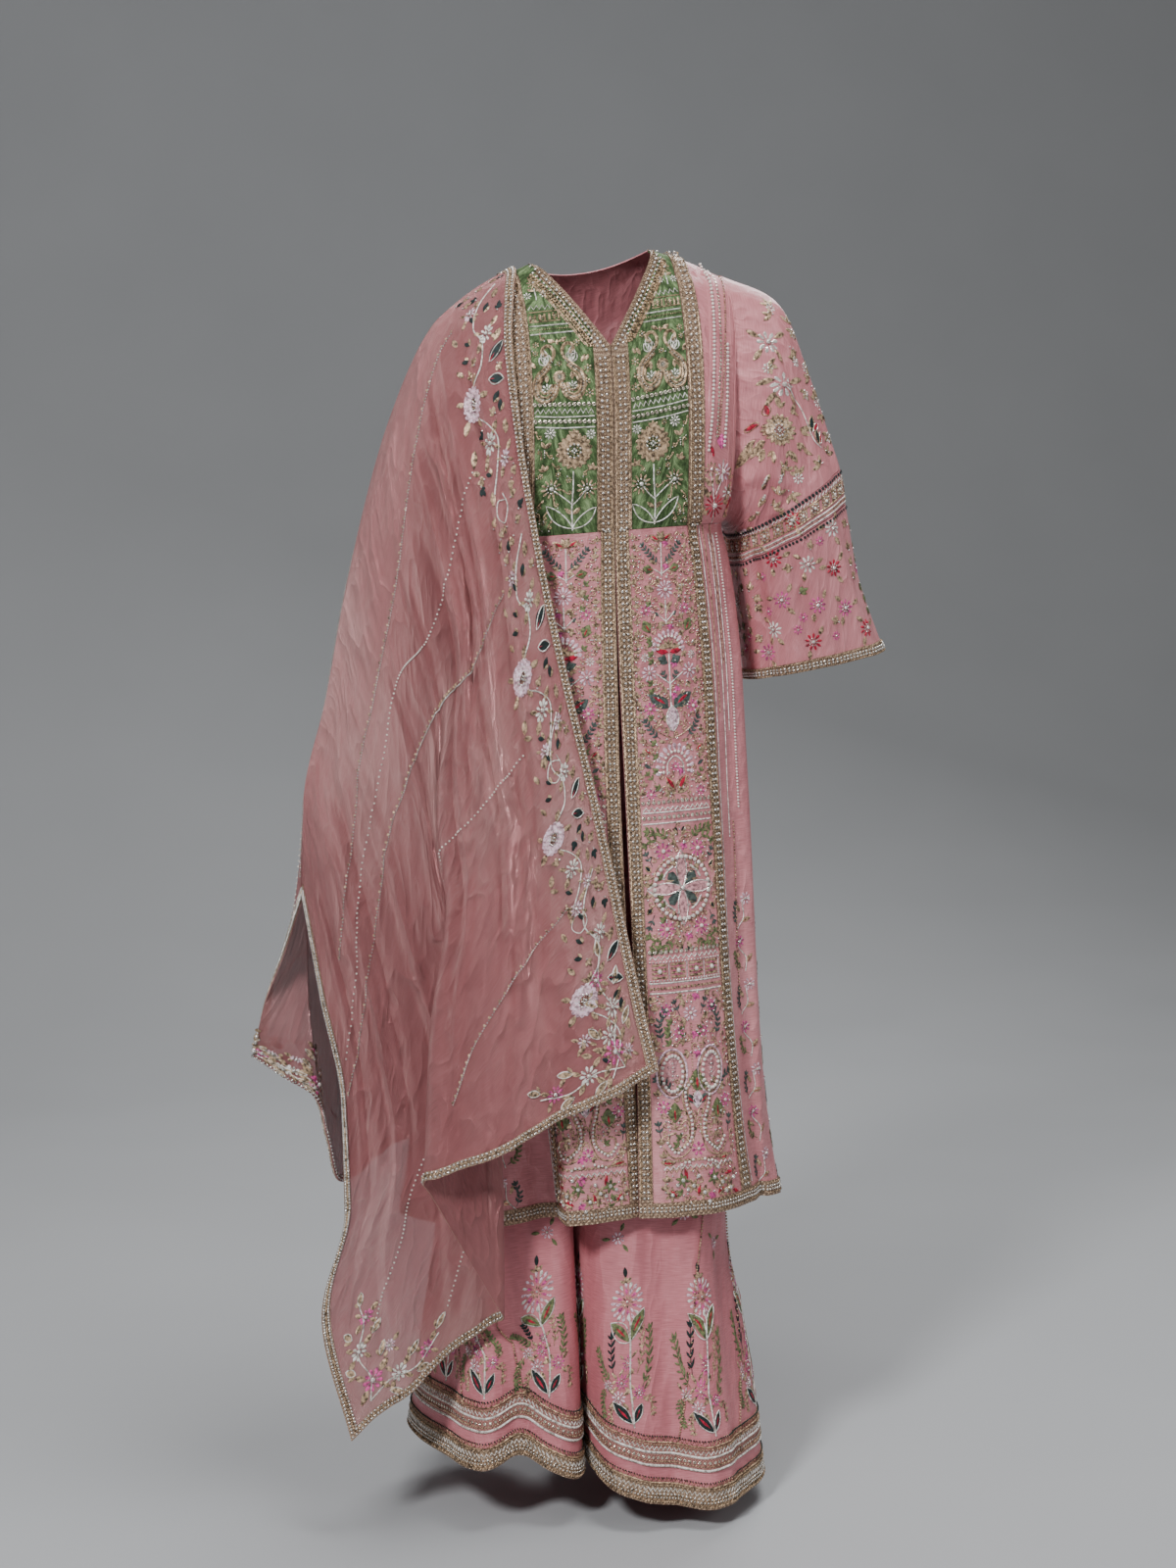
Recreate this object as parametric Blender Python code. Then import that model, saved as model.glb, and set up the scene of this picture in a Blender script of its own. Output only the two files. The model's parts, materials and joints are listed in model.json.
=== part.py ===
"""Salwar kameez suit: an open-fronted kurta, wide trousers and an organza dupatta.

The suit keeps the hollow form that it has when it is worn. The origin lies between the two
points where the neck meets the shoulders, +Z is up, the front faces -Y, and +X is the
wearer's left. All sizes are in metres.

Every piece is a thin wall. Its outer points come from a surface function that reads short
section tables, and its inner points are the same points moved in by the cloth's thickness.
What lies on a panel is made from that panel's own points, moved out.
"""
import math

import bpy
import numpy as np

# ---------------------------------------------------------------- driving dimensions
SEAM_GAP = 0.0004            # clear distance between two pieces that are sewn together
TRIM_LIFT = 0.0003           # clear distance under a trim that lies on a panel
SILK_THICK = 0.0015          # embroidered silk and velvet panels
PLAIN_THICK = 0.0012         # sleeves and trousers
ORGANZA_THICK = 0.0010
TRIM_THICK = 0.0010

NECK_HALF = 0.075            # neck point to centre front
NECK_DROP = 0.118            # depth of the V
BACK_SCOOP = 0.015           # depth of the back neck
ARMHOLE_X = 0.165            # armhole seam, from the centre front
SHOULDER_DROP = 0.040        # fall of the shoulder line at the armhole
SHOULDER_CURVE = 0.38        # share of that fall that comes late, near the armhole
EMPIRE_Z = -0.335            # seam under the yoke
ARMHOLE_DEPTH = 0.075        # half the width of the armhole loop, front to back
YOKE_HALF = 0.0945           # yoke half width, out to the bodice border
PLACKET_WIDTH = 0.021
BORDER_WIDTH = 0.021
PANEL_WIDTH = 0.150          # front panel at the empire seam
HEM_TRIM = 0.018
HEM_Z = -1.150               # hem of the kurta at the centre front
HEM_SIDE_DROP = 0.012        # how far the hem falls from the front to each side
TAPE_WIDTH = 0.014           # gold tape round the dupatta
TURN_SHARE = 0.035           # share of its width that a turned-back fold takes on each side
TURN_RADIUS = 0.009          # half the space between the layers at a turned-back fold

WAIST_TOP_Z = -0.420
WAIST_SEAM_Z = -0.460
CROTCH_Z = -0.760
LEG_POWER = 2.4              # roundness of a leg's section, 2 for an ellipse
CREASE_POWER = 5.5           # squarer at the front, where the two legs meet
LEG_APART = 0.004            # between the two legs where they hang side by side
SEAT_APART = 0.0010          # from the middle to each front and back edge above the crotch
LEG_BAND = 0.030
LEG_PLAIN = 0.017
LEG_HEM = 0.026
FLOOR_Z = -1.5               # lowest height of the legs' section table

BODICE_POWER = 0.45          # roundness of the body's section: below 0.5 it is fuller
SKIRT_POWER = 0.9
SEAT_POWER = 0.9
SLEEVE_POWER = 2.3           # roundness of a sleeve's section and of the armhole
FLARE_POWER = 1.3            # how soon the trouser folds open out below the crotch


# ---------------------------------------------------------------- section tables
class Table:
    """Rows of named columns, read by a smooth curve along the first column."""

    def __init__(self, names, rows):
        self.names = names.split()
        data = np.array(sorted(rows), dtype=float)
        self.key = data[:, 0]
        self.columns = dict(zip(self.names, data.T))

    def at(self, name, value):
        """The named column at a value of the first column, without overshoot."""
        x, y = self.key, self.columns[name]
        value = min(max(value, x[0]), x[-1])
        step = np.diff(x)
        slope = np.diff(y) / step
        tangent = np.zeros(len(x))
        tangent[0], tangent[-1] = slope[0], slope[-1]
        for i in range(1, len(x) - 1):
            before, after = slope[i - 1], slope[i]
            if before * after > 0:
                tangent[i] = 2.0 * before * after / (before + after)
        i = min(int(np.searchsorted(x, value, side="right")) - 1, len(x) - 2)
        t = (value - x[i]) / step[i]
        lower = y[i] * (1 + 2 * t) * (1 - t) ** 2 + y[i + 1] * t * t * (3 - 2 * t)
        return lower + step[i] * (tangent[i] * t * (1 - t) ** 2 - tangent[i + 1] * t * t * (1 - t))

    def point(self, value, names):
        return np.array([self.at(name, value) for name in names.split()])


# How far the bodice stands out at a distance below the shoulder line, as a share of its depth.
SHOULDER_ROLL = Table("below front back", [
    (0.000, 0.004, 0.004), (0.004, 0.20, 0.24), (0.014, 0.38, 0.44), (0.035, 0.54, 0.66),
    (0.080, 0.74, 0.88), (0.140, 0.90, 0.99), (0.210, 0.985, 1.00), (0.340, 1.00, 0.98)])

# Half width, front depth and back depth of the body's section.
BODY = Table("z half front back", [
    (-0.000, 0.165, 0.118, 0.100), (-0.336, 0.1655, 0.121, 0.102), (-0.370, 0.172, 0.123, 0.104),
    (-0.430, 0.182, 0.126, 0.107), (-0.510, 0.192, 0.130, 0.112), (-0.600, 0.198, 0.134, 0.118),
    (-0.736, 0.207, 0.141, 0.128), (-0.880, 0.213, 0.148, 0.138), (-1.065, 0.228, 0.157, 0.150),
    (-1.150, 0.240, 0.161, 0.158)])

# Slope of the suit from side to side: the right shoulder hangs lower.
TILT = Table("z left right", [
    (0.00, 0.13, 0.17), (-0.10, 0.13, 0.17), (-0.335, 0.08, 0.08), (-0.70, 0.05, 0.05),
    (-1.20, 0.015, 0.015)])

# Where the front edges lie, and where the centre panel meets the gore.
FRONT_EDGE = Table("z opening gap panel_left panel_right", [
    (-0.336, 0.000, 0.0008, 0.460, 0.460), (-0.500, 0.001, 0.0030, 0.460, 0.460),
    (-0.650, 0.003, 0.0070, 0.462, 0.456), (-0.800, 0.006, 0.0080, 0.468, 0.452),
    (-0.950, 0.012, 0.0060, 0.486, 0.450), (-1.150, 0.020, 0.0004, 0.520, 0.450)])

# Plan of the kurta's hem: share of the way from the centre front to the side seam, or from
# the side seam to the centre back, with the place of each soft fold.
HEM_FRONT_LEFT = Table("share x y", [
    (0.00, 0.020, -0.160), (0.13, 0.055, -0.167), (0.28, 0.105, -0.163), (0.42, 0.150, -0.140),
    (0.52, 0.181, -0.115), (0.60, 0.196, -0.086), (0.68, 0.207, -0.088), (0.78, 0.229, -0.072),
    (0.88, 0.236, -0.040), (1.00, 0.238, 0.000)])
HEM_FRONT_RIGHT = Table("share x y", [
    (0.00, -0.026, -0.152), (0.12, 0.008, -0.160), (0.24, 0.040, -0.166), (0.33, 0.067, -0.159),
    (0.40, 0.069, -0.136), (0.46, 0.064, -0.112), (0.53, 0.083, -0.106), (0.62, 0.112, -0.118),
    (0.70, 0.138, -0.122), (0.79, 0.165, -0.094), (0.88, 0.208, -0.064), (1.00, 0.238, 0.000)])
HEM_BACK = Table("share x y", [
    (0.00, 0.238, 0.000), (0.12, 0.228, 0.050), (0.22, 0.196, 0.082), (0.33, 0.176, 0.128),
    (0.45, 0.132, 0.136), (0.56, 0.108, 0.166), (0.70, 0.066, 0.150), (0.84, 0.036, 0.172),
    (1.00, 0.000, 0.160)])
HEM_FALL = Table("z free", [(-0.400, 0.0), (-0.60, 0.16), (-0.80, 0.42), (-1.00, 0.74), (-1.15, 1.0)])

# Sleeve rings: top and bottom point of each section, and half its depth from front to back.
SLEEVE_LEFT = Table("ring top_x top_z low_x low_z depth", [
    (0.0, 0.1652, -0.0185, 0.1652, -0.3180, 0.075), (1.0, 0.232, -0.045, 0.174, -0.322, 0.085),
    (2.0, 0.270, -0.130, 0.178, -0.326, 0.090), (3.0, 0.300, -0.215, 0.182, -0.330, 0.090),
    (4.0, 0.3125, -0.252, 0.186, -0.335, 0.090), (5.0, 0.322, -0.294, 0.190, -0.370, 0.088),
    (6.0, 0.345, -0.385, 0.199, -0.433, 0.080), (7.0, 0.383, -0.479, 0.206, -0.515, 0.070)])
SLEEVE_RIGHT = Table("ring top_x top_z low_x low_z depth", [
    (0.0, -0.1652, -0.0690, -0.1652, -0.3440, 0.075), (1.0, -0.187, -0.102, -0.174, -0.352, 0.078),
    (2.0, -0.218, -0.190, -0.178, -0.362, 0.080), (3.0, -0.240, -0.270, -0.182, -0.370, 0.080),
    (4.0, -0.252, -0.315, -0.186, -0.378, 0.078), (5.0, -0.260, -0.355, -0.190, -0.395, 0.076),
    (6.0, -0.276, -0.430, -0.199, -0.452, 0.072), (7.0, -0.294, -0.515, -0.206, -0.532, 0.066)])

# Trouser sections above the crotch and plan of each hem.
SEAT = Table("z half front back", [
    (-0.420, 0.142, 0.098, 0.088), (-0.460, 0.144, 0.100, 0.091), (-0.540, 0.158, 0.106, 0.108),
    (-0.620, 0.168, 0.108, 0.1174), (-0.700, 0.172, 0.102, 0.114), (-0.760, 0.172, 0.096, 0.106)])
CREASE = Table("z x", [(-0.76, 0.0), (-0.95, -0.016), (-1.16, -0.034), (-1.53, -0.032)])
LEG = Table("z out_left out_right front_left front_right back_left back_right", [
    (-0.760, 0.172, 0.172, 0.100, 0.092, 0.106, 0.106), (-0.900, 0.166, 0.172, 0.106, 0.086, 0.104, 0.106),
    (-1.050, 0.162, 0.176, 0.120, 0.086, 0.098, 0.106), (-1.200, 0.165, 0.186, 0.142, 0.104, 0.096, 0.110),
    (-1.330, 0.185, 0.202, 0.166, 0.134, 0.100, 0.118), (-1.500, 0.203, 0.222, 0.196, 0.160, 0.104, 0.128)])
LEG_FOLDS_LEFT = Table("around in_out z_hem", [
    (0.00, 0.000, -1.452), (0.08, 0.000, -1.456), (0.13, 0.002, -1.474), (0.19, -0.004, -1.489),
    (0.27, 0.006, -1.497), (0.36, -0.004, -1.496), (0.43, 0.006, -1.494), (0.50, 0.000, -1.492),
    (0.60, -0.012, -1.490), (0.70, 0.012, -1.492), (0.80, -0.010, -1.488), (0.90, 0.008, -1.476),
    (1.00, 0.000, -1.452)])
LEG_FOLDS_RIGHT = Table("around in_out z_hem", [
    (0.00, 0.000, -1.448), (0.08, 0.002, -1.456), (0.13, 0.006, -1.464), (0.18, 0.002, -1.452),
    (0.25, -0.012, -1.431), (0.33, 0.008, -1.444), (0.42, -0.006, -1.444), (0.50, 0.004, -1.446),
    (0.60, 0.010, -1.450), (0.70, -0.010, -1.456), (0.80, 0.010, -1.460), (0.90, -0.006, -1.456),
    (1.00, 0.000, -1.448)])

# The dupatta's bend over the shoulder and down the arm, from the neck outwards.
RIDGE = Table("along x y z", [
    (0.000, -0.094, 0.000, -0.0165), (0.055, -0.134, 0.000, -0.0390), (0.105, -0.168, 0.000, -0.0645),
    (0.150, -0.196, 0.000, -0.0930), (0.270, -0.236, 0.000, -0.1820), (0.390, -0.265, 0.000, -0.2760),
    (0.560, -0.300, 0.000, -0.4100), (0.700, -0.324, 0.000, -0.5300), (0.860, -0.353, 0.000, -0.6610),
    (1.000, -0.354, 0.000, -0.7700)])

# Front stretch: the inner border, two turned-back folds and the outer border, down the length.
FRONT_RIBS = {
    "inner": Table("down x y z", [
        (0.00, -0.094, 0.000, -0.0165), (0.02, -0.097, -0.030, -0.0230), (0.05, -0.107, -0.062, -0.052),
        (0.12, -0.117, -0.096, -0.122),
        (0.22, -0.112, -0.118, -0.220), (0.34, -0.098, -0.134, -0.330), (0.51, -0.065, -0.146, -0.500),
        (0.65, -0.036, -0.156, -0.627), (0.78, -0.009, -0.166, -0.753), (0.90, 0.016, -0.175, -0.876),
        (1.00, 0.037, -0.183, -0.968)]),
    "fold": Table("down x y z", [
        (0.00, -0.263, 0.000, -0.268), (0.02, -0.262, -0.030, -0.274), (0.06, -0.256, -0.062, -0.298),
        (0.16, -0.236, -0.112, -0.385),
        (0.30, -0.209, -0.142, -0.524), (0.46, -0.222, -0.158, -0.663), (0.60, -0.214, -0.170, -0.765),
        (0.78, -0.236, -0.181, -0.910), (1.00, -0.245, -0.190, -1.082)]),
    "tuck": Table("down x y z", [
        (0.00, -0.314, 0.000, -0.478), (0.10, -0.288, -0.070, -0.530), (0.25, -0.250, -0.116, -0.650),
        (0.40, -0.216, -0.132, -0.775), (0.55, -0.174, -0.142, -0.885), (0.70, -0.151, -0.147, -1.000),
        (0.85, -0.144, -0.150, -1.125),
        (1.00, -0.145, -0.158, -1.259)]),
    "outer": Table("down x y z", [
        (0.00, -0.354, 0.000, -0.770), (0.20, -0.338, -0.034, -0.895), (0.40, -0.318, -0.056, -1.020),
        (0.60, -0.318, -0.070, -1.140), (0.80, -0.350, -0.092, -1.265), (1.00, -0.322, -0.130, -1.400)]),
}

# Back stretch, hidden behind the wearer but for its outer corner.
BACK_RIBS = {
    "inner": Table("down x y z", [
        (0.00, -0.094, 0.000, -0.0165), (0.02, -0.096, 0.032, -0.0230), (0.06, -0.100, 0.064, -0.052),
        (0.14, -0.100, 0.0952, -0.134),
        (0.34, -0.092, 0.118, -0.350), (0.58, -0.082, 0.134, -0.600), (0.80, -0.072, 0.172, -0.850),
        (1.00, -0.060, 0.200, -1.060)]),
    "middle": Table("down x y z", [
        (0.00, -0.263, 0.000, -0.268), (0.02, -0.262, 0.032, -0.268), (0.08, -0.258, 0.070, -0.304),
        (0.22, -0.244, 0.112, -0.430),
        (0.42, -0.226, 0.142, -0.600), (0.70, -0.206, 0.176, -0.850), (1.00, -0.190, 0.204, -1.120)]),
    "side": Table("down x y z", [
        (0.00, -0.324, 0.000, -0.530), (0.20, -0.322, 0.072, -0.600), (0.45, -0.314, 0.112, -0.770),
        (0.70, -0.300, 0.130, -0.940), (1.00, -0.294, 0.114, -1.150)]),
    "notch": Table("down x y z", [
        (0.00, -0.340, 0.000, -0.610), (0.30, -0.346, 0.040, -0.720), (0.65, -0.346, 0.062, -0.870),
        (1.00, -0.333, 0.050, -1.030)]),
    "outer": Table("down x y z", [
        (0.00, -0.354, 0.000, -0.770), (0.35, -0.374, 0.020, -0.840), (0.68, -0.396, 0.050, -0.910),
        (1.00, -0.407, 0.080, -0.978)]),
}
# Each stretch: its ribs and their share of the width, the fullness halfway between two ribs,
# and the folds that radiate from the shoulder as (place across, half width, depth at the end).
FRONT_STRETCH = {
    "ribs": FRONT_RIBS, "shares": [0.0, 0.37, 0.64, 1.0], "bulge": [-0.022, 0.006, 0.014],
    "turns": [False, True, True, False], "out": -1.0,
    "pleats": [(0.07, 0.05, 0.008), (0.16, 0.05, -0.012), (0.26, 0.06, 0.014),
               (0.76, 0.06, -0.008), (0.86, 0.06, 0.012), (0.95, 0.05, -0.006)]}
BACK_STRETCH = {
    "ribs": BACK_RIBS, "shares": [0.0, 0.37, 0.70, 0.86, 1.0], "bulge": [0.014, 0.006, 0.0, 0.0],
    "turns": [False] * 5, "out": 1.0,
    "pleats": [(0.12, 0.07, 0.012), (0.26, 0.06, -0.010), (0.44, 0.07, 0.012), (0.60, 0.06, -0.010),
               (0.80, 0.06, 0.006)]}


# ---------------------------------------------------------------- surfaces
def tilt(point):
    """Lower the wearer's right side and raise the left, by less towards the hem."""
    side = "left" if point[0] > 0 else "right"
    return point + np.array([0.0, 0.0, point[0] * TILT.at(side, point[2])])


def shoulder_z(x):
    """Height of the shoulder line, level at the neck and falling to the armhole."""
    reach = max(abs(x) - NECK_HALF, 0.0) / (ARMHOLE_X - NECK_HALF)
    return -SHOULDER_DROP * reach * (1 - SHOULDER_CURVE + SHOULDER_CURVE * reach)


def armhole_half(z):
    """Half the armhole's width, front to back, at a height."""
    middle = (EMPIRE_Z - SHOULDER_DROP) / 2.0
    share = abs(z - middle) / ((-SHOULDER_DROP - EMPIRE_Z) / 2.0)
    return ARMHOLE_DEPTH * max(1.0 - share ** SLEEVE_POWER, 0.0) ** (1 / SLEEVE_POWER)


def bodice_point(x, z, face):
    """A point of the bodice: face is 'front' or 'back'."""
    share = min(abs(x) / ARMHOLE_X, 1.0)
    weight = (1 - share * share) ** BODICE_POWER
    below = shoulder_z(x) - z
    centre = BODY.at(face, z) * SHOULDER_ROLL.at(face, below)
    depth = weight * centre + (1 - weight) * max(armhole_half(z), SEAM_GAP)
    return np.array([x, -depth if face == "front" else depth, z])


def skirt_point(share, z, side, face):
    """A point of the skirt: share runs from the centre front or back to the side seam."""
    half, depth = BODY.at("half", z), BODY.at(face, z)
    sign = 1.0 if side == "left" else -1.0
    angle = share * math.pi / 2
    y_sign = -1.0 if face == "front" else 1.0
    opening = FRONT_EDGE.at("opening", z) if face == "front" else 0.0
    round_off = max(math.cos(angle), 0.0) ** SKIRT_POWER
    plain = np.array([sign * half * math.sin(angle), y_sign * depth * round_off])
    plain[0] += opening * (1 - share) ** 2
    if face == "back":
        plan, key = HEM_BACK, 1.0 - share
    else:
        plan, key = (HEM_FRONT_LEFT if side == "left" else HEM_FRONT_RIGHT), share
    hem_half, hem_depth = BODY.at("half", HEM_Z), BODY.at(face, HEM_Z)
    loose = np.array([sign * plan.at("x", key) * half / hem_half,
                      plan.at("y", key) * depth / hem_depth])
    free = HEM_FALL.at("free", z)
    flat = plain * (1 - free) + loose * free
    if face == "front":
        flat[0] += sign * FRONT_EDGE.at("gap", z) / 2 * (1 - share) ** 6
        drop = HEM_SIDE_DROP * share * share
    else:
        drop = HEM_SIDE_DROP * (2 - share)
    return np.array([flat[0], flat[1], z - drop * free])


def sleeve_point(table, ring, angle):
    """A point of a sleeve: the angle runs round from the top, over the front."""
    top_x, top_z, low_x, low_z, depth = table.point(ring, "top_x top_z low_x low_z depth")
    wide, high = math.sin(angle), math.cos(angle)
    size = (abs(wide) ** SLEEVE_POWER + abs(high) ** SLEEVE_POWER) ** (-1 / SLEEVE_POWER)
    along = 0.5 + 0.5 * high * size
    return np.array([low_x + (top_x - low_x) * along, -depth * wide * size,
                     low_z + (top_z - low_z) * along])


def leg_point(around, z, side):
    """A point of a trouser leg: around runs from the inside over the front and outside."""
    sign = 1.0 if side == "left" else -1.0
    crease = CREASE.at("x", z)
    outer, front, back = LEG.point(z, f"out_{side} front_{side} back_{side}")
    folds = LEG_FOLDS_LEFT if side == "left" else LEG_FOLDS_RIGHT
    angle = 2 * math.pi * around
    inner_x = crease + sign * LEG_APART / 2
    half = (sign * outer - inner_x) / 2.0
    wide, deep = -math.cos(angle), -math.sin(angle)
    power = CREASE_POWER if wide < 0 and deep < 0 else LEG_POWER
    size = (abs(wide) ** power + abs(deep) ** power) ** (-1 / power)
    depth = front if deep < 0 else back
    flare = max((CROTCH_Z - z) / (CROTCH_Z - FLOOR_Z), 0.0) ** FLARE_POWER
    out = folds.at("in_out", around) * flare
    ring = np.array([inner_x + half * (1 + wide * size), deep * size * (depth + out * abs(deep))])
    ring[0] += sign * out * max(wide, 0.0)
    return ring


def seat_point(around, z, side):
    """A point of the trousers above the crotch, where the front and back edges stand apart."""
    sign = 1.0 if side == "left" else -1.0
    half, front, back = SEAT.point(z, "half front back")
    angle = math.pi * around
    depth = front if around < 0.5 else back
    return np.array([sign * max(half * math.sin(angle) ** SEAT_POWER, SEAT_APART),
                     -depth * np.sign(math.cos(angle)) * abs(math.cos(angle)) ** SEAT_POWER])


def rib_point(stretch, across, down):
    """A point between the ribs of one stretch of the dupatta, on a smooth curve across it."""
    ribs = [table.point(down, "x y z") for table in stretch["ribs"].values()]
    shares, full = stretch["shares"], min(down * 2.0, 1.0)
    turn = TURN_RADIUS * min(max((down - 0.3) / 0.4, 0.0), 1.0)
    at, points = [], []
    for i, rib in enumerate(ribs):
        turned = stretch["turns"][i]
        before, after = (ribs[max(i - 1, 0)] + rib) / 2, (ribs[min(i + 1, len(ribs) - 1)] + rib) / 2
        before_share = (shares[max(i - 1, 0)] + shares[i]) / 2
        after_share = (shares[min(i + 1, len(ribs) - 1)] + shares[i]) / 2
        if i:
            before[1] += stretch["bulge"][i - 1] * full
        if i < len(ribs) - 1:
            after[1] += stretch["bulge"][i] * full
        if turned:
            reach = TURN_SHARE / (shares[i] - before_share)
            points.append(rib + (before - rib) * reach - np.array([0.0, turn, 0.0]))
            at.append(shares[i] - TURN_SHARE)
        points.append(rib)
        at.append(shares[i])
        if turned:
            reach = TURN_SHARE / (after_share - shares[i])
            points.append(rib + (after - rib) * reach + np.array([0.0, turn, 0.0]))
            at.append(shares[i] + TURN_SHARE)
        if i < len(ribs) - 1:
            points.append(after)
            at.append(after_share)
    ends = [2 * points[0] - points[1]] + points + [2 * points[-1] - points[-2]]
    i = min(int(np.searchsorted(at, across, side="right")) - 1, len(at) - 2)
    t = (across - at[i]) / (at[i + 1] - at[i])
    p0, p1, p2, p3 = ends[i:i + 4]
    return 0.5 * (2 * p1 + (p2 - p0) * t + (2 * p0 - 5 * p1 + 4 * p2 - p3) * t * t
                  + (3 * p1 - p0 - 3 * p2 + p3) * t ** 3)


def dupatta_point(stretch, across, down):
    """A point of the dupatta: across from the inner border, down from the shoulder bend."""
    point = rib_point(stretch, across, down)
    to_ridge = RIDGE.point(across, "x y z") - rib_point(stretch, across, 0.0)
    point = point + to_ridge * (1 - down) ** 3
    for place, half, depth in stretch["pleats"]:
        reach = (across - place) / half
        if abs(reach) < 1:
            point[1] += stretch["out"] * depth * down * math.cos(reach * math.pi / 2) ** 2
    return point


# ---------------------------------------------------------------- sheets and walls
def unit(vectors):
    return vectors / np.linalg.norm(vectors, axis=-1)[..., None]


class Sheet:
    """A cloth sheet: rows and columns of outer points, with the outward normal at each.

    From the row closed_from on, the last column is the first one again. A tube faces away
    from the middle of its own rows, and any other sheet faces away from the body's axis.
    At a seam, a row or column and the next one share their normals, so that the two pieces
    sewn there keep their gap through the cloth's thickness.
    """

    def __init__(self, points, closed_from=None, row_seams=(), column_seams=()):
        self.points = np.array(points, dtype=float)
        self.closed_from = closed_from
        self.normals, self.mirrored = self._normals()
        for seam in row_seams:
            shared = unit(self.normals[seam] + self.normals[seam + 1])
            self.normals[seam] = self.normals[seam + 1] = shared
        for seam in column_seams:
            shared = unit(self.normals[:, seam] + self.normals[:, seam + 1])
            self.normals[:, seam] = self.normals[:, seam + 1] = shared

    def _normals(self):
        p = self.points
        down, along = np.diff(p, axis=0), np.diff(p, axis=1)
        first = np.cross(down[:, :-1], along[1:])
        second = np.cross(down[:, 1:], along[:-1])
        total = np.zeros_like(p)
        for rows, cols, area in ((slice(0, -1), slice(0, -1), first + second),
                                 (slice(1, None), slice(0, -1), first),
                                 (slice(0, -1), slice(1, None), second),
                                 (slice(1, None), slice(1, None), first + second)):
            total[rows, cols] += area
        if self.closed_from is not None:
            seam = total[self.closed_from:, 0] + total[self.closed_from:, -1]
            total[self.closed_from:, 0] = seam
            total[self.closed_from:, -1] = seam
        middle = np.zeros(3) if self.closed_from is None else p.mean(axis=1)[:, None]
        outward = (p - middle) * np.array([1.0, 1.0, 0.0 if self.closed_from is None else 1.0])
        mirrored = (total * outward).sum() < 0
        return unit(-total if mirrored else total), mirrored

    def patch(self, rows, cols, pull):
        """Points and normals of some rows and columns, its ends pulled in by distances."""
        points = self.points[rows[0]:rows[1] + 1, cols[0]:cols[1] + 1].copy()
        normals = self.normals[rows[0]:rows[1] + 1, cols[0]:cols[1] + 1].copy()
        for side, distance in pull.items():
            view = {"top": (0, 1), "foot": (-1, -2)}.get(side)
            if view:
                edge, inside = points[view[0]], points[view[1]]
                edge_n, inside_n = normals[view[0]], normals[view[1]]
            else:
                view = {"first": (0, 1), "last": (-1, -2)}[side]
                edge, inside = points[:, view[0]], points[:, view[1]]
                edge_n, inside_n = normals[:, view[0]], normals[:, view[1]]
            share = distance / np.linalg.norm(inside - edge, axis=1)[:, None]
            edge += (inside - edge) * share
            edge_n += (inside_n - edge_n) * share
        return points, normals


FINISHES = {
    # name: (red, green, blue in sRGB steps, roughness, metallic)
    "silk": (205, 130, 140, 0.45, 0.0),
    "velvet": (95, 135, 75, 0.85, 0.0),
    "organza": (200, 132, 132, 0.35, 0.0),
    "gold": (190, 160, 125, 0.45, 0.4),
}


def material(name, finish):
    """A Principled material of the piece's own, in the colour of its finish."""
    red, green, blue, roughness, metallic = FINISHES[finish]
    shade = bpy.data.materials.new(f"{name}_{finish}")
    shade.use_nodes = True
    shader = shade.node_tree.nodes["Principled BSDF"]
    linear = [(value / 255.0) ** 2.2 for value in (red, green, blue)]
    shader.inputs["Base Color"].default_value = (*linear, 1.0)
    shader.inputs["Roughness"].default_value = roughness
    shader.inputs["Metallic"].default_value = metallic
    return shade


def wall(name, sheet, rows, cols, finish, thick, lift=None, limits=(), pull=None, tilted=False):
    """Make one piece of cloth as a closed thin wall and add it to the scene.

    lift is None for a panel, whose inner face lies inside the sheet, and for a trim it is
    the clear distance outside the sheet. limits are (axis, low, high) bounds at a seam.
    """
    points, normals = sheet.patch(rows, cols, pull or {})
    inner_shift = -thick if lift is None else lift
    layers = [points + normals * (inner_shift + thick), points + normals * inner_shift]
    for layer in layers:
        for axis, low, high in limits:
            layer[:, :, axis] = np.clip(layer[:, :, axis], low, high)
    count_rows, count_cols = points.shape[:2]
    whole = cols[0] == 0 and cols[1] == sheet.points.shape[1] - 1
    index = np.arange(count_rows * count_cols).reshape(count_rows, count_cols)
    if sheet.closed_from is not None and whole:
        first_closed = max(sheet.closed_from - rows[0], 0)
        index[first_closed:, -1] = index[first_closed:, 0]
    faces = []
    for r in range(count_rows - 1):
        for c in range(count_cols - 1):
            a, b = index[r, c], index[r + 1, c]
            d, e = index[r, c + 1], index[r + 1, c + 1]
            faces += [(a, b, e), (a, e, d)]
    if sheet.mirrored:
        faces = [face[::-1] for face in faces]
    size = count_rows * count_cols
    edges = {}
    for face in faces:
        for i in range(3):
            edges[(face[i], face[(i + 1) % 3])] = True
    shell = list(faces) + [tuple(v + size for v in face[::-1]) for face in faces]
    for start, end in edges:
        if (end, start) not in edges:
            shell += [(end, start, start + size), (end, start + size, end + size)]
    vertices = np.concatenate([layer.reshape(-1, 3) for layer in layers])
    if tilted:
        vertices = np.array([tilt(vertex) for vertex in vertices])
    used = sorted({v for face in shell for v in face})
    renumber = {old: new for new, old in enumerate(used)}
    mesh = bpy.data.meshes.new(name)
    mesh.from_pydata([tuple(vertices[v]) for v in used], [],
                     [tuple(renumber[v] for v in face) for face in shell])
    mesh.update()
    piece = bpy.data.objects.new(name, mesh)
    piece.data.materials.append(material(name, finish))
    bpy.context.scene.collection.objects.link(piece)
    return piece


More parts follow.
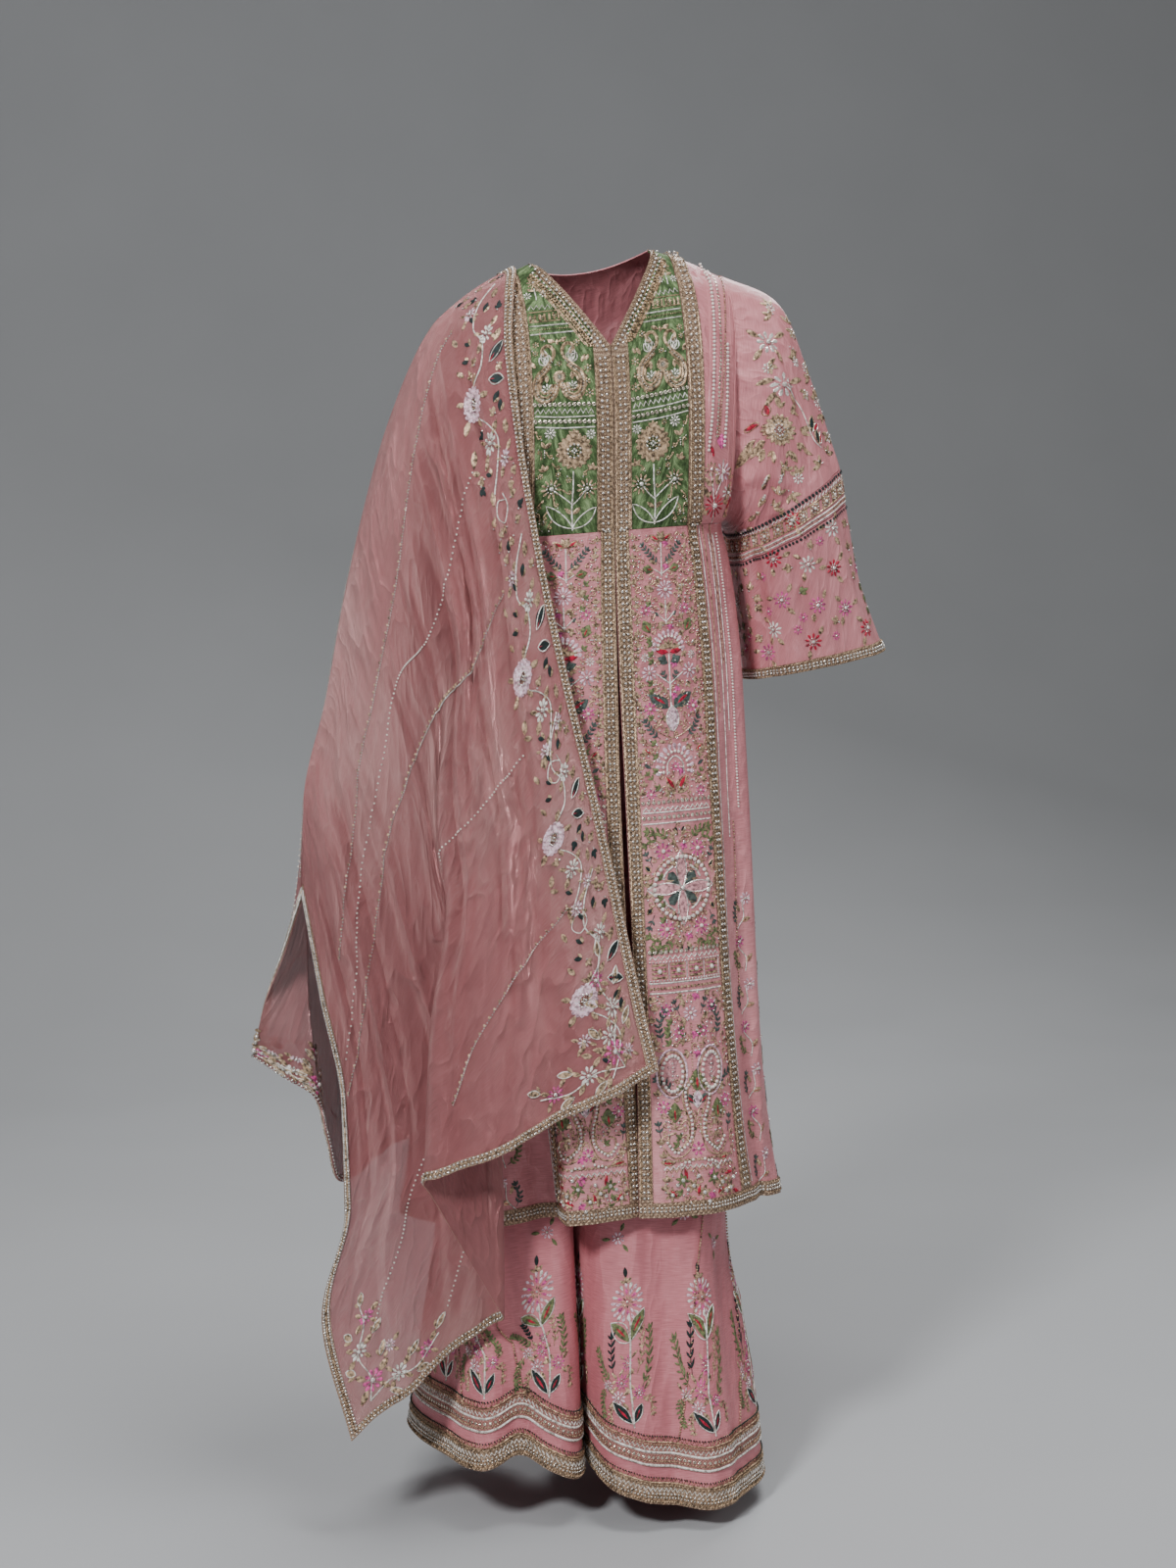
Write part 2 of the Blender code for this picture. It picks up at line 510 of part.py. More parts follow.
# ---------------------------------------------------------------- kurta
BODICE_ROWS = [0.0, 0.014, 0.05, 0.12, 0.24, 0.40, 0.58, 0.78, 1.0]
NECK_TRIM_ROW = 2
SKIRT_ROWS = [-0.3354, -0.370, -0.430, -0.510, -0.600, -0.690, -0.780, -0.870, -0.960, -1.050,
              HEM_Z + HEM_TRIM, HEM_Z]
HEM_ROW = len(SKIRT_ROWS) - 2
YOKE_X = [SEAM_GAP, PLACKET_WIDTH, 0.046, NECK_HALF, YOKE_HALF - SEAM_GAP / 2]
SIDE_X = [YOKE_HALF + SEAM_GAP / 2, YOKE_HALF + BORDER_WIDTH, 0.140, ARMHOLE_X - SEAM_GAP / 2]
BACK_X = [0.0, 0.040, NECK_HALF, 0.105, 0.138, ARMHOLE_X - SEAM_GAP / 2]
GORE_COLUMNS = 8
BACK_COLUMNS = 8
FRONT_SIDE = (1, -1.0, -SEAM_GAP / 2)
BACK_SIDE = (1, SEAM_GAP / 2, 1.0)


def side_limits(side, low, high):
    """Bounds on x for a piece that lies between two distances from the centre."""
    return (0, low, high) if side == "left" else (0, -high, -low)


def make_bodice_front(side):
    """Yoke, side front, neck trim, placket and border of one front."""
    sign = 1.0 if side == "left" else -1.0
    rows = []
    for share in BODICE_ROWS:
        row = []
        for x in YOKE_X + SIDE_X:
            top = -NECK_DROP * (1 - x / NECK_HALF) if x < NECK_HALF else shoulder_z(x)
            row.append(bodice_point(sign * x, top + share * (EMPIRE_Z - top), "front"))
        rows.append(row)
    sheet = Sheet(rows, column_seams=[len(YOKE_X) - 1])
    last_row, yoke_last = len(rows) - 1, len(YOKE_X) - 1
    side_first, side_last = len(YOKE_X), len(YOKE_X) + len(SIDE_X) - 1
    yoke = [FRONT_SIDE, side_limits(side, YOKE_X[0], YOKE_X[-1])]
    flank = [FRONT_SIDE, side_limits(side, SIDE_X[0], SIDE_X[-1])]
    wall(f"yoke_{side}", sheet, (0, last_row), (0, yoke_last), "velvet", SILK_THICK,
         limits=yoke, tilted=True)
    wall(f"bodice_side_{side}", sheet, (0, last_row), (side_first, side_last), "silk", SILK_THICK,
         limits=flank, tilted=True)
    wall(f"neck_trim_{side}", sheet, (0, NECK_TRIM_ROW), (0, 3), "gold", TRIM_THICK, lift=TRIM_LIFT,
         limits=yoke, tilted=True)
    wall(f"placket_bodice_{side}", sheet, (NECK_TRIM_ROW, last_row), (0, 1), "gold", TRIM_THICK,
         lift=TRIM_LIFT, limits=yoke, pull={"top": SEAM_GAP}, tilted=True)
    wall(f"bodice_border_{side}", sheet, (0, last_row), (side_first, side_first + 1), "gold",
         TRIM_THICK, lift=TRIM_LIFT, limits=flank, tilted=True)


def make_bodice_back():
    """The back above the empire seam, with a slight scoop at the neck."""
    rows = []
    for share in BODICE_ROWS:
        row = []
        for x in [-x for x in BACK_X[:0:-1]] + BACK_X:
            scoop = BACK_SCOOP * max(1 - (x / NECK_HALF) ** 2, 0.0)
            top = shoulder_z(x) - scoop
            row.append(bodice_point(x, top + share * (EMPIRE_Z - top), "back"))
        rows.append(row)
    sheet = Sheet(rows)
    wall("bodice_back", sheet, (0, len(rows) - 1), (0, sheet.points.shape[1] - 1), "silk", SILK_THICK,
         limits=[BACK_SIDE, (0, -BACK_X[-1], BACK_X[-1])], tilted=True)


def make_skirt_front(side):
    """Centre panel and gore of one front, with their plackets, borders and hem trims."""
    rows = []
    for z in SKIRT_ROWS:
        seam = FRONT_EDGE.at(f"panel_{side}", z)
        arc = PANEL_WIDTH + FRONT_EDGE.at("opening", z)
        placket, border = seam * PLACKET_WIDTH / arc, seam * BORDER_WIDTH / arc
        gap = seam * SEAM_GAP / arc
        panel = [0.0, placket, seam * 0.33, seam * 0.52, seam * 0.70, seam - border, seam - gap / 2]
        gore = [seam + gap / 2 + (1.0 - seam - gap / 2) * i / GORE_COLUMNS
                for i in range(GORE_COLUMNS + 1)]
        rows.append([skirt_point(share, z, side, "front") for share in panel + gore])
    panel_last = 6
    sheet = Sheet(rows, column_seams=[panel_last])
    last_row, last = len(rows) - 1, sheet.points.shape[1] - 1
    wall(f"skirt_front_{side}", sheet, (0, last_row), (0, panel_last), "silk", SILK_THICK, tilted=True)
    wall(f"skirt_gore_{side}", sheet, (0, last_row), (panel_last + 1, last), "silk", SILK_THICK,
         limits=[FRONT_SIDE], tilted=True)
    wall(f"placket_skirt_{side}", sheet, (0, HEM_ROW), (0, 1), "gold", TRIM_THICK, lift=TRIM_LIFT,
         pull={"foot": SEAM_GAP}, tilted=True)
    wall(f"skirt_border_{side}", sheet, (0, HEM_ROW), (panel_last - 1, panel_last), "gold",
         TRIM_THICK, lift=TRIM_LIFT, pull={"foot": SEAM_GAP, "last": SEAM_GAP}, tilted=True)
    wall(f"hem_front_{side}", sheet, (HEM_ROW, last_row), (0, panel_last), "gold", TRIM_THICK,
         lift=TRIM_LIFT, pull={"last": SEAM_GAP}, tilted=True)
    wall(f"hem_gore_{side}", sheet, (HEM_ROW, last_row), (panel_last + 1, last), "gold", TRIM_THICK,
         lift=TRIM_LIFT, limits=[FRONT_SIDE], pull={"first": SEAM_GAP}, tilted=True)


def make_skirt_back():
    """The back skirt panel and its hem trim."""
    shares = [1.0 - i / BACK_COLUMNS for i in range(BACK_COLUMNS + 1)]
    rows = []
    for z in SKIRT_ROWS:
        left = [skirt_point(share, z, "left", "back") for share in shares]
        right = [skirt_point(share, z, "right", "back") for share in shares]
        rows.append(left + right[-2::-1])
    sheet = Sheet(rows)
    last_row, last = len(rows) - 1, sheet.points.shape[1] - 1
    wall("skirt_back", sheet, (0, last_row), (0, last), "silk", SILK_THICK, limits=[BACK_SIDE],
         tilted=True)
    wall("hem_back", sheet, (HEM_ROW, last_row), (0, last), "gold", TRIM_THICK, lift=TRIM_LIFT,
         limits=[BACK_SIDE], tilted=True)


SLEEVE_BAND_GAP = 0.012      # in ring steps, at each end of the diagonal band
CUFF_RING = 6.85             # where the cuff's beaded trim starts
SLEEVE_RINGS = [0.0, 0.45, 1.0, 2.0, 3.0, 4.0 - SLEEVE_BAND_GAP, 4.0 + SLEEVE_BAND_GAP,
                5.0 - SLEEVE_BAND_GAP, 5.0 + SLEEVE_BAND_GAP, 6.0, CUFF_RING, 7.0]
SLEEVE_COLUMNS = {"left": 18, "right": 14}


def make_sleeve(side):
    """One sleeve as upper part, diagonal band and lower part, with its cuff trim."""
    table = SLEEVE_LEFT if side == "left" else SLEEVE_RIGHT
    count = SLEEVE_COLUMNS[side]
    rows = [[sleeve_point(table, ring, 2 * math.pi * c / count) for c in range(count + 1)]
            for ring in SLEEVE_RINGS]
    sheet = Sheet(rows, closed_from=0, row_seams=[5, 7])
    start = side_limits(side, ARMHOLE_X + SEAM_GAP / 2, 1.0)
    for name, first, last, limits in (("upper", 0, 5, [start]), ("band", 6, 7, []),
                                      ("lower", 8, 11, [])):
        wall(f"sleeve_{name}_{side}", sheet, (first, last), (0, count), "silk", PLAIN_THICK,
             limits=limits)
    wall(f"cuff_trim_{side}", sheet, (10, 11), (0, count), "gold", TRIM_THICK, lift=TRIM_LIFT)


# ---------------------------------------------------------------- trousers
LEG_COLUMNS = 28
SEAT_ROWS = [(WAIST_SEAM_Z - SEAM_GAP, 0.0), (-0.540, 0.0), (-0.620, 0.0), (-0.680, 0.35), (-0.728, 0.78)]
LEG_ROWS = [CROTCH_Z, -0.870, -0.980, -1.090, -1.190, -1.270]
HEM_OFFSETS = [LEG_HEM + LEG_PLAIN + LEG_BAND + 0.060, LEG_HEM + LEG_PLAIN + LEG_BAND,
               LEG_HEM + LEG_PLAIN, LEG_HEM, 0.0]
WAIST_COLUMNS = 24


def make_leg(side):
    """One trouser leg: open along the centre above the crotch, a wide tube below it."""
    folds = LEG_FOLDS_LEFT if side == "left" else LEG_FOLDS_RIGHT
    around = [c / LEG_COLUMNS for c in range(LEG_COLUMNS + 1)]
    rows = []
    for z, closing in SEAT_ROWS:
        row = []
        for share in around:
            seat, ring = seat_point(share, z, side), leg_point(share, CROTCH_Z, side)
            row.append([*(seat * (1 - closing) + ring * closing), z])
        rows.append(row)
    rows += [[[*leg_point(share, z, side), z] for share in around] for z in LEG_ROWS]
    for offset in HEM_OFFSETS:
        heights = [folds.at("z_hem", share) + offset for share in around]
        rows.append([[*leg_point(share, z, side), z] for share, z in zip(around, heights)])
    sheet = Sheet(rows, closed_from=len(SEAT_ROWS))
    last = len(rows) - 1
    wall(f"leg_{side}", sheet, (0, last), (0, LEG_COLUMNS), "silk", PLAIN_THICK)
    wall(f"leg_band_{side}", sheet, (last - 3, last - 2), (0, LEG_COLUMNS), "gold", TRIM_THICK,
         lift=TRIM_LIFT)
    wall(f"leg_hem_{side}", sheet, (last - 1, last), (0, LEG_COLUMNS), "gold", TRIM_THICK,
         lift=TRIM_LIFT)


def make_waistband():
    """The plain waistband that both legs are sewn to."""
    rows = []
    for z in (WAIST_TOP_Z, WAIST_SEAM_Z):
        half, front, back = SEAT.point(z, "half front back")
        row = []
        for c in range(WAIST_COLUMNS + 1):
            angle = 2 * math.pi * c / WAIST_COLUMNS
            wide, deep = math.sin(angle), -math.cos(angle)
            depth = front if deep < 0 else back
            row.append([math.copysign(half * abs(wide) ** SEAT_POWER, wide),
                        math.copysign(depth * abs(deep) ** SEAT_POWER, deep), z])
        rows.append(row)
    wall("waistband", Sheet(rows, closed_from=0), (0, 1), (0, WAIST_COLUMNS), "silk", SILK_THICK)


# ---------------------------------------------------------------- dupatta
FRONT_ACROSS = [0.06, 0.12, 0.18, 0.24, 0.29, 0.335, 0.37, 0.405, 0.45, 0.50, 0.56, 0.605, 0.64, 0.675,
                0.73, 0.79, 0.85, 0.91, 0.955]
BACK_ACROSS = [0.07, 0.14, 0.21, 0.28, 0.35, 0.42, 0.49, 0.56, 0.63, 0.70, 0.78, 0.86, 0.93]
FRONT_DOWN = [0.0, 0.02, 0.05, 0.10, 0.17, 0.26, 0.36, 0.46, 0.56, 0.66, 0.76, 0.86, 0.93, 0.983, 1.0]
BACK_DOWN = [0.0, 0.025, 0.07, 0.14, 0.24, 0.36, 0.48, 0.60, 0.72, 0.84, 0.93, 0.985, 1.0]
DUPATTA_WIDTH = 0.78         # along the ends, which the gathers leave


def make_dupatta_stretch(name, stretch, inside, downs, limit):
    """One stretch of the dupatta with the gold tape along its borders and end."""
    tape = TAPE_WIDTH / DUPATTA_WIDTH
    across = [0.0, tape] + inside + [1.0 - tape, 1.0]
    sheet = Sheet([[dupatta_point(stretch, share, down) for share in across] for down in downs])
    end, last = len(downs) - 1, len(across) - 1
    pull = {"top": SEAM_GAP / 2}
    wall(f"dupatta_{name}", sheet, (0, end), (0, last), "organza", ORGANZA_THICK, limits=[limit],
         pull=pull)
    wall(f"tape_{name}_inner", sheet, (0, end), (0, 1), "gold", TRIM_THICK, lift=TRIM_LIFT,
         limits=[limit], pull={**pull, "last": SEAM_GAP})
    wall(f"tape_{name}_outer", sheet, (0, end), (last - 1, last), "gold", TRIM_THICK, lift=TRIM_LIFT,
         limits=[limit], pull={**pull, "first": SEAM_GAP})
    wall(f"tape_{name}_end", sheet, (end - 1, end), (1, last - 1), "gold", TRIM_THICK, lift=TRIM_LIFT,
         limits=[limit])


# ---------------------------------------------------------------- the suit
def clear_scene():
    for piece in list(bpy.data.objects):
        bpy.data.objects.remove(piece, do_unlink=True)


def main():
    clear_scene()
    for side in ("left", "right"):
        make_bodice_front(side)
        make_skirt_front(side)
        make_sleeve(side)
        make_leg(side)
    make_bodice_back()
    make_skirt_back()
    make_waistband()
    make_dupatta_stretch("front", FRONT_STRETCH, FRONT_ACROSS, FRONT_DOWN, FRONT_SIDE)
    make_dupatta_stretch("back", BACK_STRETCH, BACK_ACROSS, BACK_DOWN, BACK_SIDE)


main()
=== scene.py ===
"""Dressing of a salwar kameez suit: an open-fronted kurta, wide trousers and an organza dupatta.

Every cloth is a thin shell on its solid's form, with its creases laid in one by one. The
needlework is drawn flat, in millimetres, and then laid onto the cloth under it.
"""
import json
import logging
import math
from dataclasses import dataclass, field
from enum import Enum
from typing import Callable, Iterable, Sequence

import bpy
import numpy as np
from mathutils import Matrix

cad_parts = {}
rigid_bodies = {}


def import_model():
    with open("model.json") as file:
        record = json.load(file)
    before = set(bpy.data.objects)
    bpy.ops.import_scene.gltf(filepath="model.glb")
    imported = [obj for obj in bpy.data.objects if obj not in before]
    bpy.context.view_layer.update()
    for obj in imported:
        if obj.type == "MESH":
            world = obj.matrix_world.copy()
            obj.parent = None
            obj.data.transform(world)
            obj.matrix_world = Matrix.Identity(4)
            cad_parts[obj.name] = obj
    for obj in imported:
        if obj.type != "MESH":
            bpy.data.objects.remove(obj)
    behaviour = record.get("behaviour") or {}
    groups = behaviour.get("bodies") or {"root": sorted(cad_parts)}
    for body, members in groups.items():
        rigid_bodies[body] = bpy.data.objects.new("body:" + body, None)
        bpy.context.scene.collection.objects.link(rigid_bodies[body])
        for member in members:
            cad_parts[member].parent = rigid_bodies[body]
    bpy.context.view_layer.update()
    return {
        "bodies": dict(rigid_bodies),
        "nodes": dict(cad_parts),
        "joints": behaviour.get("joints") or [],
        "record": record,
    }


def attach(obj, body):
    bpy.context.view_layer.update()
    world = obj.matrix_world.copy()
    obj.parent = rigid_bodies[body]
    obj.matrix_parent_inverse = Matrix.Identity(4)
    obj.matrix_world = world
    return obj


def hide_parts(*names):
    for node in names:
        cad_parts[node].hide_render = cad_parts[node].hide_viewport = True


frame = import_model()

LOG = logging.getLogger("suit")
Colour = tuple[int, int, int]
Flat = tuple[float, float]

SEAM_GAP = 0.0004
TRIM_LIFT = 0.0003
TRIM_THICK = 0.0010
SILK_THICK = 0.0015
PLAIN_THICK = 0.0012
ORGANZA_THICK = 0.0010
SHARP_ANGLE = math.radians(62)
DISPLAY_GAMMA = 2.2
MM = 0.001


class Side(Enum):
    """A side of the wearer."""

    LEFT = "left"
    RIGHT = "right"

    @property
    def sign(self) -> float:
        """+1 for the left side, which lies towards +X, and -1 for the right."""
        return 1.0 if self is Side.LEFT else -1.0


class Face(Enum):
    """The front or the back of the kurta."""

    FRONT = "front"
    BACK = "back"


class Hold(Enum):
    """How a cloth is held: hung, draped or gathered."""

    HUNG = "hung"
    DRAPED = "draped"
    GATHERED = "gathered"


# ---------------------------------------------------------------- section tables
class Table:
    """Rows of named columns, read by a smooth curve along the first column."""

    def __init__(self, names: str, rows: Sequence[Sequence[float]]) -> None:
        """Sort the rows and name their columns.

        Args:
            names: the column names, parted by spaces.
            rows: one tuple of numbers for each row.
        """
        data = np.array(sorted(rows), dtype=float)
        self.key = data[:, 0]
        self.columns = dict(zip(names.split(), data.T))

    def at(self, name: str, value: np.ndarray | float) -> np.ndarray:
        """Read a column without overshoot.

        Args:
            name: the column's name.
            value: values of the first column.

        Returns:
            The column's values there.
        """
        x, y = self.key, self.columns[name]
        value = np.clip(value, x[0], x[-1])
        step = np.diff(x)
        slope = np.diff(y) / step
        before, after = slope[:-1], slope[1:]
        same = before * after > 0
        inner = np.where(same, 2 * before * after / np.where(same, before + after, 1.0), 0.0)
        tangent = np.concatenate([[slope[0]], inner, [slope[-1]]])
        i = np.clip(np.searchsorted(x, value, side="right") - 1, 0, len(x) - 2)
        t = (value - x[i]) / step[i]
        lower = y[i] * (1 + 2 * t) * (1 - t) ** 2 + y[i + 1] * t * t * (3 - 2 * t)
        return lower + step[i] * (tangent[i] * t * (1 - t) ** 2 - tangent[i + 1] * t * t * (1 - t))

    def point(self, value: float, names: str) -> np.ndarray:
        """Read several columns at one value.

        Args:
            value: a value of the first column.
            names: the columns' names, parted by spaces.

        Returns:
            One number for each name.
        """
        return np.array([float(self.at(name, value)) for name in names.split()])


# How far the bodice stands out at a distance below the shoulder line, as a share of its depth.
SHOULDER_ROLL = Table("below front back", [
    (0.000, 0.004, 0.004), (0.004, 0.20, 0.24), (0.014, 0.38, 0.44), (0.035, 0.54, 0.66),
    (0.080, 0.74, 0.88), (0.140, 0.90, 0.99), (0.210, 0.985, 1.00), (0.340, 1.00, 0.98)])

# Half width, front depth and back depth of the body's section.
BODY = Table("z half front back", [
    (-0.000, 0.165, 0.118, 0.100), (-0.336, 0.1655, 0.121, 0.102), (-0.370, 0.172, 0.123, 0.104),
    (-0.430, 0.182, 0.126, 0.107), (-0.510, 0.192, 0.130, 0.112), (-0.600, 0.198, 0.134, 0.118),
    (-0.736, 0.207, 0.141, 0.128), (-0.880, 0.213, 0.148, 0.138), (-1.065, 0.228, 0.157, 0.150),
    (-1.150, 0.240, 0.161, 0.158)])

# Slope of the suit from side to side: the right shoulder hangs lower.
TILT = Table("z left right", [
    (0.00, 0.13, 0.17), (-0.10, 0.13, 0.17), (-0.335, 0.08, 0.08), (-0.70, 0.05, 0.05),
    (-1.20, 0.015, 0.015)])

# Where the front edges lie, and where the centre panel meets the gore.
FRONT_EDGE = Table("z opening gap panel_left panel_right", [
    (-0.336, 0.000, 0.0008, 0.460, 0.460), (-0.500, 0.001, 0.0030, 0.460, 0.460),
    (-0.650, 0.003, 0.0070, 0.462, 0.456), (-0.800, 0.006, 0.0080, 0.468, 0.452),
    (-0.950, 0.012, 0.0060, 0.486, 0.450), (-1.150, 0.020, 0.0004, 0.520, 0.450)])

# Plan of the kurta's hem: share of the way from the centre front to the side seam, or from
# the side seam to the centre back, with the place of each soft fold.
HEM_FRONT_LEFT = Table("share x y", [
    (0.00, 0.020, -0.160), (0.13, 0.055, -0.167), (0.28, 0.105, -0.163), (0.42, 0.150, -0.140),
    (0.52, 0.181, -0.115), (0.60, 0.196, -0.086), (0.68, 0.207, -0.088), (0.78, 0.229, -0.072),
    (0.88, 0.236, -0.040), (1.00, 0.238, 0.000)])
HEM_FRONT_RIGHT = Table("share x y", [
    (0.00, -0.026, -0.152), (0.12, 0.008, -0.160), (0.24, 0.040, -0.166), (0.33, 0.067, -0.159),
    (0.40, 0.069, -0.136), (0.46, 0.064, -0.112), (0.53, 0.083, -0.106), (0.62, 0.112, -0.118),
    (0.70, 0.138, -0.122), (0.79, 0.165, -0.094), (0.88, 0.208, -0.064), (1.00, 0.238, 0.000)])
HEM_BACK = Table("share x y", [
    (0.00, 0.238, 0.000), (0.12, 0.228, 0.050), (0.22, 0.196, 0.082), (0.33, 0.176, 0.128),
    (0.45, 0.132, 0.136), (0.56, 0.108, 0.166), (0.70, 0.066, 0.150), (0.84, 0.036, 0.172),
    (1.00, 0.000, 0.160)])
HEM_FALL = Table("z free",
                 [(-0.400, 0.0), (-0.60, 0.16), (-0.80, 0.42), (-1.00, 0.74), (-1.15, 1.0)])

# Sleeve rings: top and bottom point of each section, and half its depth from front to back.
SLEEVE_LEFT = Table("ring top_x top_z low_x low_z depth", [
    (0.0, 0.1652, -0.0185, 0.1652, -0.3180, 0.075), (1.0, 0.232, -0.045, 0.174, -0.322, 0.085),
    (2.0, 0.270, -0.130, 0.178, -0.326, 0.090), (3.0, 0.300, -0.215, 0.182, -0.330, 0.090),
    (4.0, 0.3125, -0.252, 0.186, -0.335, 0.090), (5.0, 0.322, -0.294, 0.190, -0.370, 0.088),
    (6.0, 0.345, -0.385, 0.199, -0.433, 0.080), (7.0, 0.383, -0.479, 0.206, -0.515, 0.070)])
SLEEVE_RIGHT = Table("ring top_x top_z low_x low_z depth", [
    (0.0, -0.1652, -0.0690, -0.1652, -0.3440, 0.075), (1.0, -0.187, -0.102, -0.174, -0.352, 0.078),
    (2.0, -0.218, -0.190, -0.178, -0.362, 0.080), (3.0, -0.240, -0.270, -0.182, -0.370, 0.080),
    (4.0, -0.252, -0.315, -0.186, -0.378, 0.078), (5.0, -0.260, -0.355, -0.190, -0.395, 0.076),
    (6.0, -0.276, -0.430, -0.199, -0.452, 0.072), (7.0, -0.294, -0.515, -0.206, -0.532, 0.066)])

# Trouser sections above the crotch, the line between the legs, the legs' sections, each hem's
# folds and height, and how far the seat has closed into the legs.
SEAT = Table("z half front back", [
    (-0.420, 0.142, 0.098, 0.088), (-0.460, 0.144, 0.100, 0.091), (-0.540, 0.158, 0.106, 0.108),
    (-0.620, 0.168, 0.108, 0.1174), (-0.700, 0.172, 0.102, 0.114), (-0.760, 0.172, 0.096, 0.106)])
CREASE = Table("z x", [(-0.76, 0.0), (-0.95, -0.016), (-1.16, -0.034), (-1.53, -0.032)])
LEG = Table("z out_left out_right front_left front_right back_left back_right", [
    (-0.760, 0.172, 0.172, 0.100, 0.092, 0.106, 0.106),
    (-0.900, 0.166, 0.172, 0.106, 0.086, 0.104, 0.106),
    (-1.050, 0.162, 0.176, 0.120, 0.086, 0.098, 0.106),
    (-1.200, 0.165, 0.186, 0.142, 0.104, 0.096, 0.110),
    (-1.330, 0.185, 0.202, 0.166, 0.134, 0.100, 0.118),
    (-1.500, 0.203, 0.222, 0.196, 0.160, 0.104, 0.128)])
CLOSING = Table("z share", [(-0.728, 0.78), (-0.680, 0.35), (-0.620, 0.0), (-0.46, 0.0)])
LEG_FOLDS_LEFT = Table("around in_out z_hem", [
    (0.00, 0.000, -1.452), (0.08, 0.000, -1.456), (0.13, 0.002, -1.474), (0.19, -0.004, -1.489),
    (0.27, 0.006, -1.497), (0.36, -0.004, -1.496), (0.43, 0.006, -1.494), (0.50, 0.000, -1.492),
    (0.60, -0.012, -1.490), (0.70, 0.012, -1.492), (0.80, -0.010, -1.488), (0.90, 0.008, -1.476),
    (1.00, 0.000, -1.452)])
LEG_FOLDS_RIGHT = Table("around in_out z_hem", [
    (0.00, 0.000, -1.448), (0.08, 0.002, -1.456), (0.13, 0.006, -1.464), (0.18, 0.002, -1.452),
    (0.25, -0.012, -1.431), (0.33, 0.008, -1.444), (0.42, -0.006, -1.444), (0.50, 0.004, -1.446),
    (0.60, 0.010, -1.450), (0.70, -0.010, -1.456), (0.80, 0.010, -1.460), (0.90, -0.006, -1.456),
    (1.00, 0.000, -1.448)])

# The dupatta's bend over the shoulder and down the arm, from the neck outwards.
RIDGE = Table("along x y z", [
    (0.000, -0.094, 0.000, -0.0165), (0.055, -0.134, 0.000, -0.0390),
    (0.105, -0.168, 0.000, -0.0645), (0.150, -0.196, 0.000, -0.0930),
    (0.270, -0.236, 0.000, -0.1820), (0.390, -0.265, 0.000, -0.2760),
    (0.560, -0.300, 0.000, -0.4100), (0.700, -0.324, 0.000, -0.5300),
    (0.860, -0.353, 0.000, -0.6610), (1.000, -0.354, 0.000, -0.7700)])

# Front stretch: the inner border, two turned-back folds and the outer border, down the length.
FRONT_RIBS = {
    "inner": Table("down x y z", [
        (0.00, -0.094, 0.000, -0.0165), (0.02, -0.097, -0.030, -0.0230),
        (0.05, -0.107, -0.062, -0.052), (0.12, -0.117, -0.096, -0.122),
        (0.22, -0.112, -0.118, -0.220), (0.34, -0.098, -0.134, -0.330),
        (0.51, -0.065, -0.146, -0.500), (0.65, -0.036, -0.156, -0.627),
        (0.78, -0.009, -0.166, -0.753), (0.90, 0.016, -0.175, -0.876),
        (1.00, 0.037, -0.183, -0.968)]),
    "fold": Table("down x y z", [
        (0.00, -0.263, 0.000, -0.268), (0.02, -0.262, -0.030, -0.274),
        (0.06, -0.256, -0.062, -0.298), (0.16, -0.236, -0.112, -0.385),
        (0.30, -0.209, -0.142, -0.524), (0.46, -0.222, -0.158, -0.663),
        (0.60, -0.214, -0.170, -0.765), (0.78, -0.236, -0.181, -0.910),
        (1.00, -0.245, -0.190, -1.082)]),
    "tuck": Table("down x y z", [
        (0.00, -0.314, 0.000, -0.478), (0.10, -0.288, -0.070, -0.530),
        (0.25, -0.250, -0.116, -0.650), (0.40, -0.216, -0.132, -0.775),
        (0.55, -0.174, -0.142, -0.885), (0.70, -0.151, -0.147, -1.000),
        (0.85, -0.144, -0.150, -1.125), (1.00, -0.145, -0.158, -1.259)]),
    "outer": Table("down x y z", [
        (0.00, -0.354, 0.000, -0.770), (0.20, -0.338, -0.034, -0.895),
        (0.40, -0.318, -0.056, -1.020), (0.60, -0.318, -0.070, -1.140),
        (0.80, -0.350, -0.092, -1.265), (1.00, -0.322, -0.130, -1.400)]),
}

# Back stretch, hidden behind the wearer but for its outer corner.
BACK_RIBS = {
    "inner": Table("down x y z", [
        (0.00, -0.094, 0.000, -0.0165), (0.02, -0.096, 0.032, -0.0230),
        (0.06, -0.100, 0.064, -0.052), (0.14, -0.100, 0.0952, -0.134),
        (0.34, -0.092, 0.118, -0.350), (0.58, -0.082, 0.134, -0.600), (0.80, -0.072, 0.172, -0.850),
        (1.00, -0.060, 0.200, -1.060)]),
    "middle": Table("down x y z", [
        (0.00, -0.263, 0.000, -0.268), (0.02, -0.262, 0.032, -0.268), (0.08, -0.258, 0.070, -0.304),
        (0.22, -0.244, 0.112, -0.430),
        (0.42, -0.226, 0.142, -0.600), (0.70, -0.206, 0.176, -0.850),
        (1.00, -0.190, 0.204, -1.120)]),
    "side": Table("down x y z", [
        (0.00, -0.324, 0.000, -0.530), (0.20, -0.322, 0.072, -0.600), (0.45, -0.314, 0.112, -0.770),
        (0.70, -0.300, 0.130, -0.940), (1.00, -0.294, 0.114, -1.150)]),
    "notch": Table("down x y z", [
        (0.00, -0.340, 0.000, -0.610), (0.30, -0.346, 0.040, -0.720), (0.65, -0.346, 0.062, -0.870),
        (1.00, -0.333, 0.050, -1.030)]),
    "outer": Table("down x y z", [
        (0.00, -0.354, 0.000, -0.770), (0.35, -0.374, 0.020, -0.840), (0.68, -0.396, 0.050, -0.910),
        (1.00, -0.407, 0.080, -0.978)]),
}


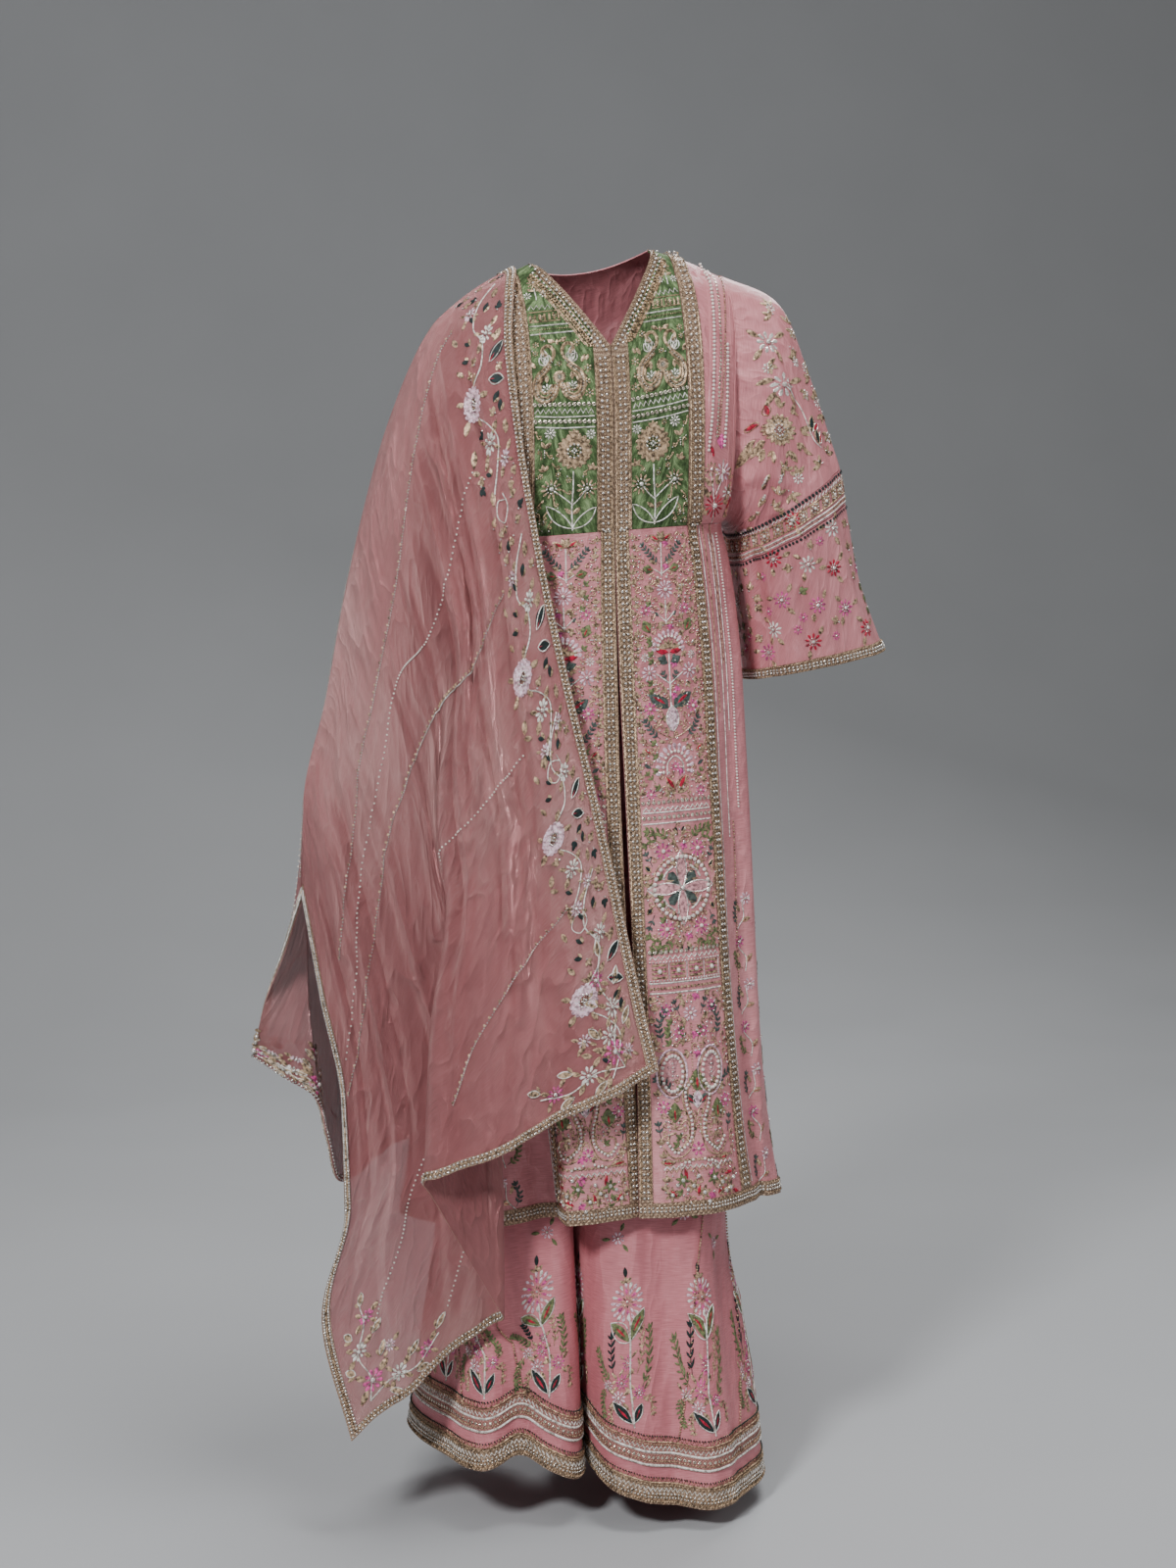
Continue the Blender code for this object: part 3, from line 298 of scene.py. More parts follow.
# ---------------------------------------------------------------- cloth geometry
@dataclass(frozen=True)
class Crease:
    """A soft ridge along a straight run, or a trough where its height is negative."""

    start: Flat
    end: Flat
    half: float
    height: float
    fade_power: float = 0.6
    trough_apart: float = 1.7
    trough_share: float = 0.4

    def lift(self, u: np.ndarray, v: np.ndarray) -> np.ndarray:
        """Find how far the crease raises the cloth.

        Args:
            u: first coordinates of the points.
            v: second coordinates of the points.

        Returns:
            The height at each point, in metres.
        """
        run_u, run_v = self.end[0] - self.start[0], self.end[1] - self.start[1]
        length = math.hypot(run_u, run_v)
        along = ((u - self.start[0]) * run_u + (v - self.start[1]) * run_v) / length ** 2
        aside = ((u - self.start[0]) * run_v - (v - self.start[1]) * run_u) / length
        fade = np.clip(4 * along * (1 - along), 0, 1) ** self.fade_power
        ridge = np.exp(-(aside / self.half) ** 2)
        trough = np.exp(-((aside - self.trough_apart * self.half) / self.half) ** 2)
        return self.height * fade * (ridge - self.trough_share * trough)


def creased(*rows: tuple[float, ...]) -> tuple[Crease, ...]:
    """Make creases, each row the start, the end, the half width and the height."""
    return tuple(Crease((u, v), (to_u, to_v), half, height)
                 for u, v, to_u, to_v, half, height in rows)


def relief(creases: Iterable[Crease], u: np.ndarray, v: np.ndarray) -> np.ndarray:
    """Add up the creases at some points.

    Args:
        creases: the creases of a cloth.
        u: first coordinates of the points.
        v: second coordinates of the points.

    Returns:
        The height at each point, in metres.
    """
    total = np.zeros(np.broadcast(u, v).shape)
    for crease in creases:
        total = total + crease.lift(u, v)
    return total


def tilt(points: np.ndarray) -> np.ndarray:
    """Lower the wearer's right side and raise the left, by less towards the hem.

    Args:
        points: points in an array whose last axis is x, y, z.

    Returns:
        The moved points.
    """
    x, z = points[..., 0], points[..., 2]
    slope = np.where(x > 0, TILT.at("left", z), TILT.at("right", z))
    return points + np.stack([np.zeros_like(x), np.zeros_like(x), x * slope], axis=-1)


def refine(marks: Sequence[float], step: float) -> tuple[np.ndarray, list[int]]:
    """Fill the spaces between marks with even values.

    Args:
        marks: the values that have to be kept, in order.
        step: the widest space wanted.

    Returns:
        All the values, and the place of each mark among them.
    """
    values, places = [marks[0]], [0]
    for low, high in zip(marks[:-1], marks[1:]):
        count = max(int(math.ceil(abs(high - low) / step)), 1)
        values += [low + (high - low) * (i + 1) / count for i in range(count)]
        places.append(len(values) - 1)
    return np.array(values), places


def unit(vectors: np.ndarray) -> np.ndarray:
    """Scale vectors to a length of one."""
    return vectors / np.maximum(np.linalg.norm(vectors, axis=-1), 1e-12)[..., None]


def lengths(points: np.ndarray, axis: int) -> np.ndarray:
    """Measure the distances run along the rows or the columns of a grid.

    Args:
        points: a grid of points.
        axis: 0 to run down the columns, 1 to run along the rows.

    Returns:
        The distance from the first point at each point.
    """
    steps = np.linalg.norm(np.diff(points, axis=axis), axis=-1)
    return np.insert(np.cumsum(steps, axis=axis), 0, 0.0, axis=axis)


@dataclass
class Sheet:
    """A grid of outer points of a cloth, with its normals and its flat place in metres.

    From the row closed_from on, the last column is the first one again. Flat places start
    at the first row and column. At a seam, two rows or columns share normals.
    """

    points: np.ndarray
    closed_from: int | None = None
    row_seams: tuple[int, ...] = ()
    column_seams: tuple[int, ...] = ()
    tilted: bool = False
    normals: np.ndarray = field(init=False)
    mirrored: bool = field(init=False)
    flat: np.ndarray = field(init=False)

    def __post_init__(self) -> None:
        """Work out the normals and the flat places."""
        if self.tilted:
            self.points = tilt(self.points)
        p = self.points
        down, along = np.diff(p, axis=0), np.diff(p, axis=1)
        first, second = np.cross(down[:, :-1], along[1:]), np.cross(down[:, 1:], along[:-1])
        total = np.zeros_like(p)
        for rows, cols, area in ((slice(0, -1), slice(0, -1), first + second),
                                 (slice(1, None), slice(0, -1), first),
                                 (slice(0, -1), slice(1, None), second),
                                 (slice(1, None), slice(1, None), first + second)):
            total[rows, cols] += area
        if self.closed_from is not None:
            seam = total[self.closed_from:, 0] + total[self.closed_from:, -1]
            total[self.closed_from:, 0] = total[self.closed_from:, -1] = seam
        middle = np.zeros(3) if self.closed_from is None else p.mean(axis=1)[:, None]
        outward = (p - middle) * np.array([1.0, 1.0, 0.0 if self.closed_from is None else 1.0])
        self.mirrored = bool((total * outward).sum() < 0)
        self.normals = unit(-total if self.mirrored else total)
        for seam in self.row_seams:
            shared = unit(self.normals[seam] + self.normals[seam + 1])
            self.normals[seam] = self.normals[seam + 1] = shared
        for seam in self.column_seams:
            shared = unit(self.normals[:, seam] + self.normals[:, seam + 1])
            self.normals[:, seam] = self.normals[:, seam + 1] = shared
        self.flat = np.stack([lengths(p, 1), lengths(p, 0)], axis=-1)

    def place(self, flat: np.ndarray, lift: np.ndarray | float) -> tuple[np.ndarray, np.ndarray]:
        """Lay flat points onto the cloth.

        Args:
            flat: points as across and down, in metres.
            lift: distances out from the cloth.

        Returns:
            The points in space, and the cloth's normal at each.
        """
        v_line = self.flat[:, 0, 1]
        v = np.clip(flat[:, 1], v_line[0], v_line[-1])
        r = np.clip(np.searchsorted(v_line, v, side="right") - 1, 0, len(v_line) - 2)
        s = (v - v_line[r]) / np.maximum(v_line[r + 1] - v_line[r], 1e-9)
        u_rows = self.flat[r, :, 0] * (1 - s[:, None]) + self.flat[r + 1, :, 0] * s[:, None]
        u = np.clip(flat[:, 0], u_rows[:, 0], u_rows[:, -1])
        c = np.clip((u_rows <= u[:, None]).sum(axis=1) - 1, 0, u_rows.shape[1] - 2)
        n = np.arange(len(c))
        t = (u - u_rows[n, c]) / np.maximum(u_rows[n, c + 1] - u_rows[n, c], 1e-9)
        s, t = s[:, None], t[:, None]

        def mix(grid: np.ndarray) -> np.ndarray:
            """Read a grid between its rows and columns.

            Args:
                grid: one value or point for each row and column.

            Returns:
                The value or point at each place asked for.
            """
            above = grid[r, c] * (1 - t) + grid[r, c + 1] * t
            below = grid[r + 1, c] * (1 - t) + grid[r + 1, c + 1] * t
            return above * (1 - s) + below * s

        normals = unit(mix(self.normals))
        return mix(self.points) + normals * np.reshape(lift, (-1, 1)), normals

    def patch(self, rows: Flat, cols: Flat, pull: dict[str, float]) -> list[np.ndarray]:
        """Cut some rows and columns out of the grid.

        Args:
            rows: the first and the last row.
            cols: the first and the last column.
            pull: how far to draw in the edges top, foot, first and last.

        Returns:
            The points, the normals and the flat places.
        """
        window = (slice(rows[0], rows[1] + 1), slice(cols[0], cols[1] + 1))
        grids = [grid[window].copy() for grid in (self.points, self.normals, self.flat)]
        lines = {"top": (0, 0, 1), "foot": (0, -1, -2), "first": (1, 0, 1), "last": (1, -1, -2)}
        for name, distance in pull.items():
            axis, edge, inside = lines[name]
            views = [np.moveaxis(grid, axis, 0) for grid in grids]
            gap = np.linalg.norm(views[0][inside] - views[0][edge], axis=1)[:, None]
            for view in views:
                view[edge] += (view[inside] - view[edge]) * distance / gap
        return grids


def limit(side: Side, low: float, high: float) -> tuple[int, float, float]:
    """Bound x for a piece between two distances from the centre of one side."""
    return (0, low, high) if side is Side.LEFT else (0, -high, -low)


FRONT_HALF = (1, -1.0, -SEAM_GAP / 2)
BACK_HALF = (1, SEAM_GAP / 2, 1.0)


@dataclass
class Wall:
    """A thin closed cloth shell, or a trim, cut from some rows and columns of a sheet."""

    name: str
    node: str
    sheet: Sheet
    rows: tuple[int, int]
    cols: tuple[int, int]
    material: bpy.types.Material
    slot: str
    thick: float
    lift: float | None = None
    limits: Sequence[tuple[int, float, float]] = ()
    pull: dict[str, float] = field(default_factory=dict)
    piece: bpy.types.Object = field(init=False)
    size: tuple[float, float, float] = field(init=False)

    def __post_init__(self) -> None:
        """Build the mesh and set it in the frame."""
        points, normals, flat = self.sheet.patch(self.rows, self.cols, self.pull)
        inner = -self.thick if self.lift is None else self.lift
        layers = [points + normals * (inner + self.thick), points + normals * inner]
        for axis, low, high in self.limits:
            for layer in layers:
                layer[:, :, axis] = np.clip(layer[:, :, axis], low, high)
        self.size = self.cut(points)
        rows, cols = points.shape[:2]
        index = np.arange(rows * cols).reshape(rows, cols)
        if self.sheet.closed_from is not None and cols == self.sheet.points.shape[1]:
            start = max(self.sheet.closed_from - self.rows[0], 0)
            index[start:, -1] = index[start:, 0]
        quads = self.corners(index)
        places = self.corners(np.arange(rows * cols).reshape(rows, cols))
        if self.sheet.mirrored:
            quads, places = quads[:, ::-1], places[:, ::-1]
        count = rows * cols
        starts, ends = quads.ravel(), np.roll(quads, -1, axis=1).ravel()
        start_at = places.ravel()
        end_at = np.roll(places, -1, axis=1).ravel()
        alone = ~np.isin(starts * count + ends, ends * count + starts)
        s, e = starts[alone], ends[alone]
        rim = np.stack([e, s, s + count, e + count], axis=1)
        s, e = start_at[alone], end_at[alone]
        rim_at = np.stack([e, s, s, e], axis=1)
        faces = np.concatenate([quads, quads[:, ::-1] + count, rim])
        uvs = flat.reshape(-1, 2)[np.concatenate([places, places[:, ::-1], rim_at]).ravel()]
        vertices = np.concatenate([layer.reshape(-1, 3) for layer in layers])
        self.piece = mesh_piece(self.name, vertices, faces, self.material, uvs)
        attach(self.piece, "root")
        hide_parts(self.node)

    @staticmethod
    def corners(index: np.ndarray) -> np.ndarray:
        """List the four corners of each cell of a grid of numbers."""
        cells = [index[:-1, :-1], index[1:, :-1], index[1:, 1:], index[:-1, 1:]]
        return np.stack([cell.ravel() for cell in cells], axis=1)

    @staticmethod
    def cut(points: np.ndarray) -> tuple[float, float, float]:
        """Measure a cloth laid flat.

        Args:
            points: the grid of its points.

        Returns:
            Its greatest width and length, and its area.
        """
        width, length = lengths(points, 1)[:, -1].max(), lengths(points, 0)[-1].max()
        across, down = points[1:, 1:] - points[:-1, :-1], points[1:, :-1] - points[:-1, 1:]
        area = np.linalg.norm(np.cross(across, down), axis=-1).sum() / 2
        return float(width), float(length), float(min(area, width * length))

    def declare(self, hold: Hold, rests_on: Sequence[str], trims: Sequence["Wall"] = ()) -> None:
        """Take how the piece is held and what it rests on, and do nothing with them.

        Args:
            hold: how the cloth is held; not used.
            rests_on: names of the nodes it lies on or is sewn to; not used.
            trims: the trims on it; not used.
        """


def mesh_piece(name: str, vertices: np.ndarray, faces: np.ndarray | list[tuple[int, ...]],
               material: bpy.types.Material, uvs: np.ndarray | None = None) -> bpy.types.Object:
    """Make a smooth mesh object at the origin.

    Args:
        name: the object's name.
        vertices: its points.
        faces: the corners of each face.
        material: its material.
        uvs: one flat place for each corner of each face.

    Returns:
        The new object, linked to the scene.
    """
    used, packed = np.unique(np.asarray(faces), return_inverse=True)
    packed = packed.reshape(np.asarray(faces).shape)
    mesh = bpy.data.meshes.new(name)
    mesh.from_pydata(vertices[used].tolist(), [], packed.tolist())
    if uvs is not None:
        layer = mesh.uv_layers.new(name="flat")
        layer.data.foreach_set("uv", np.asarray(uvs, dtype=np.float32).ravel())
    mesh.polygons.foreach_set("use_smooth", np.ones(len(mesh.polygons), dtype=bool))
    mesh.set_sharp_from_angle(angle=SHARP_ANGLE)
    mesh.update()
    mesh.materials.append(material)
    piece = bpy.data.objects.new(name, mesh)
    bpy.context.scene.collection.objects.link(piece)
    return piece


# ---------------------------------------------------------------- finishes
def linear(colour: Colour, share: float = 1.0) -> tuple[float, float, float, float]:
    """Turn a screen colour of 0 to 255 into the renderer's light values."""
    red, green, blue = (share * (value / 255.0) ** DISPLAY_GAMMA for value in colour)
    return red, green, blue, 1.0


class ShaderTree:
    """A material with short calls that add its nodes and join them."""

    def __init__(self, name: str) -> None:
        """Start a material with its main shader.

        Args:
            name: the material's name.
        """
        self.material = bpy.data.materials.new(name)
        self.material.use_nodes = True
        self.tree = self.material.node_tree
        self.shader = self.tree.nodes["Principled BSDF"]

    def add(self, kind: str, links: dict | None = None, sockets: dict | None = None,
            **settings: object) -> bpy.types.Node:
        """Add a node.

        Args:
            kind: the node's type, without ShaderNode.
            links: output sockets to join to its inputs, by input.
            sockets: values of its inputs, by input.
            settings: its other settings.

        Returns:
            The new node.
        """
        node = self.tree.nodes.new("ShaderNode" + kind)
        for key, value in settings.items():
            setattr(node, key, value)
        for key, value in (sockets or {}).items():
            node.inputs[key].default_value = value
        for key, output in (links or {}).items():
            self.tree.links.new(output, node.inputs[key])
        return node

    def math(self, operation: str, first: object, second: object = None) -> bpy.types.NodeSocket:
        """Add a sum of sockets or numbers.

        Args:
            operation: the Math node's operation.
            first: a socket or a number.
            second: a socket or a number, or None.

        Returns:
            The result's socket.
        """
        node = self.add("Math", operation=operation)
        for i, value in enumerate((first, second)):
            if isinstance(value, (int, float)):
                node.inputs[i].default_value = value
            elif value is not None:
                self.tree.links.new(value, node.inputs[i])
        return node.outputs[0]

    def set(self, **values: object) -> None:
        """Set plain values on the main shader's own sockets, with _ for a space."""
        for key, value in values.items():
            self.shader.inputs[key.replace("_", " ")].default_value = value

    def noise(self, where: bpy.types.NodeSocket, scale: Sequence[float], detail: float = 2.0,
              rough: float = 0.5) -> bpy.types.NodeSocket:
        """Add noise stretched by its scales.

        Args:
            where: the coordinates.
            scale: how many spots there are in a metre, along each axis.
            detail: the noise's detail.
            rough: how strong the fine detail is.

        Returns:
            The noise's value.
        """
        mapped = self.add("Mapping", {"Vector": where}, {"Scale": tuple(scale)})
        return self.add("TexNoise", {"Vector": mapped.outputs[0]},
                        {"Scale": 1.0, "Detail": detail, "Roughness": rough}).outputs[0]

    def ridges(self, value: bpy.types.NodeSocket) -> bpy.types.NodeSocket:
        """Turn noise into sharp ridges where it crosses its middle, as creases are."""
        folded = self.math("ABSOLUTE", self.math("SUBTRACT", value, 0.5))
        return self.math("POWER", self.math("SUBTRACT", 1.0, self.math("MULTIPLY", folded, 2.0)),
                         5.0)

    def ramp(self, value: bpy.types.NodeSocket, stops: Sequence[tuple[float, Colour]]) -> None:
        """Colour the shader by a value.

        Args:
            value: the value read.
            stops: each place from 0 to 1 and its colour.
        """
        node = self.add("ValToRGB", {"Fac": value})
        elements = node.color_ramp.elements
        while len(elements) < len(stops):
            elements.new(0.5)
        for element, (place, colour) in zip(elements, stops):
            element.position = place
            element.color = linear(colour)
        self.tree.links.new(node.outputs[0], self.shader.inputs["Base Color"])

    def bump(self, height: bpy.types.NodeSocket, distance: float, strength: float = 1.0) -> None:
        """Raise the surface by a height.

        Args:
            height: the height's socket, from 0 to 1.
            distance: what a height of one stands for, in metres.
            strength: how strongly it shows.
        """
        node = self.add("Bump", {"Height": height}, {"Distance": distance, "Strength": strength})
        self.tree.links.new(node.outputs[0], self.shader.inputs["Normal"])

    def stripes(self, coordinate: bpy.types.NodeSocket, pitch: float) -> bpy.types.NodeSocket:
        """Make even waves from 0 to 1 along a coordinate, one in each pitch."""
        wave = self.math("SINE", self.math("MULTIPLY", coordinate, 2 * math.pi / pitch))
        return self.math("ADD", self.math("MULTIPLY", wave, 0.5), 0.5)


@dataclass(frozen=True)
class ClothFinish:
    """A woven cloth: its colours in shade and in light, which its noise lays on as painted shade
    and painted light over the slubs' own tone, its weave, slubs and crumple, and painted highlight
    streaks along its crease ridges.
    """

    name: str
    deep: Colour
    body: Colour
    light: Colour
    roughness: float
    sheen: float
    weave: float = 0.0007
    slub: float = 0.35
    crumple: float = 0.25
    crumple_scale: tuple[float, float, float] = (12.0, 6.0, 1.0)
    relief: float = 0.0005
    alpha: float = 1.0
    silver: float = 0.0
    # How strongly the fine crease ridges lighten the colour, as painted highlight streaks.
    painted_highlight: float = 0.06

    def build(self) -> bpy.types.Material:
        """Build the material.

        Returns:
            A material that reads the cloth's flat map, in metres.
        """
        tree = ShaderTree(self.name)
        flat = tree.add("UVMap", uv_map="flat").outputs[0]
        axes = tree.add("SeparateXYZ", {"Vector": flat})
        warp, weft = (tree.stripes(axes.outputs[i], self.weave) for i in (0, 1))
        slubs = tree.noise(flat, (60.0, 1100.0, 1.0), 1.0)
        crumple = tree.ridges(tree.noise(flat, self.crumple_scale, 3.0, 0.5))
        fine = tree.ridges(tree.noise(flat, tuple(3.1 * s for s in self.crumple_scale), 2.0, 0.5))
        broad = tree.noise(flat, (3.0, 2.0, 1.0), 2.0)
        # Partly painted light: the slub noise gives the cloth's own uneven tone, while the broad
        # noise spreads it between its deep colour, a painted shade, and its light colour, a painted
        # highlight.
        shade = tree.math("ADD", tree.math("MULTIPLY", slubs, self.slub),
                          tree.math("MULTIPLY", broad, 1.0 - self.slub))
        # Painted highlight: the fine crease ridges lift the colour ramp, so the cloth is lighter
        # along them, as if lit.
        painted_streaks = tree.math("MULTIPLY", tree.math("ADD", fine, -0.40), self.painted_highlight)
        tree.ramp(tree.math("ADD", shade, painted_streaks),
                  [(0.30, self.deep), (0.50, self.body), (0.70, self.light)])
        threads = tree.math("MULTIPLY", tree.math("ADD", warp, weft), 0.10)
        height = tree.math("ADD", threads, tree.math("MULTIPLY", slubs, 0.25))
        for ridges, gain in ((crumple, 10.0), (fine, 3.5)):
            height = tree.math("ADD", height, tree.math("MULTIPLY", ridges, gain * self.crumple))
        tree.bump(height, self.relief)
        tint = linear(self.light)
        tree.set(Roughness=self.roughness, Sheen_Weight=self.sheen, Sheen_Roughness=0.4,
                 Sheen_Tint=tint, Alpha=self.alpha, Specular_IOR_Level=0.5, Metallic=self.silver)
        return tree.material


@dataclass(frozen=True)
class VelvetFinish:
    """A pile cloth whose nap lies in patches, lighter and darker."""

    name: str
    deep: Colour
    body: Colour
    light: Colour

    def build(self) -> bpy.types.Material:
        """Build the material.

        Returns:
            A material with a mottled nap and a soft sheen.
        """
        tree = ShaderTree(self.name)
        flat = tree.add("UVMap", uv_map="flat").outputs[0]
        patches = tree.noise(flat, (75.0, 60.0, 1.0), 5.0, 0.75)
        pile = tree.noise(flat, (1400.0, 1100.0, 1.0), 1.0)
        shade = tree.math("ADD", tree.math("MULTIPLY", patches, 0.8),
                          tree.math("MULTIPLY", pile, 0.2))
        tree.ramp(shade, [(0.38, self.deep), (0.50, self.body), (0.62, self.light)])
        tree.bump(tree.math("ADD", patches, tree.math("MULTIPLY", pile, 0.4)), 0.0009)
        tree.set(Roughness=0.8, Sheen_Weight=0.35, Sheen_Roughness=0.35,
                 Sheen_Tint=linear(self.light), Specular_IOR_Level=0.2)
        return tree.material


@dataclass(frozen=True)
class GoldworkFinish:
    """Dense metal-thread work: a lattice of raised threads, in two tones."""

    name: str
    deep: Colour
    light: Colour
    pitch: float
    metallic: float = 0.55
    roughness: float = 0.42

    def build(self) -> bpy.types.Material:
        """Build the material.

        Returns:
            A material that reads the trim's flat map, in metres.
        """
        tree = ShaderTree(self.name)
        flat = tree.add("UVMap", uv_map="flat").outputs[0]
        axes = tree.add("SeparateXYZ", {"Vector": flat})
        rising = tree.math("ADD", axes.outputs[0], axes.outputs[1])
        falling = tree.math("SUBTRACT", axes.outputs[0], axes.outputs[1])
        lattice = tree.math("MULTIPLY", tree.stripes(rising, self.pitch),
                            tree.stripes(falling, self.pitch))
        threads = tree.stripes(axes.outputs[1], 0.0011)
        spots = tree.noise(flat, (420.0, 420.0, 1.0), 3.0, 0.7)
        shade = tree.math("ADD", tree.math("MULTIPLY", lattice, 0.45),
                          tree.math("MULTIPLY", spots, 0.75))
        tree.ramp(shade, [(0.25, self.deep), (0.75, self.light)])
        height = tree.math("ADD", tree.math("MULTIPLY", lattice, 0.7),
                           tree.math("MULTIPLY", threads, 0.2))
        tree.bump(tree.math("ADD", height, tree.math("MULTIPLY", spots, 0.5)), 0.0012)
        tree.set(Metallic=self.metallic, Roughness=self.roughness)
        return tree.material


@dataclass(frozen=True)
class ThreadFinish:
    """Laid thread, cord or bead: one colour with fine twist and small changes of tone."""

    name: str
    colour: Colour
    metallic: float = 0.0
    roughness: float = 0.5
    twist: float = 0.0010
    spread: float = 0.35

    def build(self) -> bpy.types.Material:
        """Build the material.

        Returns:
            A material that reads object coordinates.
        """
        tree = ShaderTree(self.name)
        where = tree.add("TexCoord").outputs["Object"]
        spots = tree.noise(where, (260.0, 260.0, 260.0), 2.0, 0.6)
        axes = tree.add("SeparateXYZ", {"Vector": where})
        slant = tree.math("ADD", axes.outputs[0], axes.outputs[2])
        deep = tuple(int(value * (1 - self.spread)) for value in self.colour)
        gain = 1 + 0.6 * self.spread
        light = tuple(min(int(value * gain + 6), 255) for value in self.colour)
        tree.ramp(spots, [(0.36, deep), (0.50, self.colour), (0.66, light)])
        tree.bump(tree.stripes(slant, self.twist), 0.0003, 0.7)
        tree.set(Metallic=self.metallic, Roughness=self.roughness)
        return tree.material


@dataclass(frozen=True)
class FloorFinish:
    """A plain matt studio floor."""

    colour: Colour = (176, 178, 181)

    def build(self) -> bpy.types.Material:
        """Build the material.

        Returns:
            A pale material with a faint mottle.
        """
        tree = ShaderTree("studio_floor")
        where = tree.add("TexCoord").outputs["Object"]
        deep = tuple(value - 3 for value in self.colour)
        tree.ramp(tree.noise(where, (2.0, 2.0, 2.0)), [(0.3, deep), (0.7, self.colour)])
        tree.set(Roughness=0.75, Specular_IOR_Level=0.2)
        return tree.material


class Wardrobe:
    """The finishes of the suit, each built once when it is first asked for."""

    FINISHES = {
        # For the woven cloths the three colours are a painted shade, the cloth's body colour and a
        # painted highlight.
        "silk": ClothFinish("kurta_silk", (162, 92, 100), (204, 130, 136), (232, 168, 172), 0.34,
                            0.35, crumple=0.42, relief=0.0009),
        "trouser": ClothFinish("trouser_silk", (168, 92, 100), (206, 124, 132), (232, 156, 162),
                               0.38, 0.3, crumple=0.35, crumple_scale=(10.0, 3.0, 1.0),
                               relief=0.0009),
        # The organza's painted highlight streaks along its crease ridges stand in for its silvery
        # sheen.
        "organza": ClothFinish("dupatta_organza", (178, 104, 108), (211, 136, 138), (244, 194, 190),
                               0.22, 0.6, slub=0.25, crumple=0.6, crumple_scale=(7.0, 5.0, 1.0),
                               relief=0.0028, alpha=0.67, silver=0.30, painted_highlight=0.05),
        "velvet": VelvetFinish("yoke_velvet", (34, 46, 28), (74, 94, 60), (134, 156, 112)),
        "goldwork": GoldworkFinish("gold_trim", (98, 74, 60), (208, 180, 154), 0.0065),
        "tape": GoldworkFinish("gold_tape", (128, 98, 82), (224, 196, 170), 0.0040),
        "band": GoldworkFinish("band_ground", (142, 88, 84), (204, 150, 138), 0.0040, 0.15, 0.5),
        "gold": ThreadFinish("gold_thread", (178, 152, 124), 0.5, 0.36, spread=0.5),
        "white": ThreadFinish("white_cord", (232, 226, 216), 0.0, 0.5),
        "pearl": ThreadFinish("pearl", (236, 228, 220), 0.0, 0.18, spread=0.12),
        "silver": ThreadFinish("silver_bead", (240, 236, 228), 0.6, 0.16, spread=0.2),
        "sequin": ThreadFinish("sequin", (220, 208, 190), 0.85, 0.18, spread=0.3),
        "crimson": ThreadFinish("crimson_silk", (172, 6, 52)),
        "magenta": ThreadFinish("magenta_silk", (206, 84, 146)),
        "blush": ThreadFinish("blush_beads", (232, 190, 204), 0.0, 0.35),
        "dark": ThreadFinish("dark_velvet", (22, 40, 40), roughness=0.7),
        "olive": ThreadFinish("olive_thread", (104, 112, 74)),
        "teal": ThreadFinish("teal_thread", (72, 84, 80)),
        "rose": ThreadFinish("rose_silk", (210, 150, 156), 0.0, 0.38),
    }

    def __init__(self) -> None:
        """Start with nothing built."""
        self.built: dict[str, bpy.types.Material] = {}

    def __getitem__(self, name: str) -> bpy.types.Material:
        """Hand out a finish by its name.

        Args:
            name: the finish's name.

        Returns:
            Its material, built when it is first asked for.
        """
        if name not in self.built:
            self.built[name] = self.FINISHES[name].build()
        return self.built[name]


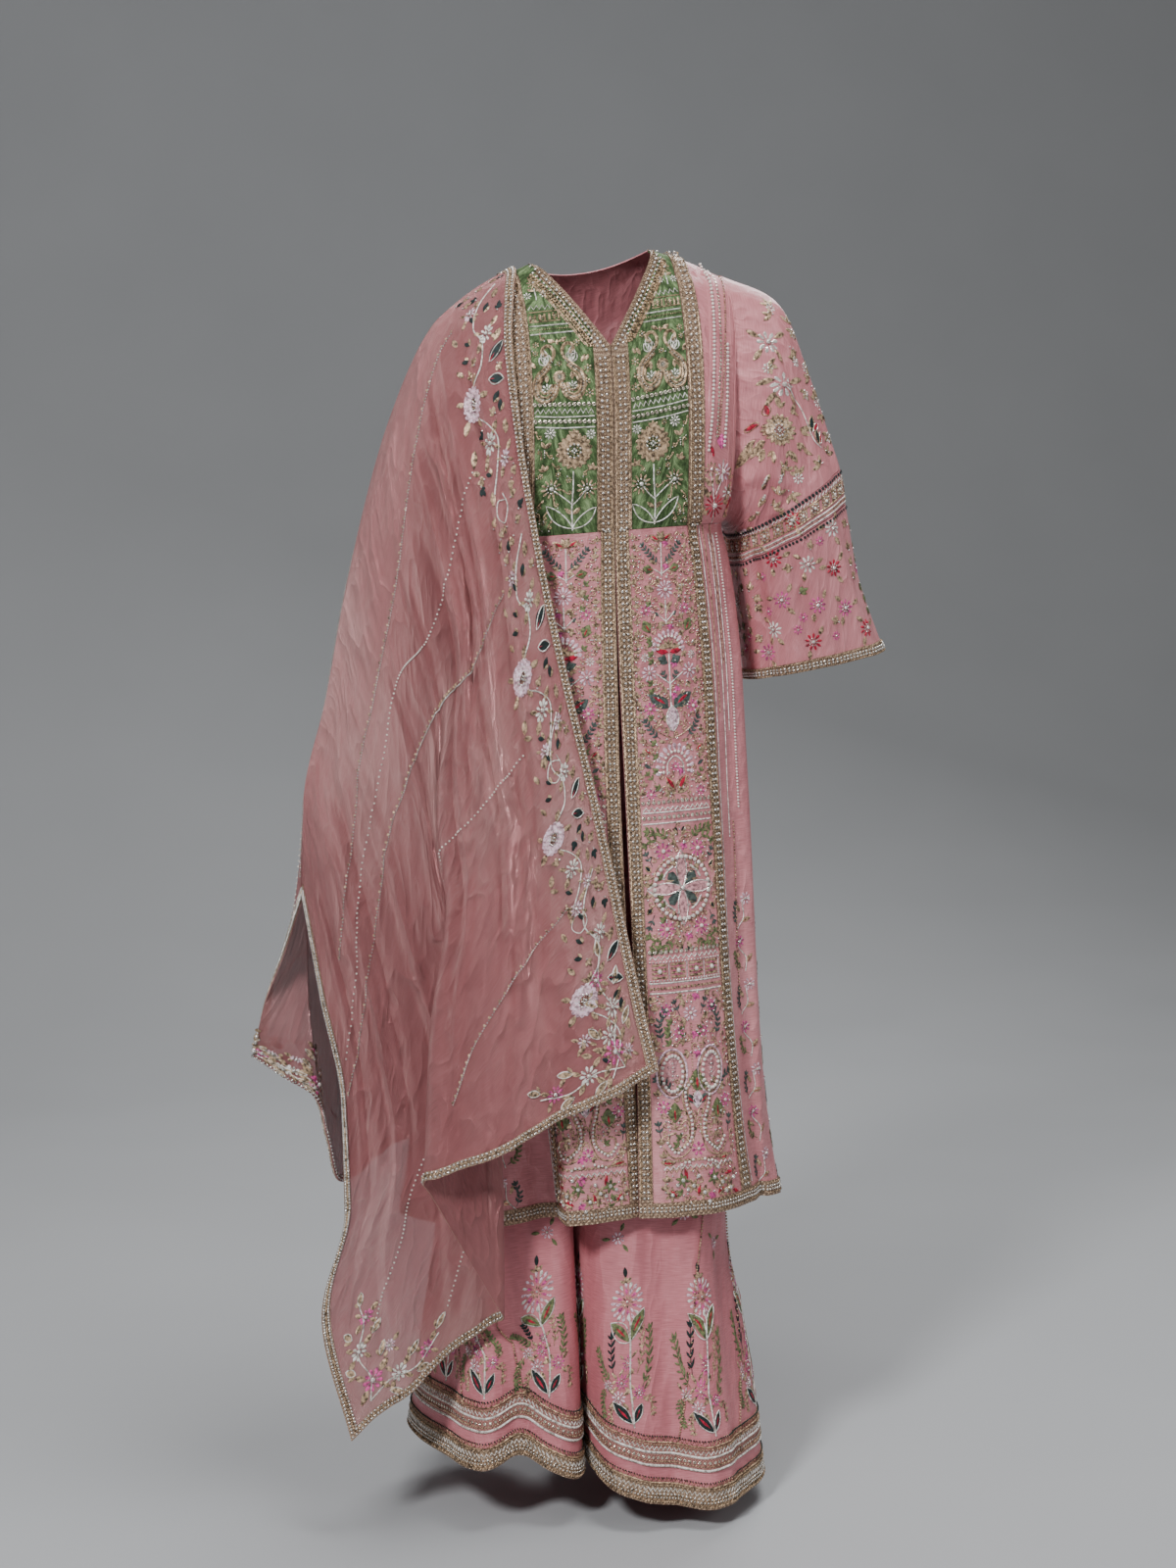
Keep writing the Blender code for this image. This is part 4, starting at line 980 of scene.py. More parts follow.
# ---------------------------------------------------------------- kurta
@dataclass
class Kurta:
    """The long front-opening kurta, without its sleeves."""

    wardrobe: Wardrobe
    neck_half: float = 0.075
    neck_drop: float = 0.118
    back_scoop: float = 0.015
    armhole_x: float = 0.165
    shoulder_drop: float = 0.040
    shoulder_curve: float = 0.38
    armhole_depth: float = 0.075
    empire_z: float = -0.335
    yoke_half: float = 0.0945
    placket: float = 0.021
    border: float = 0.021
    panel_width: float = 0.150
    hem_z: float = -1.150
    hem_trim: float = 0.018
    hem_side_drop: float = 0.012
    body_power: float = 0.45
    skirt_power: float = 0.9
    armhole_power: float = 2.3
    armhole_fade: float = 0.02
    thinnest: float = 0.01
    depth_fade: float = 0.03
    empire_fade: float = 0.04
    seam_fade: float = 0.06
    gap_power: int = 6
    step: float = 0.0058
    yoke_step: float = 0.0045
    bodice_step: float = 0.018
    back_step: float = 0.020
    panel_marks: tuple[float, ...] = (0.33, 0.52, 0.70)
    panel_counts: tuple[int, ...] = (4, 6, 5, 5, 5, 4)
    gore_count: int = 36
    back_count: int = 44
    bodice_rows: tuple[float, ...] = (0.0, 0.014, 0.05, 0.12, 0.24, 0.40, 0.58, 0.78, 1.0)
    front_creases: tuple[Crease, ...] = creased(
        (0.098, -0.02, 0.150, -0.36, 0.010, 0.0022), (0.135, -0.10, 0.158, -0.36, 0.007, 0.0026),
        (-0.100, -0.06, -0.150, -0.34, 0.011, 0.0024), (0.165, -0.34, 0.196, -1.22, 0.013, 0.0050),
        (0.184, -0.42, 0.222, -1.26, 0.010, -0.0042), (0.140, -0.60, 0.168, -1.24, 0.014, -0.0036),
        (0.045, -0.55, 0.060, -1.25, 0.022, 0.0022), (0.090, -0.80, 0.108, -1.26, 0.018, 0.0020),
        (-0.040, -0.60, -0.030, -1.24, 0.020, 0.0022),
        (-0.150, -0.34, -0.168, -1.24, 0.013, 0.0044),
        (-0.182, -0.42, -0.210, -1.25, 0.011, -0.0040),
        (-0.110, -0.66, -0.118, -1.24, 0.013, 0.0032))
    back_creases: tuple[Crease, ...] = creased(
        (-0.060, -0.05, -0.130, -0.32, 0.014, 0.0032), (0.050, -0.06, 0.120, -0.34, 0.013, 0.0030),
        (-0.020, -0.12, -0.060, -0.36, 0.012, -0.0026), (0.030, -0.14, 0.020, -0.50, 0.014, 0.0026),
        (0.150, -0.34, 0.180, -1.24, 0.014, 0.0050), (0.100, -0.42, 0.122, -1.26, 0.015, -0.0046),
        (0.045, -0.36, 0.060, -1.26, 0.017, 0.0040), (-0.012, -0.50, -0.004, -1.24, 0.014, -0.0034),
        (-0.070, -0.38, -0.085, -1.26, 0.016, 0.0048),
        (-0.130, -0.46, -0.150, -1.26, 0.013, -0.0040),
        (-0.170, -0.34, -0.200, -1.25, 0.014, 0.0046))
    walls: dict[str, Wall] = field(default_factory=dict)
    fronts: dict[Side, Sheet] = field(default_factory=dict)
    skirts: dict[Side, Sheet] = field(default_factory=dict)
    marks: dict[Side, list[int]] = field(default_factory=dict)

    def shoulder_z(self, x: np.ndarray | float) -> np.ndarray:
        """Height of the shoulder line, level at the neck and falling to the armhole."""
        reach = np.maximum(np.abs(x) - self.neck_half, 0.0) / (self.armhole_x - self.neck_half)
        return -self.shoulder_drop * reach * (1 - self.shoulder_curve + self.shoulder_curve * reach)

    def armhole_half(self, z: np.ndarray) -> np.ndarray:
        """Half the armhole's width, front to back, at a height.

        Args:
            z: heights, in metres.

        Returns:
            Half the width at each height, in metres.
        """
        middle = (self.empire_z - self.shoulder_drop) / 2.0
        share = np.abs(z - middle) / ((-self.shoulder_drop - self.empire_z) / 2.0)
        rest = np.maximum(1.0 - share ** self.armhole_power, 0.0)
        return self.armhole_depth * rest ** (1 / self.armhole_power)

    def bodice(self, x: np.ndarray, z: np.ndarray, face: Face) -> np.ndarray:
        """Find points of the bodice before its tilt.

        Args:
            x: distances from the centre.
            z: heights.
            face: the front or the back.

        Returns:
            The points.
        """
        share = np.minimum(np.abs(x) / self.armhole_x, 1.0)
        weight = np.maximum(1 - share * share, 0.0) ** self.body_power
        centre = BODY.at(face.value, z) * SHOULDER_ROLL.at(face.value, self.shoulder_z(x) - z)
        depth = weight * centre + (1 - weight) * np.maximum(self.armhole_half(z), SEAM_GAP)
        creases = self.front_creases if face is Face.FRONT else self.back_creases
        inside = np.clip((self.armhole_x - np.abs(x)) / self.armhole_fade, 0, 1)
        inside = inside * np.clip((depth - self.thinnest) / self.depth_fade, 0, 1)
        depth = depth + relief(creases, x, z) * inside
        return np.stack([x, -depth if face is Face.FRONT else depth, z], axis=-1)

    def skirt(self, share: np.ndarray, z: np.ndarray, side: Side, face: Face) -> np.ndarray:
        """Find points of the skirt before its tilt.

        Args:
            share: the way from the centre front or back to the side seam, from 0 to 1.
            z: heights.
            side: the wearer's side.
            face: the front or the back.

        Returns:
            The points.
        """
        half, depth = BODY.at("half", z), BODY.at(face.value, z)
        angle = share * math.pi / 2
        y_sign = -1.0 if face is Face.FRONT else 1.0
        opening = FRONT_EDGE.at("opening", z) if face is Face.FRONT else 0.0
        round_off = np.maximum(np.cos(angle), 0.0) ** self.skirt_power
        plain_x = side.sign * half * np.sin(angle) + opening * (1 - share) ** 2
        plain_y = y_sign * depth * round_off
        plan, key = HEM_BACK, 1.0 - share
        if face is Face.FRONT:
            plan, key = (HEM_FRONT_LEFT if side is Side.LEFT else HEM_FRONT_RIGHT), share
        hem_half, hem_depth = BODY.at("half", self.hem_z), BODY.at(face.value, self.hem_z)
        free = HEM_FALL.at("free", z)
        x = plain_x * (1 - free) + side.sign * plan.at("x", key) * half / hem_half * free
        y = plain_y * (1 - free) + plan.at("y", key) * depth / hem_depth * free
        if face is Face.FRONT:
            x = x + side.sign * FRONT_EDGE.at("gap", z) / 2 * (1 - share) ** self.gap_power
            drop = self.hem_side_drop * share * share
        else:
            drop = self.hem_side_drop * (2 - share)
        creases = self.front_creases if face is Face.FRONT else self.back_creases
        keep = np.clip((self.empire_z - z) / self.empire_fade, 0, 1)
        keep = keep * np.clip((1 - share) / self.seam_fade, 0, 1)
        out = relief(creases, side.sign * half * np.sin(angle), z) * keep
        x = x + side.sign * out * np.sin(angle)
        y = y + y_sign * out * np.cos(angle)
        return np.stack([x, y, z - drop * free], axis=-1)

    def add(self, name: str, node: str, sheet: Sheet, rows: Flat, cols: Flat, finish: str,
            slot: str, thick: float = SILK_THICK, **settings: object) -> Wall:
        """Make a wall of the kurta and keep it.

        Args:
            name: the piece's name.
            node: the node it stands for.
            sheet: the sheet it is cut from.
            rows: the first and last row.
            cols: the first and last column.
            finish: the finish's name.
            slot: the record's material slot.
            thick: the cloth's thickness.
            settings: the wall's other fields.

        Returns:
            The wall.
        """
        wall = Wall(name, node, sheet, rows, cols, self.wardrobe[finish], slot, thick, **settings)
        self.walls[node] = wall
        return wall

    def trim(self, node: str, sheet: Sheet, rows: Flat, cols: Flat, **settings: object) -> Wall:
        """Make a gold trim that lies on a panel."""
        return self.add(f"{node}_work", node, sheet, rows, cols, "goldwork", "gold_work",
                        TRIM_THICK, lift=TRIM_LIFT, **settings)

    def build_bodice_front(self, side: Side) -> None:
        """Build a yoke half, its side front and their trims.

        Args:
            side: the wearer's side.
        """
        yoke_x, yoke_at = refine([SEAM_GAP, self.placket, 0.046, self.neck_half,
                                  self.yoke_half - SEAM_GAP / 2], self.yoke_step)
        side_x, side_at = refine([self.yoke_half + SEAM_GAP / 2, self.yoke_half + self.border,
                                  0.140, self.armhole_x - SEAM_GAP / 2], self.yoke_step)
        shares, row_at = refine(self.bodice_rows, self.bodice_step)
        x = np.concatenate([yoke_x, side_x])
        neck = -self.neck_drop * (1 - x / self.neck_half)
        top = np.where(x < self.neck_half, neck, self.shoulder_z(x))
        z = top + shares[:, None] * (self.empire_z - top)
        points = self.bodice(side.sign * np.broadcast_to(x, z.shape), z, Face.FRONT)
        edge, last, foot = len(yoke_x), len(x) - 1, len(shares) - 1
        sheet = Sheet(points, column_seams=(edge - 1,), tilted=True)
        centre = limit(side, SEAM_GAP, self.yoke_half - SEAM_GAP / 2)
        flank = limit(side, self.yoke_half + SEAM_GAP / 2, self.armhole_x - SEAM_GAP / 2)
        name = side.value
        yoke = self.add(f"yoke_velvet_{name}", f"yoke_{name}", sheet, (0, foot), (0, edge - 1),
                        "velvet", "velvet", limits=[FRONT_HALF, centre])
        panel = self.add(f"bodice_side_silk_{name}", f"bodice_side_{name}", sheet, (0, foot),
                         (edge, last), "silk", "kurta_silk", limits=[FRONT_HALF, flank])
        neck_trim = self.trim(f"neck_trim_{name}", sheet, (0, row_at[2]), (0, yoke_at[3]),
                              limits=[FRONT_HALF, centre])
        placket = self.trim(f"placket_bodice_{name}", sheet, (row_at[2], foot), (0, yoke_at[1]),
                            limits=[FRONT_HALF, centre], pull={"top": SEAM_GAP})
        border = self.trim(f"bodice_border_{name}", sheet, (0, foot), (edge, edge + side_at[1]),
                           limits=[FRONT_HALF, flank])
        yoke.declare(Hold.HUNG, [f"bodice_side_{name}", "bodice_back"], [neck_trim, placket])
        panel.declare(Hold.HUNG, [f"yoke_{name}", "bodice_back"], [border])
        grid_x = np.linspace(SEAM_GAP, self.armhole_x - SEAM_GAP, 46)
        grid_z = np.linspace(-0.002, self.empire_z, 90)
        x, z = np.meshgrid(grid_x, grid_z)
        self.fronts[side] = Sheet(self.bodice(side.sign * x, z, Face.FRONT), tilted=True)
        self.fronts[side].flat = np.stack([x, -z], axis=-1)

    def build_bodice_back(self) -> None:
        """Build the back above the empire seam."""
        marks, _ = refine([0.0, 0.040, self.neck_half, 0.105, 0.138, self.armhole_x - SEAM_GAP / 2],
                          self.step)
        x = np.concatenate([-marks[:0:-1], marks])
        shares, _ = refine(self.bodice_rows, self.back_step)
        top = self.shoulder_z(x) - self.back_scoop * np.maximum(1 - (x / self.neck_half) ** 2, 0.0)
        z = top + shares[:, None] * (self.empire_z - top)
        sheet = Sheet(self.bodice(np.broadcast_to(x, z.shape), z, Face.BACK), tilted=True)
        wall = self.add("bodice_back_silk", "bodice_back", sheet, (0, len(shares) - 1),
                        (0, len(x) - 1), "silk", "kurta_silk",
                        limits=[BACK_HALF, (0, -marks[-1], marks[-1])])
        wall.declare(Hold.HUNG, ["yoke_left", "yoke_right"])

    def skirt_rows(self) -> tuple[np.ndarray, int]:
        """Heights of the skirt's rows, and the row where the hem trim starts.

        Returns:
            The heights, from the top down, and the hem trim's first row among them.
        """
        heights, places = refine([self.empire_z - SEAM_GAP, -0.60, -0.90,
                                  self.hem_z + self.hem_trim, self.hem_z], self.step)
        return heights, places[3]

    def build_skirt_front(self, side: Side) -> None:
        """Build a centre panel, its gore and their trims.

        Args:
            side: the wearer's side.
        """
        heights, hem_row = self.skirt_rows()
        seam = FRONT_EDGE.at(f"panel_{side.value}", heights)
        arc = self.panel_width + FRONT_EDGE.at("opening", heights)
        placket, border, gap = (seam * width / arc
                                for width in (self.placket, self.border, SEAM_GAP))
        zero = np.zeros_like(seam)
        middle = (seam * mark for mark in self.panel_marks)
        marks = [zero, placket, *middle, seam - border, seam - gap / 2]
        columns, places = [zero], [0]
        for low, high, count in zip(marks[:-1], marks[1:], self.panel_counts):
            columns += [low + (high - low) * (i + 1) / count for i in range(count)]
            places.append(len(columns) - 1)
        start = seam + gap / 2
        columns += [start + (1.0 - start) * i / self.gore_count for i in range(self.gore_count + 1)]
        share = np.stack(columns, axis=1)
        z = np.broadcast_to(heights[:, None], share.shape)
        points = self.skirt(share, z, side, Face.FRONT)
        edge, last, foot = places[-1], share.shape[1] - 1, len(heights) - 1
        sheet = Sheet(points, column_seams=(edge,), tilted=True)
        name = side.value
        panel = self.add(f"skirt_front_silk_{name}", f"skirt_front_{name}", sheet, (0, foot),
                         (0, edge), "silk", "kurta_silk")
        gore = self.add(f"skirt_gore_silk_{name}", f"skirt_gore_{name}", sheet, (0, foot),
                        (edge + 1, last), "silk", "kurta_silk", limits=[FRONT_HALF])
        trims = [
            self.trim(f"placket_skirt_{name}", sheet, (0, hem_row), (0, places[1]),
                      pull={"foot": SEAM_GAP}),
            self.trim(f"skirt_border_{name}", sheet, (0, hem_row), (places[5], edge),
                      pull={"foot": SEAM_GAP, "last": SEAM_GAP}),
            self.trim(f"hem_front_{name}", sheet, (hem_row, foot), (0, edge),
                      pull={"last": SEAM_GAP})]
        hem_gore = self.trim(f"hem_gore_{name}", sheet, (hem_row, foot), (edge + 1, last),
                             limits=[FRONT_HALF], pull={"first": SEAM_GAP})
        panel.declare(Hold.HUNG, [f"yoke_{name}", f"skirt_gore_{name}"], trims)
        gore.declare(Hold.HUNG, [f"bodice_side_{name}", f"skirt_front_{name}"], [hem_gore])
        self.skirts[side] = sheet
        self.marks[side] = places

    def build_skirt_back(self) -> None:
        """Build the back skirt and its hem trim."""
        heights, hem_row = self.skirt_rows()
        shares = np.linspace(1.0, 0.0, self.back_count + 1)
        share, z = np.meshgrid(shares, heights)
        left = self.skirt(share, z, Side.LEFT, Face.BACK)
        right = self.skirt(share, z, Side.RIGHT, Face.BACK)
        sheet = Sheet(np.concatenate([left, right[:, -2::-1]], axis=1), tilted=True)
        foot, last = len(heights) - 1, 2 * self.back_count
        back = self.add("skirt_back_silk", "skirt_back", sheet, (0, foot), (0, last), "silk",
                        "kurta_silk", limits=[BACK_HALF])
        hem = self.trim("hem_back", sheet, (hem_row, foot), (0, last), limits=[BACK_HALF])
        back.declare(Hold.HUNG, ["bodice_back", "skirt_gore_left", "skirt_gore_right"], [hem])

    def build(self) -> None:
        """Build every cloth of the kurta's body."""
        for side in Side:
            self.build_bodice_front(side)
            self.build_skirt_front(side)
        self.build_bodice_back()
        self.build_skirt_back()
        LOG.info("kurta: %d pieces", len(self.walls))


# ---------------------------------------------------------------- sleeves
@dataclass
class Sleeve:
    """A wide three-quarter sleeve with a diagonal band and a beaded cuff."""

    wardrobe: Wardrobe
    side: Side
    armhole_x: float = 0.165
    power: float = 2.3
    band_gap: float = 0.012
    cuff_ring: float = 6.85
    columns: int = 84
    around: float = 0.70
    ring_length: float = 0.075
    crease_share: float = 1.6
    armhole_fade: float = 0.8
    crease_reach: float = 0.085
    creases: tuple[Crease, ...] = creased(
        (0.16, -0.02, 0.24, 0.30, 0.012, 0.0048), (0.10, 0.00, 0.15, 0.26, 0.009, -0.0034),
        (0.26, 0.02, 0.20, 0.22, 0.010, 0.0036), (0.06, 0.06, 0.07, 0.44, 0.013, 0.0030),
        (0.22, 0.26, 0.16, 0.56, 0.015, 0.0044), (0.30, 0.30, 0.27, 0.56, 0.012, -0.0040),
        (0.13, 0.36, 0.09, 0.56, 0.010, 0.0024), (0.46, 0.02, 0.52, 0.34, 0.013, 0.0046),
        (0.56, 0.04, 0.60, 0.56, 0.014, -0.0040), (0.42, 0.24, 0.47, 0.57, 0.013, 0.0044))
    sheet: Sheet = field(init=False)
    rings: np.ndarray = field(init=False)
    walls: list[Wall] = field(default_factory=list)

    def surface(self, ring: np.ndarray, turn: np.ndarray) -> np.ndarray:
        """Find points of the sleeve.

        Args:
            ring: places along the sleeve, from 0 at the armhole to 7 at the cuff.
            turn: places around it, from 0 at the top over the front to 1.

        Returns:
            The points.
        """
        table = SLEEVE_LEFT if self.side is Side.LEFT else SLEEVE_RIGHT
        top_x, top_z, low_x, low_z, depth = (
            table.at(name, ring) for name in ("top_x", "top_z", "low_x", "low_z", "depth"))
        wide, high = np.sin(2 * math.pi * turn), np.cos(2 * math.pi * turn)
        size = (np.abs(wide) ** self.power + np.abs(high) ** self.power) ** (-1 / self.power)
        out = self.crease_share * relief(self.creases, turn * self.around, ring * self.ring_length)
        out = out * np.clip(ring / self.armhole_fade, 0, 1)
        along = 0.5 + 0.5 * high * size
        centre_x = low_x + (top_x - low_x) * along
        span = np.hypot(top_x - low_x, top_z - low_z)
        swell = 1 + out / self.crease_reach
        centre_x = (top_x + low_x) / 2 + (centre_x - (top_x + low_x) / 2) * (1 + 2 * out / span)
        centre_z = (low_z + top_z) / 2 + (top_z - low_z) * (along - 0.5) * (1 + 2 * out / span)
        return np.stack([centre_x, -depth * wide * size * swell, centre_z], axis=-1)

    def build(self) -> None:
        """Build the upper part, the band, the lower part and the cuff trim."""
        four, five = 4.0, 5.0
        rings, _ = refine([0.0, 1.0, 2.0, 3.0, four - self.band_gap], self.ring_length)
        band, _ = refine([four + self.band_gap, five - self.band_gap], self.ring_length)
        lower, lower_at = refine([five + self.band_gap, 6.0, self.cuff_ring, 7.0], self.ring_length)
        first, second = len(rings), len(rings) + len(band)
        self.rings = np.concatenate([rings, band, lower])
        turn = np.linspace(0.0, 1.0, self.columns + 1)
        grid_turn, grid_ring = np.meshgrid(turn, self.rings)
        self.sheet = Sheet(self.surface(grid_ring, grid_turn), closed_from=0,
                           row_seams=(first - 1, second - 1))
        name, last, silk = self.side.value, len(self.rings) - 1, self.wardrobe["silk"]
        start = limit(self.side, self.armhole_x + SEAM_GAP / 2, 1.0)
        around = (0, self.columns)
        cuff = Wall(f"cuff_trim_{name}_work", f"cuff_trim_{name}", self.sheet,
                    (second + lower_at[2], last), around, self.wardrobe["goldwork"], "gold_work",
                    TRIM_THICK, TRIM_LIFT)
        parts = [("upper", (0, first - 1), [start], f"bodice_side_{name}", []),
                 ("band", (first, second - 1), [], f"sleeve_upper_{name}", []),
                 ("lower", (second, last), [], f"sleeve_band_{name}", [cuff])]
        for part, rows, limits, rests_on, trims in parts:
            wall = Wall(f"sleeve_{part}_silk_{name}", f"sleeve_{part}_{name}", self.sheet, rows,
                        around, silk, "kurta_silk", PLAIN_THICK, limits=limits)
            wall.declare(Hold.HUNG, [rests_on], trims)
            self.walls.append(wall)
        self.walls.append(cuff)
        LOG.info("sleeve %s: %d pieces", name, len(self.walls))


# ---------------------------------------------------------------- trousers
@dataclass
class Trousers:
    """The wide trousers: two full legs on a plain waistband."""

    wardrobe: Wardrobe
    waist_top_z: float = -0.420
    waist_seam_z: float = -0.460
    crotch_z: float = -0.760
    leg_power: float = 2.4
    crease_power: float = 5.5
    leg_apart: float = 0.004
    seat_apart: float = 0.0010
    band: float = 0.030
    plain: float = 0.017
    hem: float = 0.026
    floor_z: float = -1.5
    seat_power: float = 0.9
    flare_power: float = 1.3
    columns: int = 112
    waist_columns: int = 72
    waist_rows: int = 5
    seat_foot_z: float = -0.728
    crease_side: float = 0.5
    crotch_fade: float = 0.1
    seat_step: float = 0.03
    leg_step: float = 0.010
    hem_step: float = 0.008
    front_creases: tuple[Crease, ...] = creased(
        (0.020, -1.02, 0.022, -1.58, 0.010, 0.0050), (0.052, -1.10, 0.060, -1.58, 0.012, -0.0042),
        (0.095, -0.98, 0.100, -1.60, 0.016, 0.0056), (0.135, -1.15, 0.148, -1.58, 0.010, -0.0040),
        (0.165, -0.98, 0.185, -1.58, 0.011, 0.0046), (-0.060, -1.00, -0.070, -1.56, 0.013, 0.0052),
        (-0.095, -1.10, -0.110, -1.56, 0.010, -0.0044),
        (-0.140, -0.95, -0.160, -1.58, 0.015, 0.0050),
        (-0.185, -1.10, -0.205, -1.56, 0.010, -0.0040))
    back_creases: tuple[Crease, ...] = creased(
        (0.030, -0.90, 0.034, -1.58, 0.014, 0.0052), (0.078, -1.00, 0.088, -1.58, 0.012, -0.0046),
        (0.120, -0.88, 0.140, -1.60, 0.015, 0.0056), (0.165, -1.10, 0.185, -1.58, 0.010, -0.0036),
        (-0.050, -0.90, -0.056, -1.58, 0.012, 0.0050),
        (-0.100, -1.04, -0.108, -1.58, 0.014, -0.0050),
        (-0.150, -0.92, -0.170, -1.58, 0.013, 0.0050))
    sheets: dict[Side, Sheet] = field(default_factory=dict)
    walls: list[Wall] = field(default_factory=list)

    def leg(self, around: np.ndarray, z: np.ndarray, side: Side) -> np.ndarray:
        """Find points of a leg below the crotch.

        Args:
            around: places from the inside over the front and the outside, from 0 to 1.
            z: heights.
            side: the wearer's side.

        Returns:
            The points.
        """
        name = side.value
        outer, front, back = (LEG.at(f"{part}_{name}", z) for part in ("out", "front", "back"))
        folds = LEG_FOLDS_LEFT if side is Side.LEFT else LEG_FOLDS_RIGHT
        angle = 2 * math.pi * around
        inner_x = CREASE.at("x", z) + side.sign * self.leg_apart / 2
        half = (side.sign * outer - inner_x) / 2.0
        wide, deep = -np.cos(angle), -np.sin(angle)
        power = np.where((wide < 0) & (deep < 0), self.crease_power, self.leg_power)
        size = (np.abs(wide) ** power + np.abs(deep) ** power) ** (-1 / power)
        depth = np.where(deep < 0, front, back)
        fall = (self.crotch_z - z) / (self.crotch_z - self.floor_z)
        flare = np.maximum(fall, 0.0) ** self.flare_power
        out = folds.at("in_out", around) * flare
        x = inner_x + half * (1 + wide * size)
        creased = np.where(deep < 0, relief(self.front_creases, x, z),
                           relief(self.back_creases, x, z))
        creased = creased * np.clip(np.abs(deep) / self.crease_side, 0, 1)
        out = out + creased * np.clip((self.crotch_z - z) / self.crotch_fade, 0, 1)
        return np.stack([x + side.sign * out * np.maximum(wide, 0.0),
                         deep * size * (depth + out * np.abs(deep)), z], axis=-1)

    def seat(self, around: np.ndarray, z: np.ndarray, side: Side) -> np.ndarray:
        """Find points above the crotch, where the front and back edges stand apart.

        Args:
            around: places from the centre front round the side to the centre back.
            z: heights.
            side: the wearer's side.

        Returns:
            The points.
        """
        half, front, back = (SEAT.at(name, z) for name in ("half", "front", "back"))
        wide, deep = np.sin(math.pi * around), np.cos(math.pi * around)
        x = side.sign * np.maximum(half * np.maximum(wide, 0.0) ** self.seat_power, self.seat_apart)
        depth = np.where(around < 0.5, front, back)
        return np.stack([x, -depth * np.sign(deep) * np.abs(deep) ** self.seat_power, z], axis=-1)

    def build_leg(self, side: Side) -> None:
        """Build one leg with its two hem bands.

        Args:
            side: the wearer's side.
        """
        around = np.linspace(0.0, 1.0, self.columns + 1)
        folds = LEG_FOLDS_LEFT if side is Side.LEFT else LEG_FOLDS_RIGHT
        seat_z, _ = refine([self.waist_seam_z - SEAM_GAP, self.seat_foot_z], self.seat_step)
        rows = []
        for z in seat_z:
            closing = CLOSING.at("share", z)
            seat = self.seat(around, np.full_like(around, z), side)
            ring = self.leg(around, np.full_like(around, self.crotch_z), side)
            row = seat * (1 - closing) + ring * closing
            row[:, 2] = z
            rows.append(row)
        leg_z, _ = refine([self.crotch_z, -1.09, -1.28], self.leg_step)
        rows += [self.leg(around, np.full_like(around, z), side) for z in leg_z]
        full = self.hem + self.plain + self.band
        offsets, places = refine([full + 0.060, full, self.hem + self.plain, self.hem, 0.0],
                                 self.hem_step)
        rows += [self.leg(around, folds.at("z_hem", around) + offset, side) for offset in offsets]
        sheet = Sheet(np.array(rows), closed_from=len(seat_z))
        last, start = len(rows) - 1, len(rows) - len(offsets)
        name, every = side.value, (0, self.columns)
        leg = Wall(f"leg_silk_{name}", f"leg_{name}", sheet, (0, last), every,
                   self.wardrobe["trouser"], "trouser_silk", PLAIN_THICK)
        trims = [Wall(f"leg_band_{name}_work", f"leg_band_{name}", sheet,
                      (start + places[1], start + places[2]), every, self.wardrobe["band"],
                      "gold_work", TRIM_THICK, TRIM_LIFT),
                 Wall(f"leg_hem_{name}_work", f"leg_hem_{name}", sheet, (start + places[3], last),
                      every, self.wardrobe["goldwork"], "gold_work", TRIM_THICK, TRIM_LIFT)]
        leg.declare(Hold.HUNG, ["waistband"], trims)
        self.sheets[side] = sheet
        self.walls += [leg, *trims]

    def build_waistband(self) -> None:
        """Build the plain waistband."""
        turn = np.linspace(0.0, 2 * math.pi, self.waist_columns + 1)
        wide, deep = np.sin(turn), -np.cos(turn)
        rows = []
        for z in np.linspace(self.waist_top_z, self.waist_seam_z, self.waist_rows + 1):
            half, front, back = SEAT.point(z, "half front back")
            depth = np.where(deep < 0, front, back)
            x = np.copysign(half * np.abs(wide) ** self.seat_power, wide)
            y = np.copysign(depth * np.abs(deep) ** self.seat_power, deep)
            rows.append(np.stack([x, y, np.full_like(x, z)], axis=-1))
        wall = Wall("waistband_silk", "waistband", Sheet(np.array(rows), closed_from=0),
                    (0, self.waist_rows), (0, self.waist_columns), self.wardrobe["trouser"],
                    "trouser_silk", SILK_THICK)
        wall.declare(Hold.GATHERED, ["leg_left", "leg_right"])
        self.walls.append(wall)

    def build(self) -> None:
        """Build the legs and the waistband."""
        for side in Side:
            self.build_leg(side)
        self.build_waistband()
        LOG.info("trousers: %d pieces", len(self.walls))


# ---------------------------------------------------------------- dupatta
@dataclass
class Stretch:
    """One stretch of the dupatta, in front or behind, and what shapes its folds.

    The ribs run down it at their shares of its width. Fullness is how far it stands out
    halfway between two ribs, and a pleat is a place across, a half width and a depth.
    """

    name: str
    ribs: dict[str, Table]
    shares: tuple[float, ...]
    bulge: tuple[float, ...]
    turns: tuple[bool, ...]
    out: float
    pleats: tuple[tuple[float, float, float], ...]
    marks: tuple[float, ...]
    rows: int
    creases: tuple[Crease, ...] = ()


